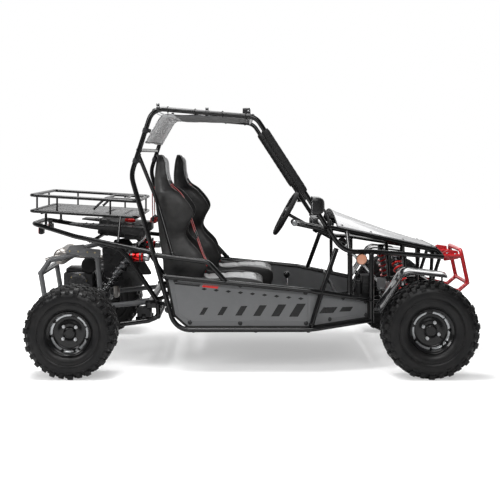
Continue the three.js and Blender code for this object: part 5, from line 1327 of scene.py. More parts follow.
def face_lift(s, lift):
    a, b = face_point(s - 0.05, 0.0), face_point(s + 0.05, 0.0)
    along = (b - a).normalized()
    n = V(-along.z, 0, along.x)
    n = n if n.dot(V(0.6, 0, 0.8)) > 0 else -n
    return n * lift


def above_face(s, w, lift):
    return face_point(s, w) + face_lift(s, lift)


def seat_shell():
    per, rows, turned_in = 56, 84, V(3, 0, 0)
    verts = [seat_point(14 * r / rows, 14 * c / per) for r in range(rows + 1) for c in range(per)]
    faces = skin_faces(rows + 1, per)
    for first, push in ((0, turned_in), (rows * per, V(0, 0, 3))):
        edge = list(range(first, first + per))
        mid = sum((verts[i] for i in edge), Vector()) / per
        before = edge
        for share in (0.66, 0.33):
            inner = list(range(len(verts), len(verts) + per))
            verts += [mid.lerp(verts[i], share) + push * (1 - share) for i in edge]
            faces += [(before[c], before[(c + 1) % per], inner[(c + 1) % per], inner[c]) for c in range(per)]
            before = inner
        verts.append(mid + push)
        faces += [(before[c], before[(c + 1) % per], len(verts) - 1) for c in range(per)]
    return verts, faces


def pad_slab(s0, s1, w0, w1, thick, rows, cols, channels):
    """A closed pad on the seat's face, sewn into channels, its sides drawn in between the corners."""
    top, low = [], []
    for r in range(rows + 1):
        u = r / rows
        for c in range(cols + 1):
            v = 2 * c / cols - 1
            w = mix(w0, w1, u)
            draw = 1 - 0.05 * math.sin(math.pi * u)
            s = mix(s0, s1, u)
            s = mix(s, (s0 + s1) / 2, 0.012 * (1 - v * v) * abs(2 * u - 1))
            round_off = (1 - min(1.0, abs(v)) ** 6) ** 0.5
            ends = (1 - abs(2 * u - 1) ** 10) ** 0.5
            seam = math.exp(-(math.sin(math.pi * u * channels) / 0.22) ** 2) if channels else 0.0
            groove = 1 - 0.42 * seam
            h = thick * (0.28 + 0.72 * round_off * ends * groove)
            base = face_point(s, v * w * draw)
            n = face_lift(s, 1.0)
            top.append(base + n * h)
            low.append(base - n * 5)
    return top + low, slab_faces(rows, cols)


def inflate(part, voxel=5.0, pressure=4.0, cap=7.0, name="pad"):
    """Cloth that swells under pressure, with no point moving further than cap, in millimetres."""
    verts, faces = part
    mesh = bpy.data.meshes.new(name)
    mesh.from_pydata([tuple(Vector(v) * MM) for v in verts], [], faces)
    face_outward(mesh)
    obj = bpy.data.objects.new(name, mesh)
    bpy.context.scene.collection.objects.link(obj)
    mod = obj.modifiers.new("remesh", "REMESH")
    mod.mode, mod.voxel_size = "VOXEL", voxel * MM
    dg = bpy.context.evaluated_depsgraph_get()
    mesh2 = bpy.data.meshes.new_from_object(obj.evaluated_get(dg))
    obj.modifiers.clear()
    obj.data = mesh2
    start = np.array([v.co for v in mesh2.vertices], float)
    cloth = obj.modifiers.new("swell", "CLOTH")
    st = cloth.settings
    st.quality = 5
    st.mass = 0.25
    st.tension_stiffness = st.compression_stiffness = 18
    st.shear_stiffness = 8
    st.bending_stiffness = 1.5
    st.use_pressure = True
    st.uniform_pressure_force = pressure
    st.effector_weights.gravity = 0
    cloth.collision_settings.use_collision = False
    cloth.point_cache.frame_start, cloth.point_cache.frame_end = 1, 20
    scene = bpy.context.scene
    for f in range(1, 21):
        scene.frame_set(f)
    dg = bpy.context.evaluated_depsgraph_get()
    swollen = bpy.data.meshes.new_from_object(obj.evaluated_get(dg))
    obj.modifiers.clear()
    obj.data = swollen
    scene.frame_set(1)
    end = np.array([v.co for v in swollen.vertices], float)
    step = end - start
    size = np.linalg.norm(step, axis=1, keepdims=True)
    step *= np.minimum(1.0, cap * MM / np.maximum(size, 1e-9))
    start = start + step
    faces = [tuple(p.vertices) for p in obj.data.polygons]
    bpy.data.objects.remove(obj)
    return [Vector(p) / MM for p in start], faces


def ribbon(path, width, thick, across_way):
    """A flat strap. across_way(i) gives its width direction at each point."""
    n = len(path)
    verts = []
    for i, p in enumerate(path):
        t = (path[min(i + 1, n - 1)] - path[max(i - 1, 0)]).normalized()
        w = Vector(across_way(i))
        w = (w - t * w.dot(t)).normalized()
        nn = t.cross(w)
        verts += [p + w * (a * width / 2) + nn * (b * thick / 2) for a,
                  b in ((-1, -1), (-0.9, -1.15), (0.9, -1.15), (1, -1), (1, 1), (0.9, 1.15), (-0.9, 1.15),
                        (-1, 1))]
    return verts, skin_faces(n, 8) + end_caps(n, 8)


def smooth_path(points, count):
    return [Vector(catmull([tuple(p) for p in points], (len(points) - 1) * i / (count - 1)))
            for i in range(count)]


WEBBING = 44
# Place along the seat, share of its half width and height over its face
LAP_LINE = ((4.0, 0.08, 33), (3.95, 0.3, 26), (4.0, 0.55, 14), (4.1, 0.72, 0), (4.2, 0.8, -16))
BELT_LINE = ((-430, 64, 596), (-374, 66, 540), (-334, 64, 440), (-298, 58, 335), (-262, 42, 230),
             (-240, 26, 172))


def build_seats():
    shell = seat_shell()
    pads = [
        ("cushion", inflate(pad_slab(1.15, 3.55, 0.58, 0.6, 15, 46, 30, 4), 5.0, 4.0, 6.0, "cushion")),
        ("backrest", inflate(pad_slab(5.0, 10.6, 0.56, 0.56, 13, 70, 28, 6), 5.0, 4.0, 6.0, "backrest")),
        ("headrest", inflate(pad_slab(11.25, 13.6, 0.66, 0.7, 11, 30, 22, 0), 5.0, 4.0, 5.0, "headrest")),
    ]
    seams = [sweep([face_point(mix(0.9, 13.7, i / 160), w * 0.99, 0.8) for i in range(161)], 1.7, 8)
             for w in (-FACE_EDGE, FACE_EDGE)]
    stitches = []
    for s0, s1, w in ((1.15, 3.55, 0.52), (5.0, 10.6, 0.5)):
        for side in (-1, 1):
            n = int((s1 - s0) * 20)
            for i in range(n):
                s = mix(s0 + 0.12, s1 - 0.12, i / (n - 1))
                a, b = face_point(s, side * (w + 0.105)), face_point(s + 0.028, side * (w + 0.105))
                nrm = face_lift(s, 2.2)
                stitches.append(rod(a + nrm, b + nrm, 0.9, 6, 0.3))
    for label, side in SIDES:
        body = "driver_seat" if side > 0 else "chassis"
        shift = V(66 if side > 0 else 0, side * SEAT_Y, RAIL_TOP)

        def put(ps):
            return [moved(p, None, shift) for p in ps]

        make(f"seat_{label}_shell", put([shell]), body, "leather", [f"seat_{label}"], sharp=60, sub=1)
        for name, pad in pads:
            make(f"seat_{label}_{name}", put([pad]), body, "leather_grey", sharp=60, sub=1)
        make(f"seat_{label}_piping", put(seams), body, "piping", sharp=60)
        make(f"seat_{label}_stitching", put(stitches), body, "thread")
        # Belts: two shoulder straps, two lap straps, the buckle and the anchors
        straps, hardware, buttons = [], [], []
        for w in (-1, 1):
            if side > 0:
                pts = [above_face(10.5 - 0.6 * k, w * (0.4 - 0.03 * k), 17) for k in range(10)]
            else:
                pts = [V(x, w * y, z) for x, y, z in BELT_LINE]
            pts += [above_face(4.25, w * 0.09, 33), above_face(4.05, w * 0.05, 36)]
            path = smooth_path([above_face(11.0, w * 0.5, -6)] + pts, 80)
            straps.append(ribbon(path, WEBBING, 1.8, lambda i: LEFT))
            behind = [V(-508, w * 66, 596), V(-523, w * 66, 590), V(-530, w * 66, 560), V(-528, w * 60, 430),
                      V(-524, w * 44, 415)]
            straps.append(ribbon(smooth_path(behind, 40), WEBBING, 1.8, lambda i: LEFT))
            if side < 0:
                hardware.append(rbox((6, 54, 34), (BELT_LINE[3][0], w * BELT_LINE[3][1], BELT_LINE[3][2]), 2,
                                     rot("Y", -20)))
            hardware.append(rbox((8, 60, 26), (-527, w * 60, 424), 2))
            lap = [above_face(s, w * share, lift) for s, share, lift in LAP_LINE]
            straps.append(ribbon(smooth_path(lap, 60), WEBBING, 1.8, lambda i: (1, 0, 0.55)))
        c = above_face(4.05, 0, 36)
        hardware.append(bent([V(-527, -110, 424), V(-527, 110, 424)], [], 8, 14))
        hardware.append(lathe([(0, -9), (27, -9), (30, -5), (30, 4), (27, 8), (20, 10), (0, 10)], c,
                              face_lift(4.2, 1.0), 36))
        buttons.append(lathe([(0, 9.5), (17, 9.5), (19, 11), (17, 14), (0, 15)], c, face_lift(4.2, 1.0), 32))
        make(f"belt_{label}_webbing", put(straps), body, "belt", sharp=50)
        make(f"belt_{label}_hardware", put(hardware), body, "black_plastic")
        make(f"belt_{label}_button", put(buttons), body, "red_plastic")
        runners = [rbox((300, 22, 4), (-115, y, 1.9), 1.0) for y in (-RAIL_GAUGE, RAIL_GAUGE)]
        make(f"seat_{label}_feet", put(runners), body, "zinc")


# ---------------------------------------------------------------- sheet pieces


def hood_rise(x, v):
    share = (x - 450) / 562
    return 66 * max(0.0, 1 - share) ** 1.3 * (1 - v * v)


def build_hood():
    def place(u, w):
        x = mix(452, 1010, u)
        v = 2 * w - 1
        y = v * (hood_y(x) - 1)
        z = slope_z(HOOD_R, HOOD_F, x) + MAIN + CLEAR + 3 + hood_rise(x, v)
        z += 2.6 * math.exp(-((abs(v) - 0.52) / 0.02) ** 2) * math.sin(math.pi * u) ** 0.3
        z -= 1.4 * (1 if abs(v) > 0.985 else 0)
        return (x, y, z)
    verts, faces = grid_sheet(70, 90, place)
    make("hood_skin", [(verts, faces)], "chassis", "hood_white", ["hood"], sharp=40, solid=(2.6, -1.0))
    edge_knots = []
    for i in range(121):
        v = -1 + 2 * i / 120
        x = 451
        edge_knots.append(V(x, v * (hood_y(x) - 1), slope_z(HOOD_R, HOOD_F, x) + MAIN + CLEAR + 1.8
                            + hood_rise(x, v)))
    front = [V(1011, (-1 + 2 * i / 60) * (hood_y(1011) - 1), slope_z(HOOD_R, HOOD_F, 1011) + MAIN + CLEAR
               + 1.8 + hood_rise(1011, -1 + 2 * i / 60)) for i in range(61)]
    make("hood_trim", [sweep(edge_knots, 3.4, 10), sweep(front, 3.0, 10)], "chassis", "rubber")
    screws = []
    for x, k in ((480, 0.93), (640, 0.93), (820, 0.93), (985, 0.9)):
        for way in (-1, 1):
            v = way * k
            z = slope_z(HOOD_R, HOOD_F, x) + MAIN + CLEAR + 3 + hood_rise(x, v)
            screws += dome_screw(V(x, v * (hood_y(x) - 1), z), (0.22, way * 0.1, 1), 7)
    make("hood_screws", screws, "chassis", "black_screw")


def build_canopy():
    half = HALF - MAIN - CLEAR
    front = V(2 - BRACE - CLEAR, 0, roof_z(2))
    fold, hem = V(-466, 0, 1322), V(-548, 0, 1176)
    run1, run2 = front.x - fold.x, math.hypot(fold.x - hem.x, fold.z - hem.z)
    total = run1 + run2
    soft, sag_depth, scallop, pitch = 26.0, 12, 10, 135

    def place(u, v):
        run = u * total
        if run < run1 - soft:
            part = run / run1
            x, z = mix(front.x, fold.x, part), mix(front.z, fold.z, part)
            sag = sag_depth * math.sin(math.pi * part) * math.sin(math.pi * v)
        elif run < run1 + soft:
            k = (run - run1 + soft) / (2 * soft)
            p0 = (run1 - soft) / run1
            a = V(mix(front.x, fold.x, p0), 0, mix(front.z, fold.z, p0))
            b = fold + (hem - fold) * (soft / run2)
            p = a * (1 - k) ** 2 + fold * (2 * k * (1 - k)) + b * k ** 2
            x, z = p.x, p.z
            sag = sag_depth * math.sin(math.pi * p0) * math.sin(math.pi * v) * (1 - k)
        else:
            part = (run - run1) / run2
            x, z = mix(fold.x, hem.x, part), mix(fold.z, hem.z, part)
            sag = 0
        folds = 5 * math.sin(4 * math.pi * v) * math.sin(math.pi * v) * u
        fine = noise.noise(Vector((x * 0.012, v * 9.0, 3.1))) * 3.0 * math.sin(math.pi * v) ** 0.4
        pull = 0
        for e in EYELETS:
            pull += 4.5 * math.exp(-((x - e) / 26) ** 2) * (math.exp(-v / 0.05) + math.exp(-(1 - v) / 0.05))
        wave = 0.5 - 0.5 * math.cos((x + 30) * 2 * math.pi / pitch) if x > -450 else 0
        edge = scallop * (math.exp(-v / 0.02) + math.exp(-(1 - v) / 0.02)) * wave
        y = mix(-half + edge, half - edge, v)
        near_fold = math.exp(-((run - run1) / 70) ** 2)
        gather = 2.6 * math.sin(v * 60 + 2 * noise.noise(Vector((v * 8, u * 3, 0)))) * near_fold
        if run < run1:
            return (x, y, z - sag - folds + fine + pull + gather * 0.5)
        return (x + gather * 0.6 + fine * 0.5, y, z - folds * 0.4)
    rows, cols = 90, 120
    verts, faces = grid_sheet(rows, cols, place)
    sheet = make("canopy_cloth", [(verts, faces)], "chassis", "canopy", ["canopy"], sharp=80,
                 solid=(1.6, 0.0))
    grid = [[verts[r * (cols + 1) + c] for c in range(cols + 1)] for r in range(rows + 1)]
    # Hems, eyelets and elastic loops
    hems, eyelets, loops = [], [], []
    left = [grid[r][1] for r in range(rows + 1)]
    right = [grid[r][cols - 1] for r in range(rows + 1)]
    back = [grid[rows - 1][c] for c in range(cols + 1)]
    fore = [grid[1][c] for c in range(cols + 1)]
    hems += [sweep(line, 2.6, 8) for line in (left, right, back, fore)]
    for x in EYELETS:
        for way, line in ((-1, left), (1, right)):
            p = min(line, key=lambda q: abs(q.x - x) + (1000 if q.z < 1250 else 0))
            p = V(p.x, p.y - way * 9, p.z)
            eyelets.append(ring(p, UP, 6.5, 1.7, 22, 8))
            post = V(x, way * HALF, roof_z(x))
            r = MAIN + 2.2
            loop_knots = [post + V(3.5 * math.sin(a * 2), r * math.cos(a), r * math.sin(a))
                          for a in turns(24)]
            loops.append(sweep(loop_knots, 1.9, 8, closed=True))
            loops.append(sweep([p + V(0, 0, 4), p + V(0, way * 6, 3), post + V(0, -way * (MAIN + 2), 4)], 1.9,
                               8))
            loops.append(sweep([p + V(0, 0, -4), p + V(0, way * 6, -4), post + V(0, -way * (MAIN + 2), -4)],
                               1.9, 8))
    make("canopy_hems", hems, "chassis", "cloth_dark", sharp=60)
    make("canopy_eyelets", eyelets, "chassis", "zinc")
    make("canopy_bungees", loops, "chassis", "rubber")


def build_canopy_straps():
    """Corner straps with cam buckles on the rear posts."""
    straps, cams = [], []
    for way in (-1, 1):
        for place_z in (1240, 1085):
            t = (1354 - place_z) / (1354 - 1012)
            c = V(mix(-508, -619, t), way * HALF, place_z)
            way_dir = V(-111, 0, -342).normalized()
            u, w = basis(way_dir)[:2]
            knots = [c + u * ((MAIN + 1.4) * math.cos(a)) + w * ((MAIN + 1.4) * math.sin(a))
                     for a in turns(28)]
            verts = []
            for k in knots:
                o = (k - c).normalized()
                verts += [k + way_dir * a + o * b for a, b in ((-11, 0), (11, 0), (11, 1.6), (-11, 1.6))]
            straps.append((verts, skin_faces(28, 4, True)))
            cams.append(rbox((24, 10, 20), (c.x + MAIN + 4, c.y, c.z), 2.5, rot("Y", 18)))
    make("canopy_straps", straps, "chassis", "webbing_black")
    make("canopy_buckles", cams, "chassis", "black_plastic")


FENDER_REAR, FENDER_BEND, FENDER_FRONT = (630, 341), (757, 543), (964, 519)


def build_fenders():
    path = rounded([P(FENDER_REAR, 0), P(FENDER_BEND, 0), P(FENDER_FRONT, 0)], [55], 5.0)
    extra = []
    for a, b in zip(path, path[1:]):
        n = max(1, int((b - a).length / 14))
        extra += [a.lerp(b, k / n) for k in range(n)]
    path = extra + [path[-1]]
    edge = [(574, -12), (574.2, -6), (575.5, -2.2), (580, 0), (600, 3.6), (630, 6.6), (656, 8), (682, 6.6),
            (712, 3.6), (732, 0), (736.5, -2.2), (737.8, -6), (738, -12)]
    verts = []
    for i, k in enumerate(path):
        t = i / (len(path) - 1)
        tuck = 10 * max(0, (0.03 - t) / 0.03) ** 2 + 10 * max(0, (t - 0.97) / 0.03) ** 2
        for y, rise in edge:
            yy = mix(y, 656, 0.012 * tuck)
            verts.append(V(k.x, yy, k.z + rise - 0.15 * tuck))
    faces = sheet_faces(len(path) - 1, len(edge) - 1)
    ribs = [sweep([V(k.x, y, k.z + mix(0, 8, 1 - ((y - 656) / 82) ** 2) + 0.6) for k in path[4:-4]], 2.2, 8)
            for y in (612, 656, 700)]
    skin = (verts, faces)
    for label, side, parts in (("left", 1, [skin]), ("right", -1, [flipped(skin)])):
        make(f"fender_{label}_skin", parts, f"knuckle_{label}", "fender_black", [f"fender_{label}"], sharp=40,
             solid=(2.6, -side))
    screws = []
    for x, y in ((948, 612), (930, 640)):
        screws += dome_screw(V(x, y, slope_z(FENDER_BEND, FENDER_FRONT, x) + 7), (0.1, 0, 1), 6)
    make_pair("fender_{}_ribs", ribs, "knuckle_{}", "fender_black")
    make_pair("fender_{}_screws", screws, "knuckle_{}", "zinc")


def panel_depth(x):
    return side_plan(x) - MAIN - 2 * CLEAR


def build_side_panels():
    """Flat side sheets with pressed borders, screws and a plain geometric decal."""
    pan_foot = FLOOR_Z + MAIN + CLEAR
    outline = [(-438, 488), (300, 416), (606, 360), (604, 268), (300, pan_foot), (-330, pan_foot),
               (-398, 292)]
    outline = round_outline(outline, [14, 3, 10, 10, 3, 10, 30], 6)

    def sheet(outline, offset, thick):
        """A polygon wrapped onto the panel, cut where it folds."""
        bm = bmesh.new()
        vs = [bm.verts.new((x, 0, z)) for x, z in outline]
        f = bm.faces.new(vs)
        bmesh.ops.triangulate(bm, faces=[f])
        bmesh.ops.bisect_plane(bm, geom=bm.verts[:] + bm.edges[:] + bm.faces[:],
                               plane_co=(FLOOR_BEND[0], 0, 0), plane_no=AHEAD)
        for v in bm.verts:
            v.co.y = panel_depth(v.co.x) + offset
        return thickened(bm, -thick, 1)

    panel = sheet(outline, 0.0, 2.8)
    border = round_outline([(-405, 462), (285, 396), (285, 262), (-318, 262), (-378, 306)],
                           [16, 14, 14, 12, 26], 6)

    def bead_line(poly, r=1.6):
        """A round bead that follows a closed outline on the sheet."""
        knots = []
        for i, corner in enumerate(poly):
            a, b = Vector(corner), Vector(poly[(i + 1) % len(poly)])
            steps = max(1, int((b - a).length / 12))
            for k in range(steps):
                p = a.lerp(b, k / steps)
                knots.append(V(p.x, panel_depth(p.x) + 0.1, p.y))
        return sweep(knots, r, 8, closed=True)

    beads = [bead_line(border), bead_line(round_outline([(322, 392), (588, 345), (587, 287), (322, 262)], 12,
                                                        5))]
    # Plain decal: slanted bars that shorten to the rear and a row of small lozenges, black on grey
    decals = []
    for k in range(6):
        x0 = 190 - 92 * k
        w = 46 - 4.5 * k
        low, high = 285 + 2 * k, 352 - 4 * k
        decals.append(sheet([(x0, low), (x0 + w, low), (x0 + w + (high - low) * 0.62, high),
                             (x0 + (high - low) * 0.62, high)], 0.5, 1.0))
    for k in range(9):
        x0 = 236 - 62 * k
        decals.append(sheet([(x0, 378 + 6.1 * k), (x0 + 15, 371 + 6.1 * k), (x0 + 30, 378 + 6.1 * k),
                             (x0 + 15, 385 + 6.1 * k)], 0.5, 1.0))
    decals.append(sheet([(345, 300), (420, 300), (444, 330), (369, 330)], 0.5, 1.0))
    decals.append(sheet([(452, 305), (510, 305), (526, 328), (469, 328)], 0.5, 1.0))
    strip_dark = [sheet([(-400, 452), (-270, 438.5), (-264, 452), (-394, 465)], 0.6, 1.0)]
    strip_red = [sheet([(-256, 437.5), (-176, 429.3), (-170, 442.5), (-250, 450.5)], 0.6, 1.0)]
    screws, washers = [], []
    for px, pz in ((-392, 470), (-60, 446), (275, 408), (278, 252), (-60, 252), (-318, 256), (470, 374),
                   (590, 352), (592, 283), (400, 268)):
        y = panel_depth(px)
        screws += dome_screw(V(px, y + 0.6, pz), LEFT, 8)
        washers.append(disc(V(px, y + 0.4, pz), LEFT, 11.5, 1.4))
    make_pair("side_panel_{}_sheet", [panel] + beads, "chassis", "panel", "side_panel_{}", sharp=30)
    make_pair("side_panel_{}_decal", decals + strip_dark, "chassis", "decal_black", sharp=20)
    make_pair("side_panel_{}_stripe", strip_red, "chassis", "red_plastic", sharp=20)
    make_pair("side_panel_{}_edge", [bead_line(outline, 6.0)], "chassis", "rubber")
    make_pair("side_panel_{}_screws", screws, "chassis", "black_screw")
    make_pair("side_panel_{}_washers", washers, "chassis", "black_screw")


TREAD_STEP = 26.0


def build_floor():
    """Floor pan with a raised tread pattern, kept as its CAD sheet with pads laid on."""
    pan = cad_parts["floor_pan"]
    pan.data.materials.clear()
    pan.data.materials.append(LOOKS["pan"][0])
    bars = []
    top = FLOOR_Z + MAIN + CLEAR + 3
    row = 0
    for x in np.arange(-60, 560, TREAD_STEP):
        row += 1
        limit = min(panel_depth(0) - 14, mix(panel_depth(0), 455, max(0.0, (x - 300) / 275)) - 16)
        for y in np.arange(-limit, limit, TREAD_STEP):
            if abs(y) < 34 and abs(x - 205) < 60:
                continue
            if any(abs(abs(y) - (SEAT_Y + g)) < 22 for g in (-RAIL_GAUGE, RAIL_GAUGE)) and x < 90:
                continue
            turn = 45 if (int(round(y / TREAD_STEP)) + row) % 2 else -45
            bars.append(moved(lathe([(0, -9), (1.8, -6), (2.4, 0), (1.8, 6), (0, 9)], ORIGIN, AHEAD, 6),
                              rot("Z", turn), (x, y, top + 0.1)))
    make("floor_tread", bars, "chassis", "pan", sharp=60)


def build_dash():
    x1 = DASH[0] - MAIN - CLEAR
    x0 = x1 - 32
    outline = round_rect(-125, 699.5, 125, 764.5, 12, 6)
    shell = prism(outline, x0, x0 + 28, 0, 2.0, 3)
    make("dash_shell", [shell] + two_boxes((6, 22, 40), (x0 + 29, 0, DASH_Z), 70, 1.5, 1), "chassis",
         "black_plastic", ["dash_panel"], sharp=30)
    face = prism(round_rect(-116, 706, 116, 758, 8, 5), x0 - 0.8, x0 + 1.5, 0, 0.3, 1)
    make("dash_plate", [face], "chassis", "panel", sharp=30)
    gauge, needle, ticks = [], [], []
    c = V(x0 - 1, 66, DASH_Z)
    gauge.append(lathe([(0, -3), (24, -3), (25.5, -1), (25.5, 4), (23.5, 5.5), (21.5, 3.5), (21.5, 1.5),
                        (0, 1.5)], c, (-1, 0, 0), 40))
    for k in range(13):
        a = math.radians(-130 + 260 * k / 12)
        p = c + V(-1.9, 17.5 * math.sin(a), 17.5 * math.cos(a))
        ticks.append(moved(rbox((0.7, 1.0 if k % 2 else 1.6, 4.2), ORIGIN, 0.2), rot("X", -math.degrees(a)),
                           p))
    needle.append(moved(rbox((1.0, 1.4, 16), (0, 0, 6), 0.3), rot("X", 105), c + V(-2.8, 0, 0)))
    needle.append(disc(c + V(-2.8, 0, 0), (-1, 0, 0), 3, 2))
    make("dash_gauge", gauge, "chassis", "gloss_black_plastic")
    make("dash_gauge_marks", ticks, "chassis", "white_mark")
    make("dash_gauge_needle", needle, "chassis", "red_plastic")
    sw, reds, keys = [], [], []
    for k, y in enumerate((20, -12, -44)):
        sw.append(rbox((5, 22, 30), (x0 - 1.5, y, DASH_Z), 2.0))
        sw.append(moved(rbox((6, 15, 24), ORIGIN, 1.5), rot("Y", 12), (x0 - 4.0, y, DASH_Z)))
    reds.append(lathe([(0, 0), (13, 0), (15, 3), (15, 8), (12, 11), (0, 12)], V(x0 - 3, -84, 742), (-1, 0, 0),
                      32))
    keys += [lathe([(0, 0), (11, 0), (12, 2), (11, 6), (0, 6)], V(x0 - 0.5, -106, 718), (-1, 0, 0), 28),
             rbox((16, 2.2, 9), (x0 - 14, -106, 718), 0.8), ring(V(x0 - 25, -106, 716), LEFT, 6, 0.9, 20, 6)]
    make("dash_switches", sw, "chassis", "black_plastic")
    make("dash_stop_button", reds, "chassis", "black_plastic")
    make("dash_key", keys, "chassis", "zinc")


# ---------------------------------------------------------------- rear machinery
CAGE = [(-815, 295), (-1085, 262), (-1125, 338), (-1147, 470), (-1098, 540), (-897, 588), (-838, 556)]


def stadium(x0, x1, z, r, steps=12):
    out = []
    for k in range(steps + 1):
        a = -math.pi / 2 + math.pi * k / steps
        out.append((x1 - r + r * math.cos(a), z + r * math.sin(a)))
    for k in range(steps + 1):
        a = math.pi / 2 + math.pi * k / steps
        out.append((x0 + r + r * math.cos(a), z + r * math.sin(a)))
    return out


def build_swing_arm():
    side = [bent([V(-540, SWING_Y, 326), V(-749, SWING_Y, 305), V(-930, SWING_Y, 277)], [60], 14, 22),
            bent([V(x, CAGE_Y, z) for x, z in CAGE], [20] * 5, 14, 22),
            straight(V(-838, CAGE_Y, 556), V(-815, CAGE_Y, 295), 14, 22),
            lathe([(16, -20), (37, -20), (40, -17), (40, 17), (37, 20), (16, 20)],
                  (REAR_AXLE, SWING_Y, REAR_HUB), LEFT, 44, closed=True),
            straight(V(-930, CAGE_Y, 277), V(-930, SWING_Y, 277), 14, 20),
            rbox((28, 32.6, 8), (-850, SWING_Y, 289), 1.5), rbox((40, 66.7, 15), (-1050, 198.65, 544.5), 2.0),
            *two_boxes((60, 4, 46), (-900, SWING_Y, 262), 22, 1.5, 1)]
    side += two_boxes((28, 4, 49), (-850, SWING_Y, 309.5), CLEVIS, 1.4, 1)
    beads = [weld(V(-540, SWING_Y, 326), V(-749, SWING_Y, 305), 14, 18),
             bead_at((-838, CAGE_Y, 543), (-0.09, 0, 1), 14, 2.4),
             bead_at((-815, CAGE_Y, 310), (-0.09, 0, 1), 14, 2.4), bead_at((-930, 284, 277), LEFT, 14, 2.4),
             bead_at((-815, 248, 295), LEFT, 16, 2.4)]
    middle = [straight(V(-815, -300, 295), V(-815, 300, 295), 16, 22),
              straight(V(-1010, -CAGE_Y, 271.2), V(-1010, CAGE_Y, 271.2), 16, 22),
              straight(V(-1147, -CAGE_Y, 470), V(-1147, CAGE_Y, 470), 16, 22),
              straight(V(-540, -385, 326), V(-540, 385, 326), 18, 26)]
    bolts = bolt_through((-850, SWING_Y, 322), LEFT, 16.3, 6)
    for a in turns(4, math.pi / 4):
        bolts += bolt_head(V(REAR_AXLE + 30 * math.cos(a), 320, REAR_HUB + 30 * math.sin(a)), LEFT, 4)
    make("swing_arm_tubes", both(side + beads) + middle, "swing_arm", "frame_grey", ["swing_arm"])
    make("swing_arm_bolts", both(bolts), "swing_arm", "zinc")
    # Flat grey beam with its cover, on the near top rail of the cage
    plate = round_outline([(-1012, 582), (-988, 620), (-915, 626), (-898, 606), (-822, 598), (-822, 556),
                           (-900, 562)], 7, 4)
    beam = [prism(plate, -CAGE_Y - 17, -CAGE_Y + 17, 1, 3, 2),
            prism(round_outline([(-988, 588), (-972, 609), (-923, 613), (-906, 596), (-836, 589), (-836, 567),
                                 (-900, 572)], 6, 4), -CAGE_Y - 18.2, -CAGE_Y - 16, 1, 0.8, 2)]
    make("cage_beam", beam, "swing_arm", "panel", sharp=30)
    screws = []
    for x in (-985, -940, -890, -850):
        screws += bolt_head(V(x, -CAGE_Y - 18.4, 588 + (x + 915) * -0.06), (0, -1, 0), 4)
    make("cage_beam_bolts", screws, "swing_arm", "olive")


ENGINE_X, ENGINE_Y, BARREL_Z, CASE_Z = -965, 10, 412, 395
MUFFLER_X, MUFFLER_Z = -1050, 552


def build_engine():
    block = [rbox((168, 208, 118), (ENGINE_X, ENGINE_Y, 400), 14, seg=4),
             rbox((120, 214, 20), (ENGINE_X, ENGINE_Y, 402), 5),
             rbox((150, 150, 26), (ENGINE_X, ENGINE_Y, 466), 8)]
    block += [rbox((150, 4, 96), (ENGINE_X, ENGINE_Y - 80 + 32 * k, 398), 1.2) for k in range(6)]
    cover_near = lathe([(0, 0), (52, 0), (56, 3), (56, 10), (50, 15), (30, 17), (0, 17)],
                       (ENGINE_X, -94, 398), (0, -1, 0), 48)
    spokes = [moved(rbox((30, 3, 4), (32, 0, 0), 0.8), rot("Y", math.degrees(a)), (ENGINE_X, -112, 398))
              for a in turns(10)]
    block += [cover_near] + spokes
    case = prism(stadium(-1040, -800, CASE_Z, 62), 108, 160, 1, 6, 3)
    case_rim = prism(stadium(-1044, -796, CASE_Z, 66), 128, 138, 1, 2, 2)
    hub = [lathe([(0, 0), (34, 0), (38, 3), (38, 8), (30, 12), (0, 12)], (x, 160, CASE_Z), LEFT, 40)
           for x in (-978, -862)]
    barrel = [rod((-884, ENGINE_Y, BARREL_Z), (-738, ENGINE_Y, BARREL_Z), 44, 36)]
    fins = []
    for k in range(11):
        x = -872 + 12.0 * k
        fins.append(prism(round_rect(-50, 362, 70, 462, 16, 5), x, x + 4.0, 0, 1.0, 1))
    head = [rbox((26, 104, 90), (-749, ENGINE_Y, BARREL_Z), 8, seg=3),
            lathe([(0, 0), (8, 0), (8, 12), (4, 14), (4, 26), (0, 26)], (-768, 42, 452), (0.3, 0, 1), 18)]
    feet = [rbox((40, 40, 56), (-1010, 10, 315), 4), rbox((40, 40, 40), (-815, 134, 322), 3),
            rbox((36, 36, 60), (-815, 10, 335), 4)]
    make("engine_block", block + feet, "swing_arm", "cast", ["engine"], sharp=40)
    make("engine_drive_case", [case, case_rim] + hub, "swing_arm", "black_cast", sharp=35)
    make("engine_fins", barrel + fins, "swing_arm", "cast", sharp=35)
    make("engine_head", head, "swing_arm", "cast", sharp=35)
    bolts = []
    for px, pz in stadium(-1034, -806, CASE_Z, 56, 4):
        bolts += bolt_head(V(px, 160, pz), LEFT, 4)
    for a in turns(6, 0.3):
        bolts += bolt_head(V(ENGINE_X + 50 * math.cos(a), -108, 398 + 50 * math.sin(a)), (0, -1, 0), 3.4)
    for y in (-28, 48):
        for z in (378, 446):
            bolts += bolt_head(V(-736, y, z), AHEAD, 4.5)
    make("engine_bolts", bolts, "swing_arm", "olive")


def can_at(y):
    return V(MUFFLER_X, y, MUFFLER_Z)


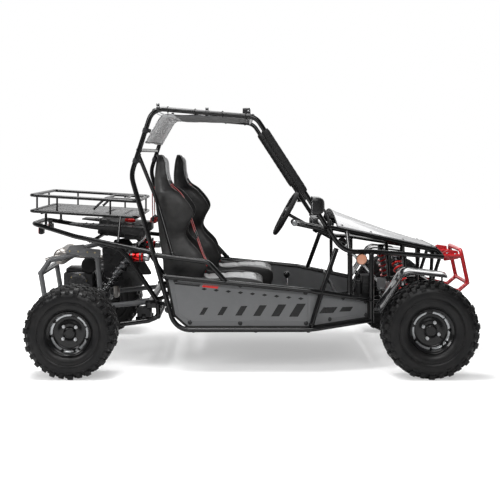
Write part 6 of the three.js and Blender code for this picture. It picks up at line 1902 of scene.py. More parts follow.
def build_exhaust():
    """Air cleaner, carburettor, exhaust bend and muffler."""
    intake = [rod((-900, -40, 462), (-900, -40, 498), 17), rbox((52, 40, 40), (-900, -48, 500), 6, seg=3),
              lathe([(0, 0), (40, 0), (44, 4), (44, 50), (40, 56), (0, 56)], (-900, -70, 502), (0, -1, 0),
                    44)]
    make("air_cleaner", intake[1:], "swing_arm", "black_plastic")
    make("carburettor", [intake[0]] + bolt_head(V(-874, -48, 506), AHEAD, 4), "swing_arm", "machined")
    pipe = bent([V(-758, 10, 366), V(-758, 10, 322), V(-758, -62, 322), V(-758, -62, 530),
                 V(-990, -62, MUFFLER_Z), V(-1012, -62, MUFFLER_Z)], [22, 26, 40, 60], 14, 22)
    make("exhaust_pipe", [pipe, bead_at((-1009, -62, MUFFLER_Z), AHEAD, 14, 2.4)], "swing_arm", "heat_steel")
    can = [lathe([(0, -165), (20, -165), (36, -163), (41, -158), (42, -152), (42, 152), (41, 158), (36, 163),
                  (20, 165), (0, 165)], can_at(0), LEFT, 48)]
    can += [bushing(can_at(y), LEFT, 42, 43.6, 9, 48) for y in (-120, 120)]
    can += [rod(can_at(163), can_at(185), 12), rod(can_at(-163), can_at(-196), 12),
            bead_at(can_at(-152), LEFT, 41.5, 1.8), bead_at(can_at(152), LEFT, 41.5, 1.8)]
    can.append(bent([can_at(-180), V(-1078, -180, MUFFLER_Z), V(-1130, -180, 536)], [10], 11, 18))
    make("muffler_can", can, "swing_arm", "heat_steel", ["muffler"], sharp=40)
    studs = []
    for way in (-1, 1):
        for dx in (-13, 13):
            studs += bolt_head(can_at(way * 200) + V(dx, 0, 0), UP, 4.5)
    make("muffler_bolts", studs, "swing_arm", "olive")


def toothed(centre, radius, teeth, thick, bore, holes):
    """A sprocket or disc in the plane across Y, with its teeth and round lightening holes."""
    cx, cy, cz = centre
    rim_line = []
    for a in turns(teeth * 6 if teeth else 72):
        r = radius - (3.6 * (0.5 - 0.5 * math.cos(a * teeth)) ** 1.3 if teeth else 0)
        rim_line.append((r * math.cos(a), 0, r * math.sin(a)))
    hole_lines = [[(x + r * math.cos(a), 0, z + r * math.sin(a)) for a in turns(24)] for x, z,
                  r in [(0, 0, bore)] + holes]
    return moved(cut_plate([rim_line] + hole_lines, thick, 1), None, (cx, cy - thick / 2, cz))


def build_axle():
    c = (REAR_AXLE, REAR_HUB)
    parts = [rod((c[0], -700, c[1]), (c[0], 700, c[1]), 14.9, 32)]
    for way in (-1, 1):
        parts.append(lathe([(14.9, 620), (24, 620), (24, 660.7), (46, 660.7), (46, 664), (40, 668),
                            (28, 684.7), (14.9, 684.7)], (c[0], 0, c[1]), (0, way, 0), 40))
        parts.append(lathe([(14.9, 0), (24, 0), (24, 22), (14.9, 22)], (c[0], way * 266, c[1]), (0, way, 0),
                           28))
    carriers = [lathe([(14.9, -15), (26, -15), (30, -12), (30, 12), (26, 15), (14.9, 15)], (c[0], y, c[1]),
                      LEFT, 32) for y in (48, -56)]
    make("rear_axle_shaft", parts + carriers, "rear_axle", "zinc", ["rear_axle"])
    def hole_ring(count, circle, radius, start=0.0):
        return [(circle * math.cos(a), circle * math.sin(a), radius) for a in turns(count, start)]

    make("axle_sprocket", [toothed((c[0], 62, c[1]), 78, 37, 5, 20, hole_ring(6, 52, 11))], "rear_axle",
         "machined", sharp=30)
    slots = hole_ring(12, 66, 4.5) + hole_ring(6, 46, 9, math.pi / 6)
    make("axle_brake_disc", [toothed((c[0], -70, c[1]), 82, 0, 5, 20, slots)], "rear_axle", "machined",
         sharp=30)
    caliper = [rbox((48, 34, 40), (-858, -70, 262), 6, rot("Y", -35), 3),
               rbox((30, 42, 22), (-852, -70, 268), 4, rot("Y", -35)),
               rbox((30, 6, 60), (-846, -70, 284), 1.5)]
    make("brake_caliper", caliper, "swing_arm", "black_cast", sharp=35)


def build_chain():
    """Drive chain: side plates and rollers round both sprockets."""
    c = (REAR_AXLE, REAR_HUB)
    links, rollers = [], []
    big_r, small_r = 75.5, 22
    a0 = V(c[0], 62, c[1])
    b0 = V(-905, 62, 386)
    d = (b0 - a0)
    dist = d.length
    ang = math.atan2(d.z, d.x)
    off = math.acos((big_r - small_r) / dist)
    path = []
    for k in range(41):
        a = ang + off + (2 * math.pi - 2 * off) * k / 40
        path.append(a0 + V(big_r * math.cos(a), 0, big_r * math.sin(a)))
    for k in range(17):
        a = ang - off + 2 * off * k / 16
        path.append(b0 + V(small_r * math.cos(a), 0, small_r * math.sin(a)))
    run = [0.0]
    loop = path + [path[0]]
    for p, q in zip(loop, loop[1:]):
        run.append(run[-1] + (q - p).length)
    count = int(run[-1] / 12.7)
    spots = []
    for k in range(count):
        t = run[-1] * k / count
        i = max(j for j in range(len(run) - 1) if run[j] <= t)
        spots.append(loop[i].lerp(loop[i + 1], (t - run[i]) / (run[i + 1] - run[i])))
    for k, p in enumerate(spots):
        q = spots[(k + 1) % count]
        rollers.append(rod(p + V(0, -4.4, 0), p + V(0, 4.4, 0), 3.8, 12, 0.4))
        turn = rot("Y", -math.degrees(math.atan2(q.z - p.z, q.x - p.x)))
        links += [rbox(((q - p).length + 7, 1.4, 7.5),
                       tuple((p + q) / 2 + V(0, way * (4.9 if k % 2 else 6.3), 0)), 0.5, turn, 1)
                  for way in (-1, 1)]
    make("drive_chain_plates", links, "swing_arm", "dark_alloy", sharp=30)
    make("drive_chain_rollers", rollers, "swing_arm", "zinc")
    make("drive_sprocket_small", [toothed((-905, 62, 386), 24, 11, 6, 7, [])], "swing_arm", "dark_alloy",
         sharp=30)


def build_tank():
    sin = (679 - 612) / math.hypot(439, 67)
    tilt = math.degrees(math.asin(sin))
    centre = V(-735 - 56.3 * -sin, 0, hoop_z(-735) + 56.3 * math.cos(math.asin(sin)))
    outline = round_rect(-123, -143, 123, 143, 24, 7)
    body = prism(outline, -45, 44, 2, 9, 4)
    seam = prism(round_rect(-125, -145, 125, 145, 25, 7), -2, 2, 2, 0.8, 2)
    turn = rot("Y", tilt)
    make("fuel_tank_shell", [moved(body, turn, centre), moved(seam, turn, centre)], "chassis",
         "black_plastic", ["fuel_tank"], sharp=40)
    cap = lathe([(0, 0), (26, 0), (28, 3), (28, 14), (25, 18), (0, 18)], (40, -60, 42), UP, 40)
    ribs = [rbox((3.5, 3.5, 12), (40 + 27.6 * math.cos(a), -60 + 27.6 * math.sin(a), 51), 0.9)
            for a in turns(18)]
    make("fuel_cap", [moved(cap, turn, centre)] + [moved(r, turn, centre) for r in ribs], "chassis",
         "red_plastic")
    bands = []
    for x in (-70, 70):
        bands.append(rbox((18, 292, 1.6), (x, 0, 45.4), 0.5))
        bands += two_boxes((18, 1.6, 92), (x, 0, -1), 144.6, 0.5, 1)
    make("fuel_tank_bands", [moved(b, turn, centre) for b in bands], "chassis", "black_screw")
    taps = [rod((-100, 90, -50), (-100, 90, -44), 6), rod((-100, 90, -62), (-100, 90, -50), 3.4)]
    make("fuel_tap", [moved(b, turn, centre) for b in taps], "chassis", "olive")


# ---------------------------------------------------------------- cabin controls and fittings
def build_controls():
    for name, y in (("throttle", 190), ("brake", 330)):

        def put(ps):
            return [moved(p, rot("Y", -26), (PEDAL_X, y, PEDAL_Z)) for p in ps]

        arm = [bent([V(0, 0, 0), V(0, 0, 150)], [], 7, 20), bushing(ORIGIN, LEFT, 5.3, 10, 16, 32),
               rbox((10, 40, 44), (-1, 0, 150), 2)]
        pad = prism(round_rect(-31, 111, 31, 189, 9, 5), -11, -4, 0, 1.6, 2)
        ridges = [rbox((3, 50, 4.5), (-11.5, 0, 122 + 11.2 * k), 1.2) for k in range(6)]
        make(f"{name}_pedal_arm", put(arm), f"{name}_pedal", "zinc", [f"{name}_pedal"])
        make(f"{name}_pedal_pad", put([pad] + ridges), f"{name}_pedal", "rubber")
    base = V(205, 0, 269.3)
    stick = [bent([base + V(0, 0, 4), base + V(0, 0, 146)], [], 5.9, 20), bushing(base, LEFT, 4.5, 11, 9, 32)]
    make("gear_lever_rod", stick, "gear_lever", "chrome", ["gear_lever"])
    knob = lathe([(0, -19), (8, -19), (10, -14), (16, -7), (19, 1), (17, 10), (11, 16), (4, 18.4), (0, 18.8)],
                 base + V(0, 0, 165), UP, 36)
    rings = [ring(base + V(0, 0, 165 + z), UP, r, 0.8, 36, 6) for z, r in ((-7, 16.1), (10, 17.1))]
    make("gear_lever_knob", [knob] + rings, "gear_lever", "gloss_black_plastic")
    make("gear_lever_boot", [lathe([(17, 13)] + [(17 - i * 1.2 + (1.6 if i % 2 else -0.6), 15 + 4.2 * i)
                                                 for i in range(9)] + [(6.3, 54), (6.0, 55)], base, UP, 36)],
         "gear_lever", "rubber")


def build_mirrors():
    neck, centre = V(366, 600, 838), V(332, 650, 861)
    base = [rod((396, 558, 750.3), (396, 558, 774.3), 11, 28), ball((396, 558, 774), 12.5)]
    stalk = [bent([V(396, 558, 774), neck, centre], [24], 6, 18)]
    verts = []
    outline = round_rect(-70, -44, 70, 44, 20, 6)
    rows = [(-30, 0.93), (-31, 0.99), (-28, 1.0), (-10, 1.0), (8, 0.94), (20, 0.8), (28, 0.55), (31, 0.2)]
    for x, k in rows:
        verts += [V(x, y * k, z * k) for y, z in outline]
    n = len(outline)
    shell = moved((verts, skin_faces(len(rows), n) + end_caps(len(rows), n)), None, centre)
    lip = [sweep([V(-30, y * 0.965, z * 0.965) + centre for y, z in outline], 2.6, 8, closed=True)]
    glass_face = prism([(y * 0.93, z * 0.93) for y, z in outline], -30.8, -29.4, 0, 0.2, 1)
    make_pair("mirror_{}_shell", [shell] + lip, "mirror_{}", "satin_plastic", "mirror_{}", sharp=40)
    make_pair("mirror_{}_stalk", base + stalk, "mirror_{}", "satin_black_metal")
    make_pair("mirror_{}_glass", [moved(glass_face, None, centre)], "mirror_{}", "mirror", sharp=20)


def build_lights():
    housing = [prism(round_rect(-58, 1348, 58, 1380, 9, 5), -42, -4, 0, 2.5, 3)]
    housing += [rbox((7, 3, 28), (-42.5, -48 + 16 * k, 1364), 0.8) for k in range(7)]
    housing.append(rbox((18, 38, 26), (-7.7, 0, 1337), 2.5))
    housing += both([rbox((22, 4, 36), (-14, 60, 1357), 1.5)])
    make("roof_light_housing", housing, "chassis", "black_cast", ["roof_light"], slot="lamp", sharp=35)
    lens = prism(round_rect(-53, 1352, 53, 1377, 7, 5), -5, -0.8, 0, 1.2, 2)
    make("roof_light_lens", [lens], "chassis", "lens", sharp=35)
    cells = [lathe([(0, -1), (7.5, -1), (8, 0), (6.5, -0.4), (3.5, -2.4), (0, -3)],
                   (-3.2, -43.5 + 17.4 * k, 1364.5), AHEAD, 24) for k in range(6)]
    make("roof_light_cells", cells, "chassis", "chrome", slot="lamp")
    make("roof_light_bolts", both(bolt_head(V(-14, 62, 1362), LEFT, 4)), "chassis", "zinc")


LAMP_Y, LAMP_Z = 138, 696


def build_tail_lamps():
    """Tail lamps under the rear bar."""
    body = both([rbox((22, 62, 40), (-1160, LAMP_Y, LAMP_Z), 6, seg=3),
                 rbox((20, 20, 26), (-1166, LAMP_Y, LAMP_Z + 26), 2)])
    red = both([rbox((5, 54, 32), (-1172, LAMP_Y, LAMP_Z), 2.4, seg=3)])
    make("tail_lamp_housing", body, "chassis", "black_plastic", sharp=40)
    make("tail_lamp_lens", red, "chassis", "red_lens", sharp=40)


def build_reflectors():
    """Round amber reflectors under the side rails."""
    backs, ambers = [], []
    for way in (-1, 1):
        spot = V(570, way * 492, 574)
        backs.append(lathe([(0, -3), (26, -3), (29, 0), (29, 5), (27, 7), (0, 7)], spot, (0, way, 0), 44))
        backs.append(rbox((22, 6, 52), spot + V(0, -way * 4, 22), 1.5))
        ambers.append(lathe([(0, 7), (26, 7), (26.5, 8.5), (24, 11), (14, 12.6), (0, 13)], spot, (0, way, 0),
                            44))
    make("reflector_backs", backs, "chassis", "black_plastic")
    make("reflector_lenses", ambers, "chassis", "amber")


def foam_tube(a, b, r):
    """Foam sleeve with slightly rolled ends."""
    a, b = Vector(a), Vector(b)
    knots = [a.lerp(b, i / 40) for i in range(41)]
    scale = [1.0 + 0.02 * math.sin(i * 1.7) for i in range(41)]
    scale[0] = scale[-1] = 0.86
    scale[1] = scale[-2] = 0.97
    return sweep(knots, r, 26, scale=scale)


def build_fittings():
    a, b = [V(slope_x(PILLAR, ROOF_FRONT, z), mix(PILLAR_HALF, HALF,
                                                  (z - PILLAR[1]) / (ROOF_FRONT[1] - PILLAR[1])), z)
            for z in (925, 1243)]
    pads, ties = [foam_tube(a, b, 21)], []
    for t in (0.1, 0.5, 0.9):
        c = a.lerp(b, t)
        ties.append(ring(c, (b - a).normalized(), 21.2, 1.5, 36, 8))
    make("pillar_pads", both(pads), "chassis", "foam")
    make("pillar_pad_ties", both(ties), "chassis", "rubber")
    caps = [lathe([(0, -2), (13, -2), (14.5, 0), (14.5, 6), (12, 9), (0, 9)], (225, way_y, 758), (0, s, 0),
                  32) for way_y, s in ((-458, -1), (-322, 1))]
    grip = sweep([V(225, -336 - 108 * i / 30, 758) for i in range(31)], 15, 22,
                 scale=[1 + 0.05 * math.cos(i * 2.1) for i in range(31)])
    make("grab_bar_grip", [grip], "chassis", "grip_foam")
    make("grab_bar_caps", caps, "chassis", "machined")


def build_clamps():
    """Clamps on the roof rails."""
    clamps, cbolts = [], []
    for x in (-481, -230):
        p = V(x, HALF, roof_z(x))
        clamps.append(bushing(p, (1, 0, -0.083), MAIN, MAIN + 3, 8, 32))
        clamps.append(rbox((16, 8, 14), (x, HALF, roof_z(x) + MAIN + 7), 1.5))
        cbolts += bolt_head(V(x, HALF + 4, roof_z(x) + MAIN + 9), LEFT, 3.5)
    make("rail_clamps", both(clamps), "chassis", "satin_black_metal")
    make("rail_clamp_bolts", both(cbolts), "chassis", "zinc")


BOX_X, BOX_Y = 612, -395


def build_boxes():
    """Black box by the passenger's feet and a small grey regulator on the nose frame."""
    box_parts = [rbox((64, 80, 120), (BOX_X, BOX_Y, 424), 8, seg=3),
                 rbox((68, 84, 9), (BOX_X, BOX_Y, 478), 3), rbox((20, 60, 112), (BOX_X - 10, BOX_Y, 312), 3),
                 rod((566, -400, 380), (566, -400, 440), 17), rod((566, -400, 440), (566, -400, 452), 12),
                 rbox((44, 20, 12), (584, -400, 400), 2)]
    box_parts += [rbox((52, 3, 5), (BOX_X, BOX_Y - 41, 394 + 17 * k), 1) for k in range(4)]
    make("front_box", box_parts, "chassis", "black_plastic", sharp=40)
    reg = [rbox((44, 40, 54), (713, -205, 415), 3, seg=2)] + [rbox((3, 38, 50), (694 + 6.4 * k, -205, 417),
                                                                   0.8) for k in range(7)]
    make("regulator", reg, "chassis", "panel", slot="cast_metal", sharp=40)
    make("regulator_bracket", [rbox((52, 6, 40), (735, -188, 400), 1.5),
                               rbox((20, 22, 5), (762, -188, 388), 1.2)], "chassis", "zinc")


RESERVOIR_Y, RESERVOIR_Z = 372, 572


def build_reservoirs():
    """Remote reservoirs of the rear dampers, clamped to the hoop."""
    red, silver, clamp = [], [], []
    for way in (-1, 1):
        y = way * RESERVOIR_Y
        red.append(lathe([(0, -38), (21, -38), (23, -35), (23, 34), (21, 37), (0, 37)],
                         (-612, y, RESERVOIR_Z), AHEAD, 40))
        silver.append(lathe([(0, 37), (19, 37), (21, 40), (21, 64), (18, 70), (8, 72), (0, 72)],
                            (-612, y, RESERVOIR_Z), AHEAD, 40))
        for x in (-636, -590):
            clamp.append(bushing((x, y, RESERVOIR_Z), AHEAD, 23, 25.4, 5, 40))
            clamp.append(rbox((10, 10, 22), (x, y + way * 6, RESERVOIR_Z + 30), 1.5))
    make("reservoirs", red, "chassis", "red_anodised")
    make("reservoir_ends", silver, "chassis", "machined")
    make("reservoir_clamps", clamp, "chassis", "satin_black_metal")


BATTERY_X, BATTERY_Y = -571, -330


def build_battery():
    """Battery in its tray inside the near side loop."""
    battery = [rbox((70, 118, 62), (BATTERY_X, BATTERY_Y, 268), 4, seg=2),
               rbox((72, 120, 8), (BATTERY_X, BATTERY_Y, 296), 2.5)]
    battery += [rod((BATTERY_X, y, 299), (BATTERY_X, y, 304), 7) for y in (BATTERY_Y - 32, BATTERY_Y + 32)]
    make("battery", battery, "chassis", "black_plastic", sharp=40)
    tray = [rbox((84, 128, 4), (BATTERY_X, BATTERY_Y, 235), 1),
            rbox((84, 4, 26), (BATTERY_X, BATTERY_Y - 61, 247), 1),
            rbox((84, 4, 26), (BATTERY_X, BATTERY_Y + 62, 247), 1),
            rbox((20, 4, 40), (BATTERY_X, BATTERY_Y - 62, 255), 1)]
    make("battery_tray", tray, "chassis", "frame")


def build_guards():
    """Mudguards on the swing arm, shelves beside the seats' backs and rails on the rack floor."""
    guard = round_outline([(-812, 610), (-728, 624), (-672, 560), (-578, 404), (-760, 402), (-800, 470)], 14,
                          4)
    guards = [prism(guard, way * 246 - 2, way * 246 + 2, 1, 0.8, 2) for way in (-1, 1)]
    for way in (-1, 1):
        guards += [rbox((5, 6, 90), (x, way * 249, z), 2, rot("Y", 32)) for x,
                   z in ((-752, 560), (-726, 520), (-700, 480))]
    make("mudguards", guards, "swing_arm", "satin_plastic", sharp=40)
    shelf = round_outline([(-985, 744), (-940, 741), (-700, 730), (-578, 722), (-578, 672), (-690, 690),
                           (-860, 722), (-985, 736)], 4, 3)
    shelves = [prism(shelf, min(way * 156, way * 300), max(way * 156, way * 300), 1, 2, 2) for way in (-1, 1)]
    for way in (-1, 1):
        shelves += [rbox((6, 130, 4), (-640 - 38 * k, way * 228, 728 + 1.9 * k), 1.2) for k in range(8)]
        shelves.append(rbox((90, 70, 34), (-640, way * 250, 674), 5, seg=2))
    make("rear_shelves", shelves, "chassis", "satin_plastic", sharp=40)
    rails = both([bent([V(-866, 190, 816), V(-800, 190, 878), V(-612, 190, 868)], [26], 6.5, 16)])
    rails += [straight(V(-800, -190, 876.5), V(-800, 190, 876.5), 6.5, 16),
              straight(V(-700, -190, 871), V(-700, 190, 871), 5, 14)]
    rails += [bead_at(V(-864, way * 190, 818), (0.73, 0, 0.68), 6.5, 1.8) for way in (-1, 1)]
    make("rack_inner_rails", rails, "chassis", "frame")


def build_nose_plates():
    """Plates between the bumper's bars."""
    plates, pbolts = [], []
    for way in (-1, 1):
        outline = round_outline([(1066, 528), (1150, 540), (1146, 584), (1090, 592), (1060, 574)], 8, 4)
        plates.append(prism(outline, way * 150 - 2, way * 150 + 2, 1, 0.8, 2))
        for x, z in ((1084, 572), (1130, 566)):
            pbolts += bolt_head(V(x, way * 152, z), (0, way, 0), 4.5)
    make("bumper_plates", plates, "chassis", "red_paint", sharp=30)
    make("bumper_plate_bolts", pbolts, "chassis", "zinc")


def hose(name, points, radius, body, look):
    """A held line: a hose or cable that is clipped along tubes."""
    path = smooth_path([V(*p) for p in points], 16 * len(points))
    make(name, [sweep(path, radius, 10)], body, look, sharp=60)


def build_lines():
    for label, side in SIDES:
        hose(f"brake_line_front_{label}", [(560, side * 120, 262), (640, side * 124, 300),
                                           (730, side * 130, 348), (800, side * 150, 384),
                                           (850, side * 172, 402), (900, side * 176, 404)], 3, "chassis",
             "rubber")
        hose(f"reservoir_hose_{label}", [(-650, side * RESERVOIR_Y, RESERVOIR_Z), (-668, side * 384, 590),
                                         (-664, side * 378, 612), (-648, side * 354, 624),
                                         (-634, side * 338, 618)], 4, "chassis", "rubber")
    hose("wiring_roof", [(-12, 0, 1330), (-2, 30, 1322), (4, 200, 1322), (4, 400, 1322), (6, 520, 1322)], 2.6,
         "chassis", "rubber")
    hose("floor_cable", [(500, 20, 240), (300, 18, 238), (100, 20, 238), (-30, 22, 239), (-200, 20, 238),
                         (-330, 18, 242), (-420, 22, 300), (-436, 24, 318)], 3, "chassis", "rubber")


# ---------------------------------------------------------------- assembly
# Name, top and foot eye, radius, wire radius, turns, stroke, look
SPRINGS = (("front", SHOCK_TOP, SHOCK_FOOT, 24.5, 5.0, 9, 33.4, "spring_red"),
           ("rear", RSHOCK_TOP, RSHOCK_FOOT, 25.5, 5.5, 8.5, 34.5, "spring_black"))


def springs():
    for name, top, foot, radius, wire, turns_made, stroke, look in SPRINGS:
        for label, side in SIDES:
            a, b = V(top.x, side * top.y, top.z), V(foot.x, side * foot.y, foot.z)
            way, length = (b - a).normalized(), (b - a).length
            start, end = SPRING_TOP + CLEAR, length - SPRING_FOOT - CLEAR
            body = f"{name}_shock_{label}"
            coil = make(body + "_coil", [helix(a, way, start, end, radius, wire, turns_made)], body, look,
                        [f"{name}_shock_spring_{label}"], sharp=70)
            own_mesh(coil)


LOOKS = {"tyre": (rubber("tyre_rubber", (0.0062, 0.0062, 0.0066), 0.40, 0.04, 180.0), "tyre"),
         "rim_black": (painted("rim_black", (0.004, 0.004, 0.0042), 0.24, 0.18, 0.02, dust=0.01),
                       "black_plastic"), "machined": (metal("machined_alloy", (0.42, 0.43, 0.44), 0.30,
                                                            (1, 14, 1), 260.0, 0.12), "steel"),
         "zinc": (metal("zinc_plate", (0.62, 0.63, 0.64), 0.32, (1, 1, 1), 240.0, 0.10, 0.8), "steel"),
         "olive": (metal("yellow_zinc", (0.62, 0.52, 0.30), 0.34, (1, 1, 1), 240.0, 0.10, 0.7), "steel"),
         "dark_alloy": (metal("dark_alloy", (0.10, 0.10, 0.105), 0.34, (1, 1, 6), 260.0, 0.10), "steel"),
         "chrome": (metal("chrome", (0.86, 0.87, 0.88), 0.09, (1, 1, 1), 200.0, 0.02, 0.95), "steel"),
         "mirror": (metal("mirror_glass", (0.88, 0.90, 0.92), 0.03, (1, 1, 1), 90.0, 0.0, 0.97), "steel"),
         "heat_steel": (metal("heat_steel", (0.40, 0.38, 0.36), 0.36, (1, 8, 1), 200.0, 0.12, 0.7,
                              stain=(0.20, 0.13, 0.08)), "steel"),
         "rubber": (rubber("soft_rubber", (0.011, 0.011, 0.011), 0.66, 0.04, 320.0), "black_plastic"),
         "grip_foam": (rubber("grip_foam", (0.012, 0.012, 0.0125), 0.8, 0.03, 900.0), "black_plastic"),
         "foam": (rubber("pad_foam", (0.010, 0.010, 0.0105), 0.6, 0.015, 700.0), "black_plastic"),
         "spring_red": (painted("spring_red", (0.56, 0.012, 0.010), 0.26, 0.7, 0.02, dust=0.04), "red_paint"),
         "red_paint": (painted("red_paint", (0.36, 0.010, 0.014), 0.28, 0.5, 0.03, dust=0.02), "red_paint"),
         "red_anodised": (metal("red_anodised", (0.62, 0.02, 0.02), 0.25, (1, 8, 8), 260.0, 0.08, 0.7),
                          "red_paint"), "frame": (painted("frame_black", (0.0035, 0.0035, 0.0038), 0.17, 0.16,
                                                          0.02, dust=0.008), "frame_paint"),
         "frame_grey": (painted("frame_grey", (0.105, 0.107, 0.11), 0.34, 0.35, 0.02, dust=0.0),
                        "frame_paint"), "cast": (painted("cast_alloy", (0.055, 0.055, 0.057), 0.40, 0.05,
                                                         0.25, metallic=0.7, dust=0.04), "cast_metal"),
         "black_cast": (painted("black_casting", (0.010, 0.010, 0.011), 0.4, 0.15, 0.2, dust=0.03),
                        "cast_metal"), "satin_black_metal": (painted("satin_black", (0.008, 0.008, 0.0085),
                                                                     0.36, 0.2, 0.03, dust=0.02),
                                                             "frame_paint"),
         "black_plastic": (plastic("black_plastic", (0.009, 0.009, 0.0095), 0.45, dust=0.02),
                           "black_plastic"),
         "gloss_black_plastic": (plastic("gloss_plastic", (0.006, 0.006, 0.0065), 0.2, 500.0, 0.03,
                                         dust=0.01), "black_plastic"),
         "satin_plastic": (plastic("satin_plastic", (0.012, 0.012, 0.0125), 0.3, 900.0, 0.1, dust=0.02),
                           "black_plastic"),
         "black_screw": (plastic("screw_black", (0.014, 0.014, 0.015), 0.35, 700.0, 0.1), "black_plastic"),
         "panel": (plastic("panel_grey", (0.125, 0.127, 0.13), 0.40, 800.0, 0.12, dust=0.05, mottle=0.05),
                   "panel_grey"), "pan": (plastic("pan_black", (0.02, 0.02, 0.021), 0.5, 600.0, 0.2,
                                                  dust=0.15), "black_plastic"),
         "decal_black": (painted("decal_black", (0.006, 0.006, 0.0065), 0.3, 0.1, 0.01, dust=0.03),
                         "black_plastic"), "hood_white": (painted("hood_white", (0.17, 0.17, 0.175), 0.30,
                                                                  0.35, 0.02, dust=0.01), "white_gloss"),
         "fender_black": (painted("fender_black", (0.006, 0.006, 0.007), 0.16, 1.0, 0.01, dust=0.0),
                          "black_plastic"), "spring_black": (painted("spring_black", (0.006, 0.006, 0.0065),
                                                                     0.22, 0.6, 0.02, dust=0.01),
                                                             "black_plastic"),
         "white_mark": (plastic("white_mark", (0.8, 0.8, 0.78), 0.5), "white_gloss"),
         "red_plastic": (plastic("red_plastic", (0.55, 0.014, 0.012), 0.32, 700.0, 0.08, dust=0.04),
                         "red_paint"), "leather": (leather("seat_leather", (0.009, 0.009, 0.0095), 0.42),
                                                   "leather"),
         "leather_grey": (leather("facing_grey", (0.50, 0.505, 0.51), 0.46, 380.0, 0.4), "leather"),
         "piping": (leather("piping_pale", (0.30, 0.30, 0.30), 0.5, 700.0, 0.2), "leather"),
         "thread": (plastic("thread", (0.6, 0.6, 0.58), 0.7, 1500.0, 0.3), "leather"),
         "belt": (weave("belt_red", (0.50, 0.014, 0.014), 1100.0, 0.4), "red_paint"),
         "webbing_black": (weave("webbing_black", (0.02, 0.02, 0.022), 1100.0, 0.5), "black_plastic"),
         # Canopy: the roof run forward of x -0.40 m is painted near-black, painted shade for its underside
         # seen from below; the rear drop is pale grey cloth
         "canopy": (weave("canopy_cloth_painted_shade", (0.80, 0.805, 0.81), 1300.0, 0.35, fold=0.5,
                          fore=((0.005, 0.005, 0.0055), -0.40)), "cloth"),
         "cloth_dark": (weave("hem_cloth", (0.10, 0.10, 0.105), 1300.0, 0.5), "cloth"),
         "lens": (glass("clear_lens", (0.85, 0.88, 0.90), 0.06, ribs=0.2), "lamp"),
         "red_lens": (glass("red_lens", (0.35, 0.01, 0.01), 0.12, ribs=0.4), "lamp"),
         "amber": (glass("amber_lens", (0.62, 0.29, 0.18), 0.12, ribs=0.5), "lamp"),}

left_side = tubes_left + beads_left
make("frame_side_tubes_left", left_side + cross + cross_beads, "chassis", "frame", ["frame_side_left"])
make("frame_side_tubes_right", mirrored(left_side), "chassis", "frame", ["frame_side_right"])
make("front_frame_tubes", both(nose_left + nose_beads) + nose_cross, "chassis", "frame", ["front_frame"])
make("rear_frame_tubes", both(rear_left + rear_beads) + rear_cross, "chassis", "frame", ["rear_frame"])
make("cargo_rack_tubes", cargo_parts, "chassis", "frame", ["cargo_rack"])
make("front_bumper_tubes", bumper_parts, "chassis", "red_paint", ["front_bumper"])
build_wheels()
damper("front", SHOCK_TOP, SHOCK_FOOT, AHEAD, 0.52)
damper("rear", RSHOCK_TOP, RSHOCK_FOOT, LEFT, 0.5)
springs()
build_front()
build_steering()
build_steering_wheel()
build_seats()
build_hood()
build_canopy()
build_canopy_straps()
build_fenders()
build_side_panels()
build_floor()
build_dash()
build_swing_arm()
build_engine()
build_exhaust()
build_axle()
build_chain()
build_tank()
build_controls()
build_mirrors()
build_lights()
build_tail_lamps()
build_reflectors()
build_fittings()
build_clamps()
build_boxes()
build_reservoirs()
build_battery()
build_guards()
build_nose_plates()
build_lines()


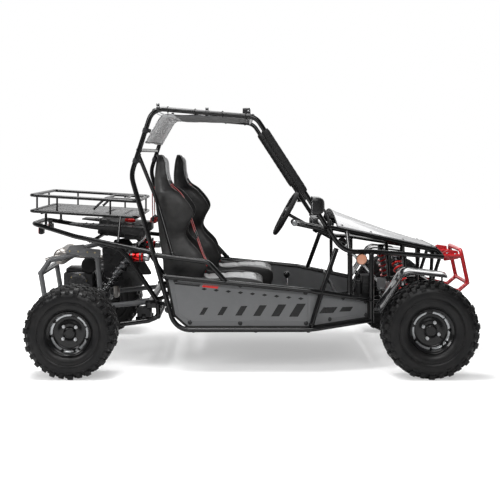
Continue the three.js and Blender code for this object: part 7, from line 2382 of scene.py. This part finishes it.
# ---------------------------------------------------------------- studio
def studio():
    scene = bpy.context.scene
    camera_data = bpy.data.cameras.new("camera")
    camera = bpy.data.objects.new("camera", camera_data)
    scene.collection.objects.link(camera)
    scene.camera = camera
    camera_data.lens, camera_data.sensor_width = LENS, 36.0
    camera.location = CAMERA_AT * MM
    camera.rotation_euler = CAMERA_TURN
    camera_data.shift_x, camera_data.shift_y = CAMERA_SHIFT
    camera_data.clip_end = 60
    bm = bmesh.new()
    half = 14.0
    vs = [bm.verts.new(p) for p in ((-half, -half, 0), (half, -half, 0), (half, half, 0), (-half, half, 0))]
    bm.faces.new(vs)
    mesh = bpy.data.meshes.new("floor")
    bm.to_mesh(mesh)
    bm.free()
    floor = bpy.data.objects.new("floor", mesh)
    scene.collection.objects.link(floor)
    n = Nodes("floor_white")
    n.out((0.60, 0.60, 0.60), 0.9, None, Specular_IOR_Level=0.0)
    away = n.new("ShaderNodeVectorMath", operation="LENGTH")
    n.link(n.stretch(0.8, 0.8, 1), away.inputs[0])
    lift = n.new("ShaderNodeMapRange", interpolation_type="SMOOTHSTEP")
    for key, value in zip(("From Min", "From Max", "To Min", "To Max"), FLOOR_LIFT):
        lift.inputs[key].default_value = value
    n.link(away.outputs["Value"], lift.inputs["Value"])
    seen = n.math("MULTIPLY", lift.outputs["Result"], n.new("ShaderNodeLightPath").outputs["Is Camera Ray"])
    n.bsdf.inputs["Emission Color"].default_value = (1, 1, 1, 1)
    n.link(seen, n.bsdf.inputs["Emission Strength"])
    mesh.materials.append(n.mat)
    world = bpy.data.worlds.new("world")
    scene.world = world
    world.use_nodes = True
    tree = world.node_tree
    back = tree.nodes["Background"]
    back.inputs["Color"].default_value = (1.0, 1.0, 1.0, 1)
    path = tree.nodes.new("ShaderNodeLightPath")
    way = tree.nodes.new("ShaderNodeTexCoord")
    parts = tree.nodes.new("ShaderNodeSeparateXYZ")
    tree.links.new(way.outputs["Generated"], parts.inputs["Vector"])
    behind = tree.nodes.new("ShaderNodeMapRange")
    behind.interpolation_type = "SMOOTHSTEP"
    for key, value in zip(("From Min", "From Max", "To Min", "To Max"), BACKDROP_GLOW):
        behind.inputs[key].default_value = value
    tree.links.new(parts.outputs["Y"], behind.inputs["Value"])
    seen = tree.nodes.new("ShaderNodeMapRange")
    seen.inputs["To Max"].default_value = 1.0
    tree.links.new(behind.outputs["Result"], seen.inputs["To Min"])
    tree.links.new(path.outputs["Is Camera Ray"], seen.inputs["Value"])
    tree.links.new(seen.outputs["Result"], back.inputs["Strength"])
    for name, at, aim, size, power in LAMPS:
        light = bpy.data.lights.new(name, "AREA")
        light.energy, light.size = power, size
        lamp = bpy.data.objects.new(name, light)
        scene.collection.objects.link(lamp)
        lamp.location = at
        lamp.rotation_euler = (Vector(aim) - Vector(at)).to_track_quat("-Z", "Y").to_euler()
    scene.view_settings.view_transform = "Standard"


BACKDROP_GLOW = (-0.1, 0.8, 0.10, 0.75)
FLOOR_LIFT = (0.9, 2.6, 0.42, 0.95)
LAMPS = (("overhead", (-0.9, -0.6, 4.4), (0, 0, 0.3), 2.6, 330),
         ("front", (0.6, -5.0, 3.8), (0, 0, 0.5), 2.6, 130), ("key", (-3.6, -3.6, 3.2), (0, 0, 0.5), 1.6, 90),
         ("rim", (1.0, 4.2, 3.4), (0, 0, 0.6), 3.0, 60))
CAMERA_AT = V(-61, -5600, 1120)
LENS = 70.9
CAMERA_TURN = (math.radians(90), 0, 0)
CAMERA_SHIFT = (0.02, -0.192)
studio()

bpy.context.view_layer.update()
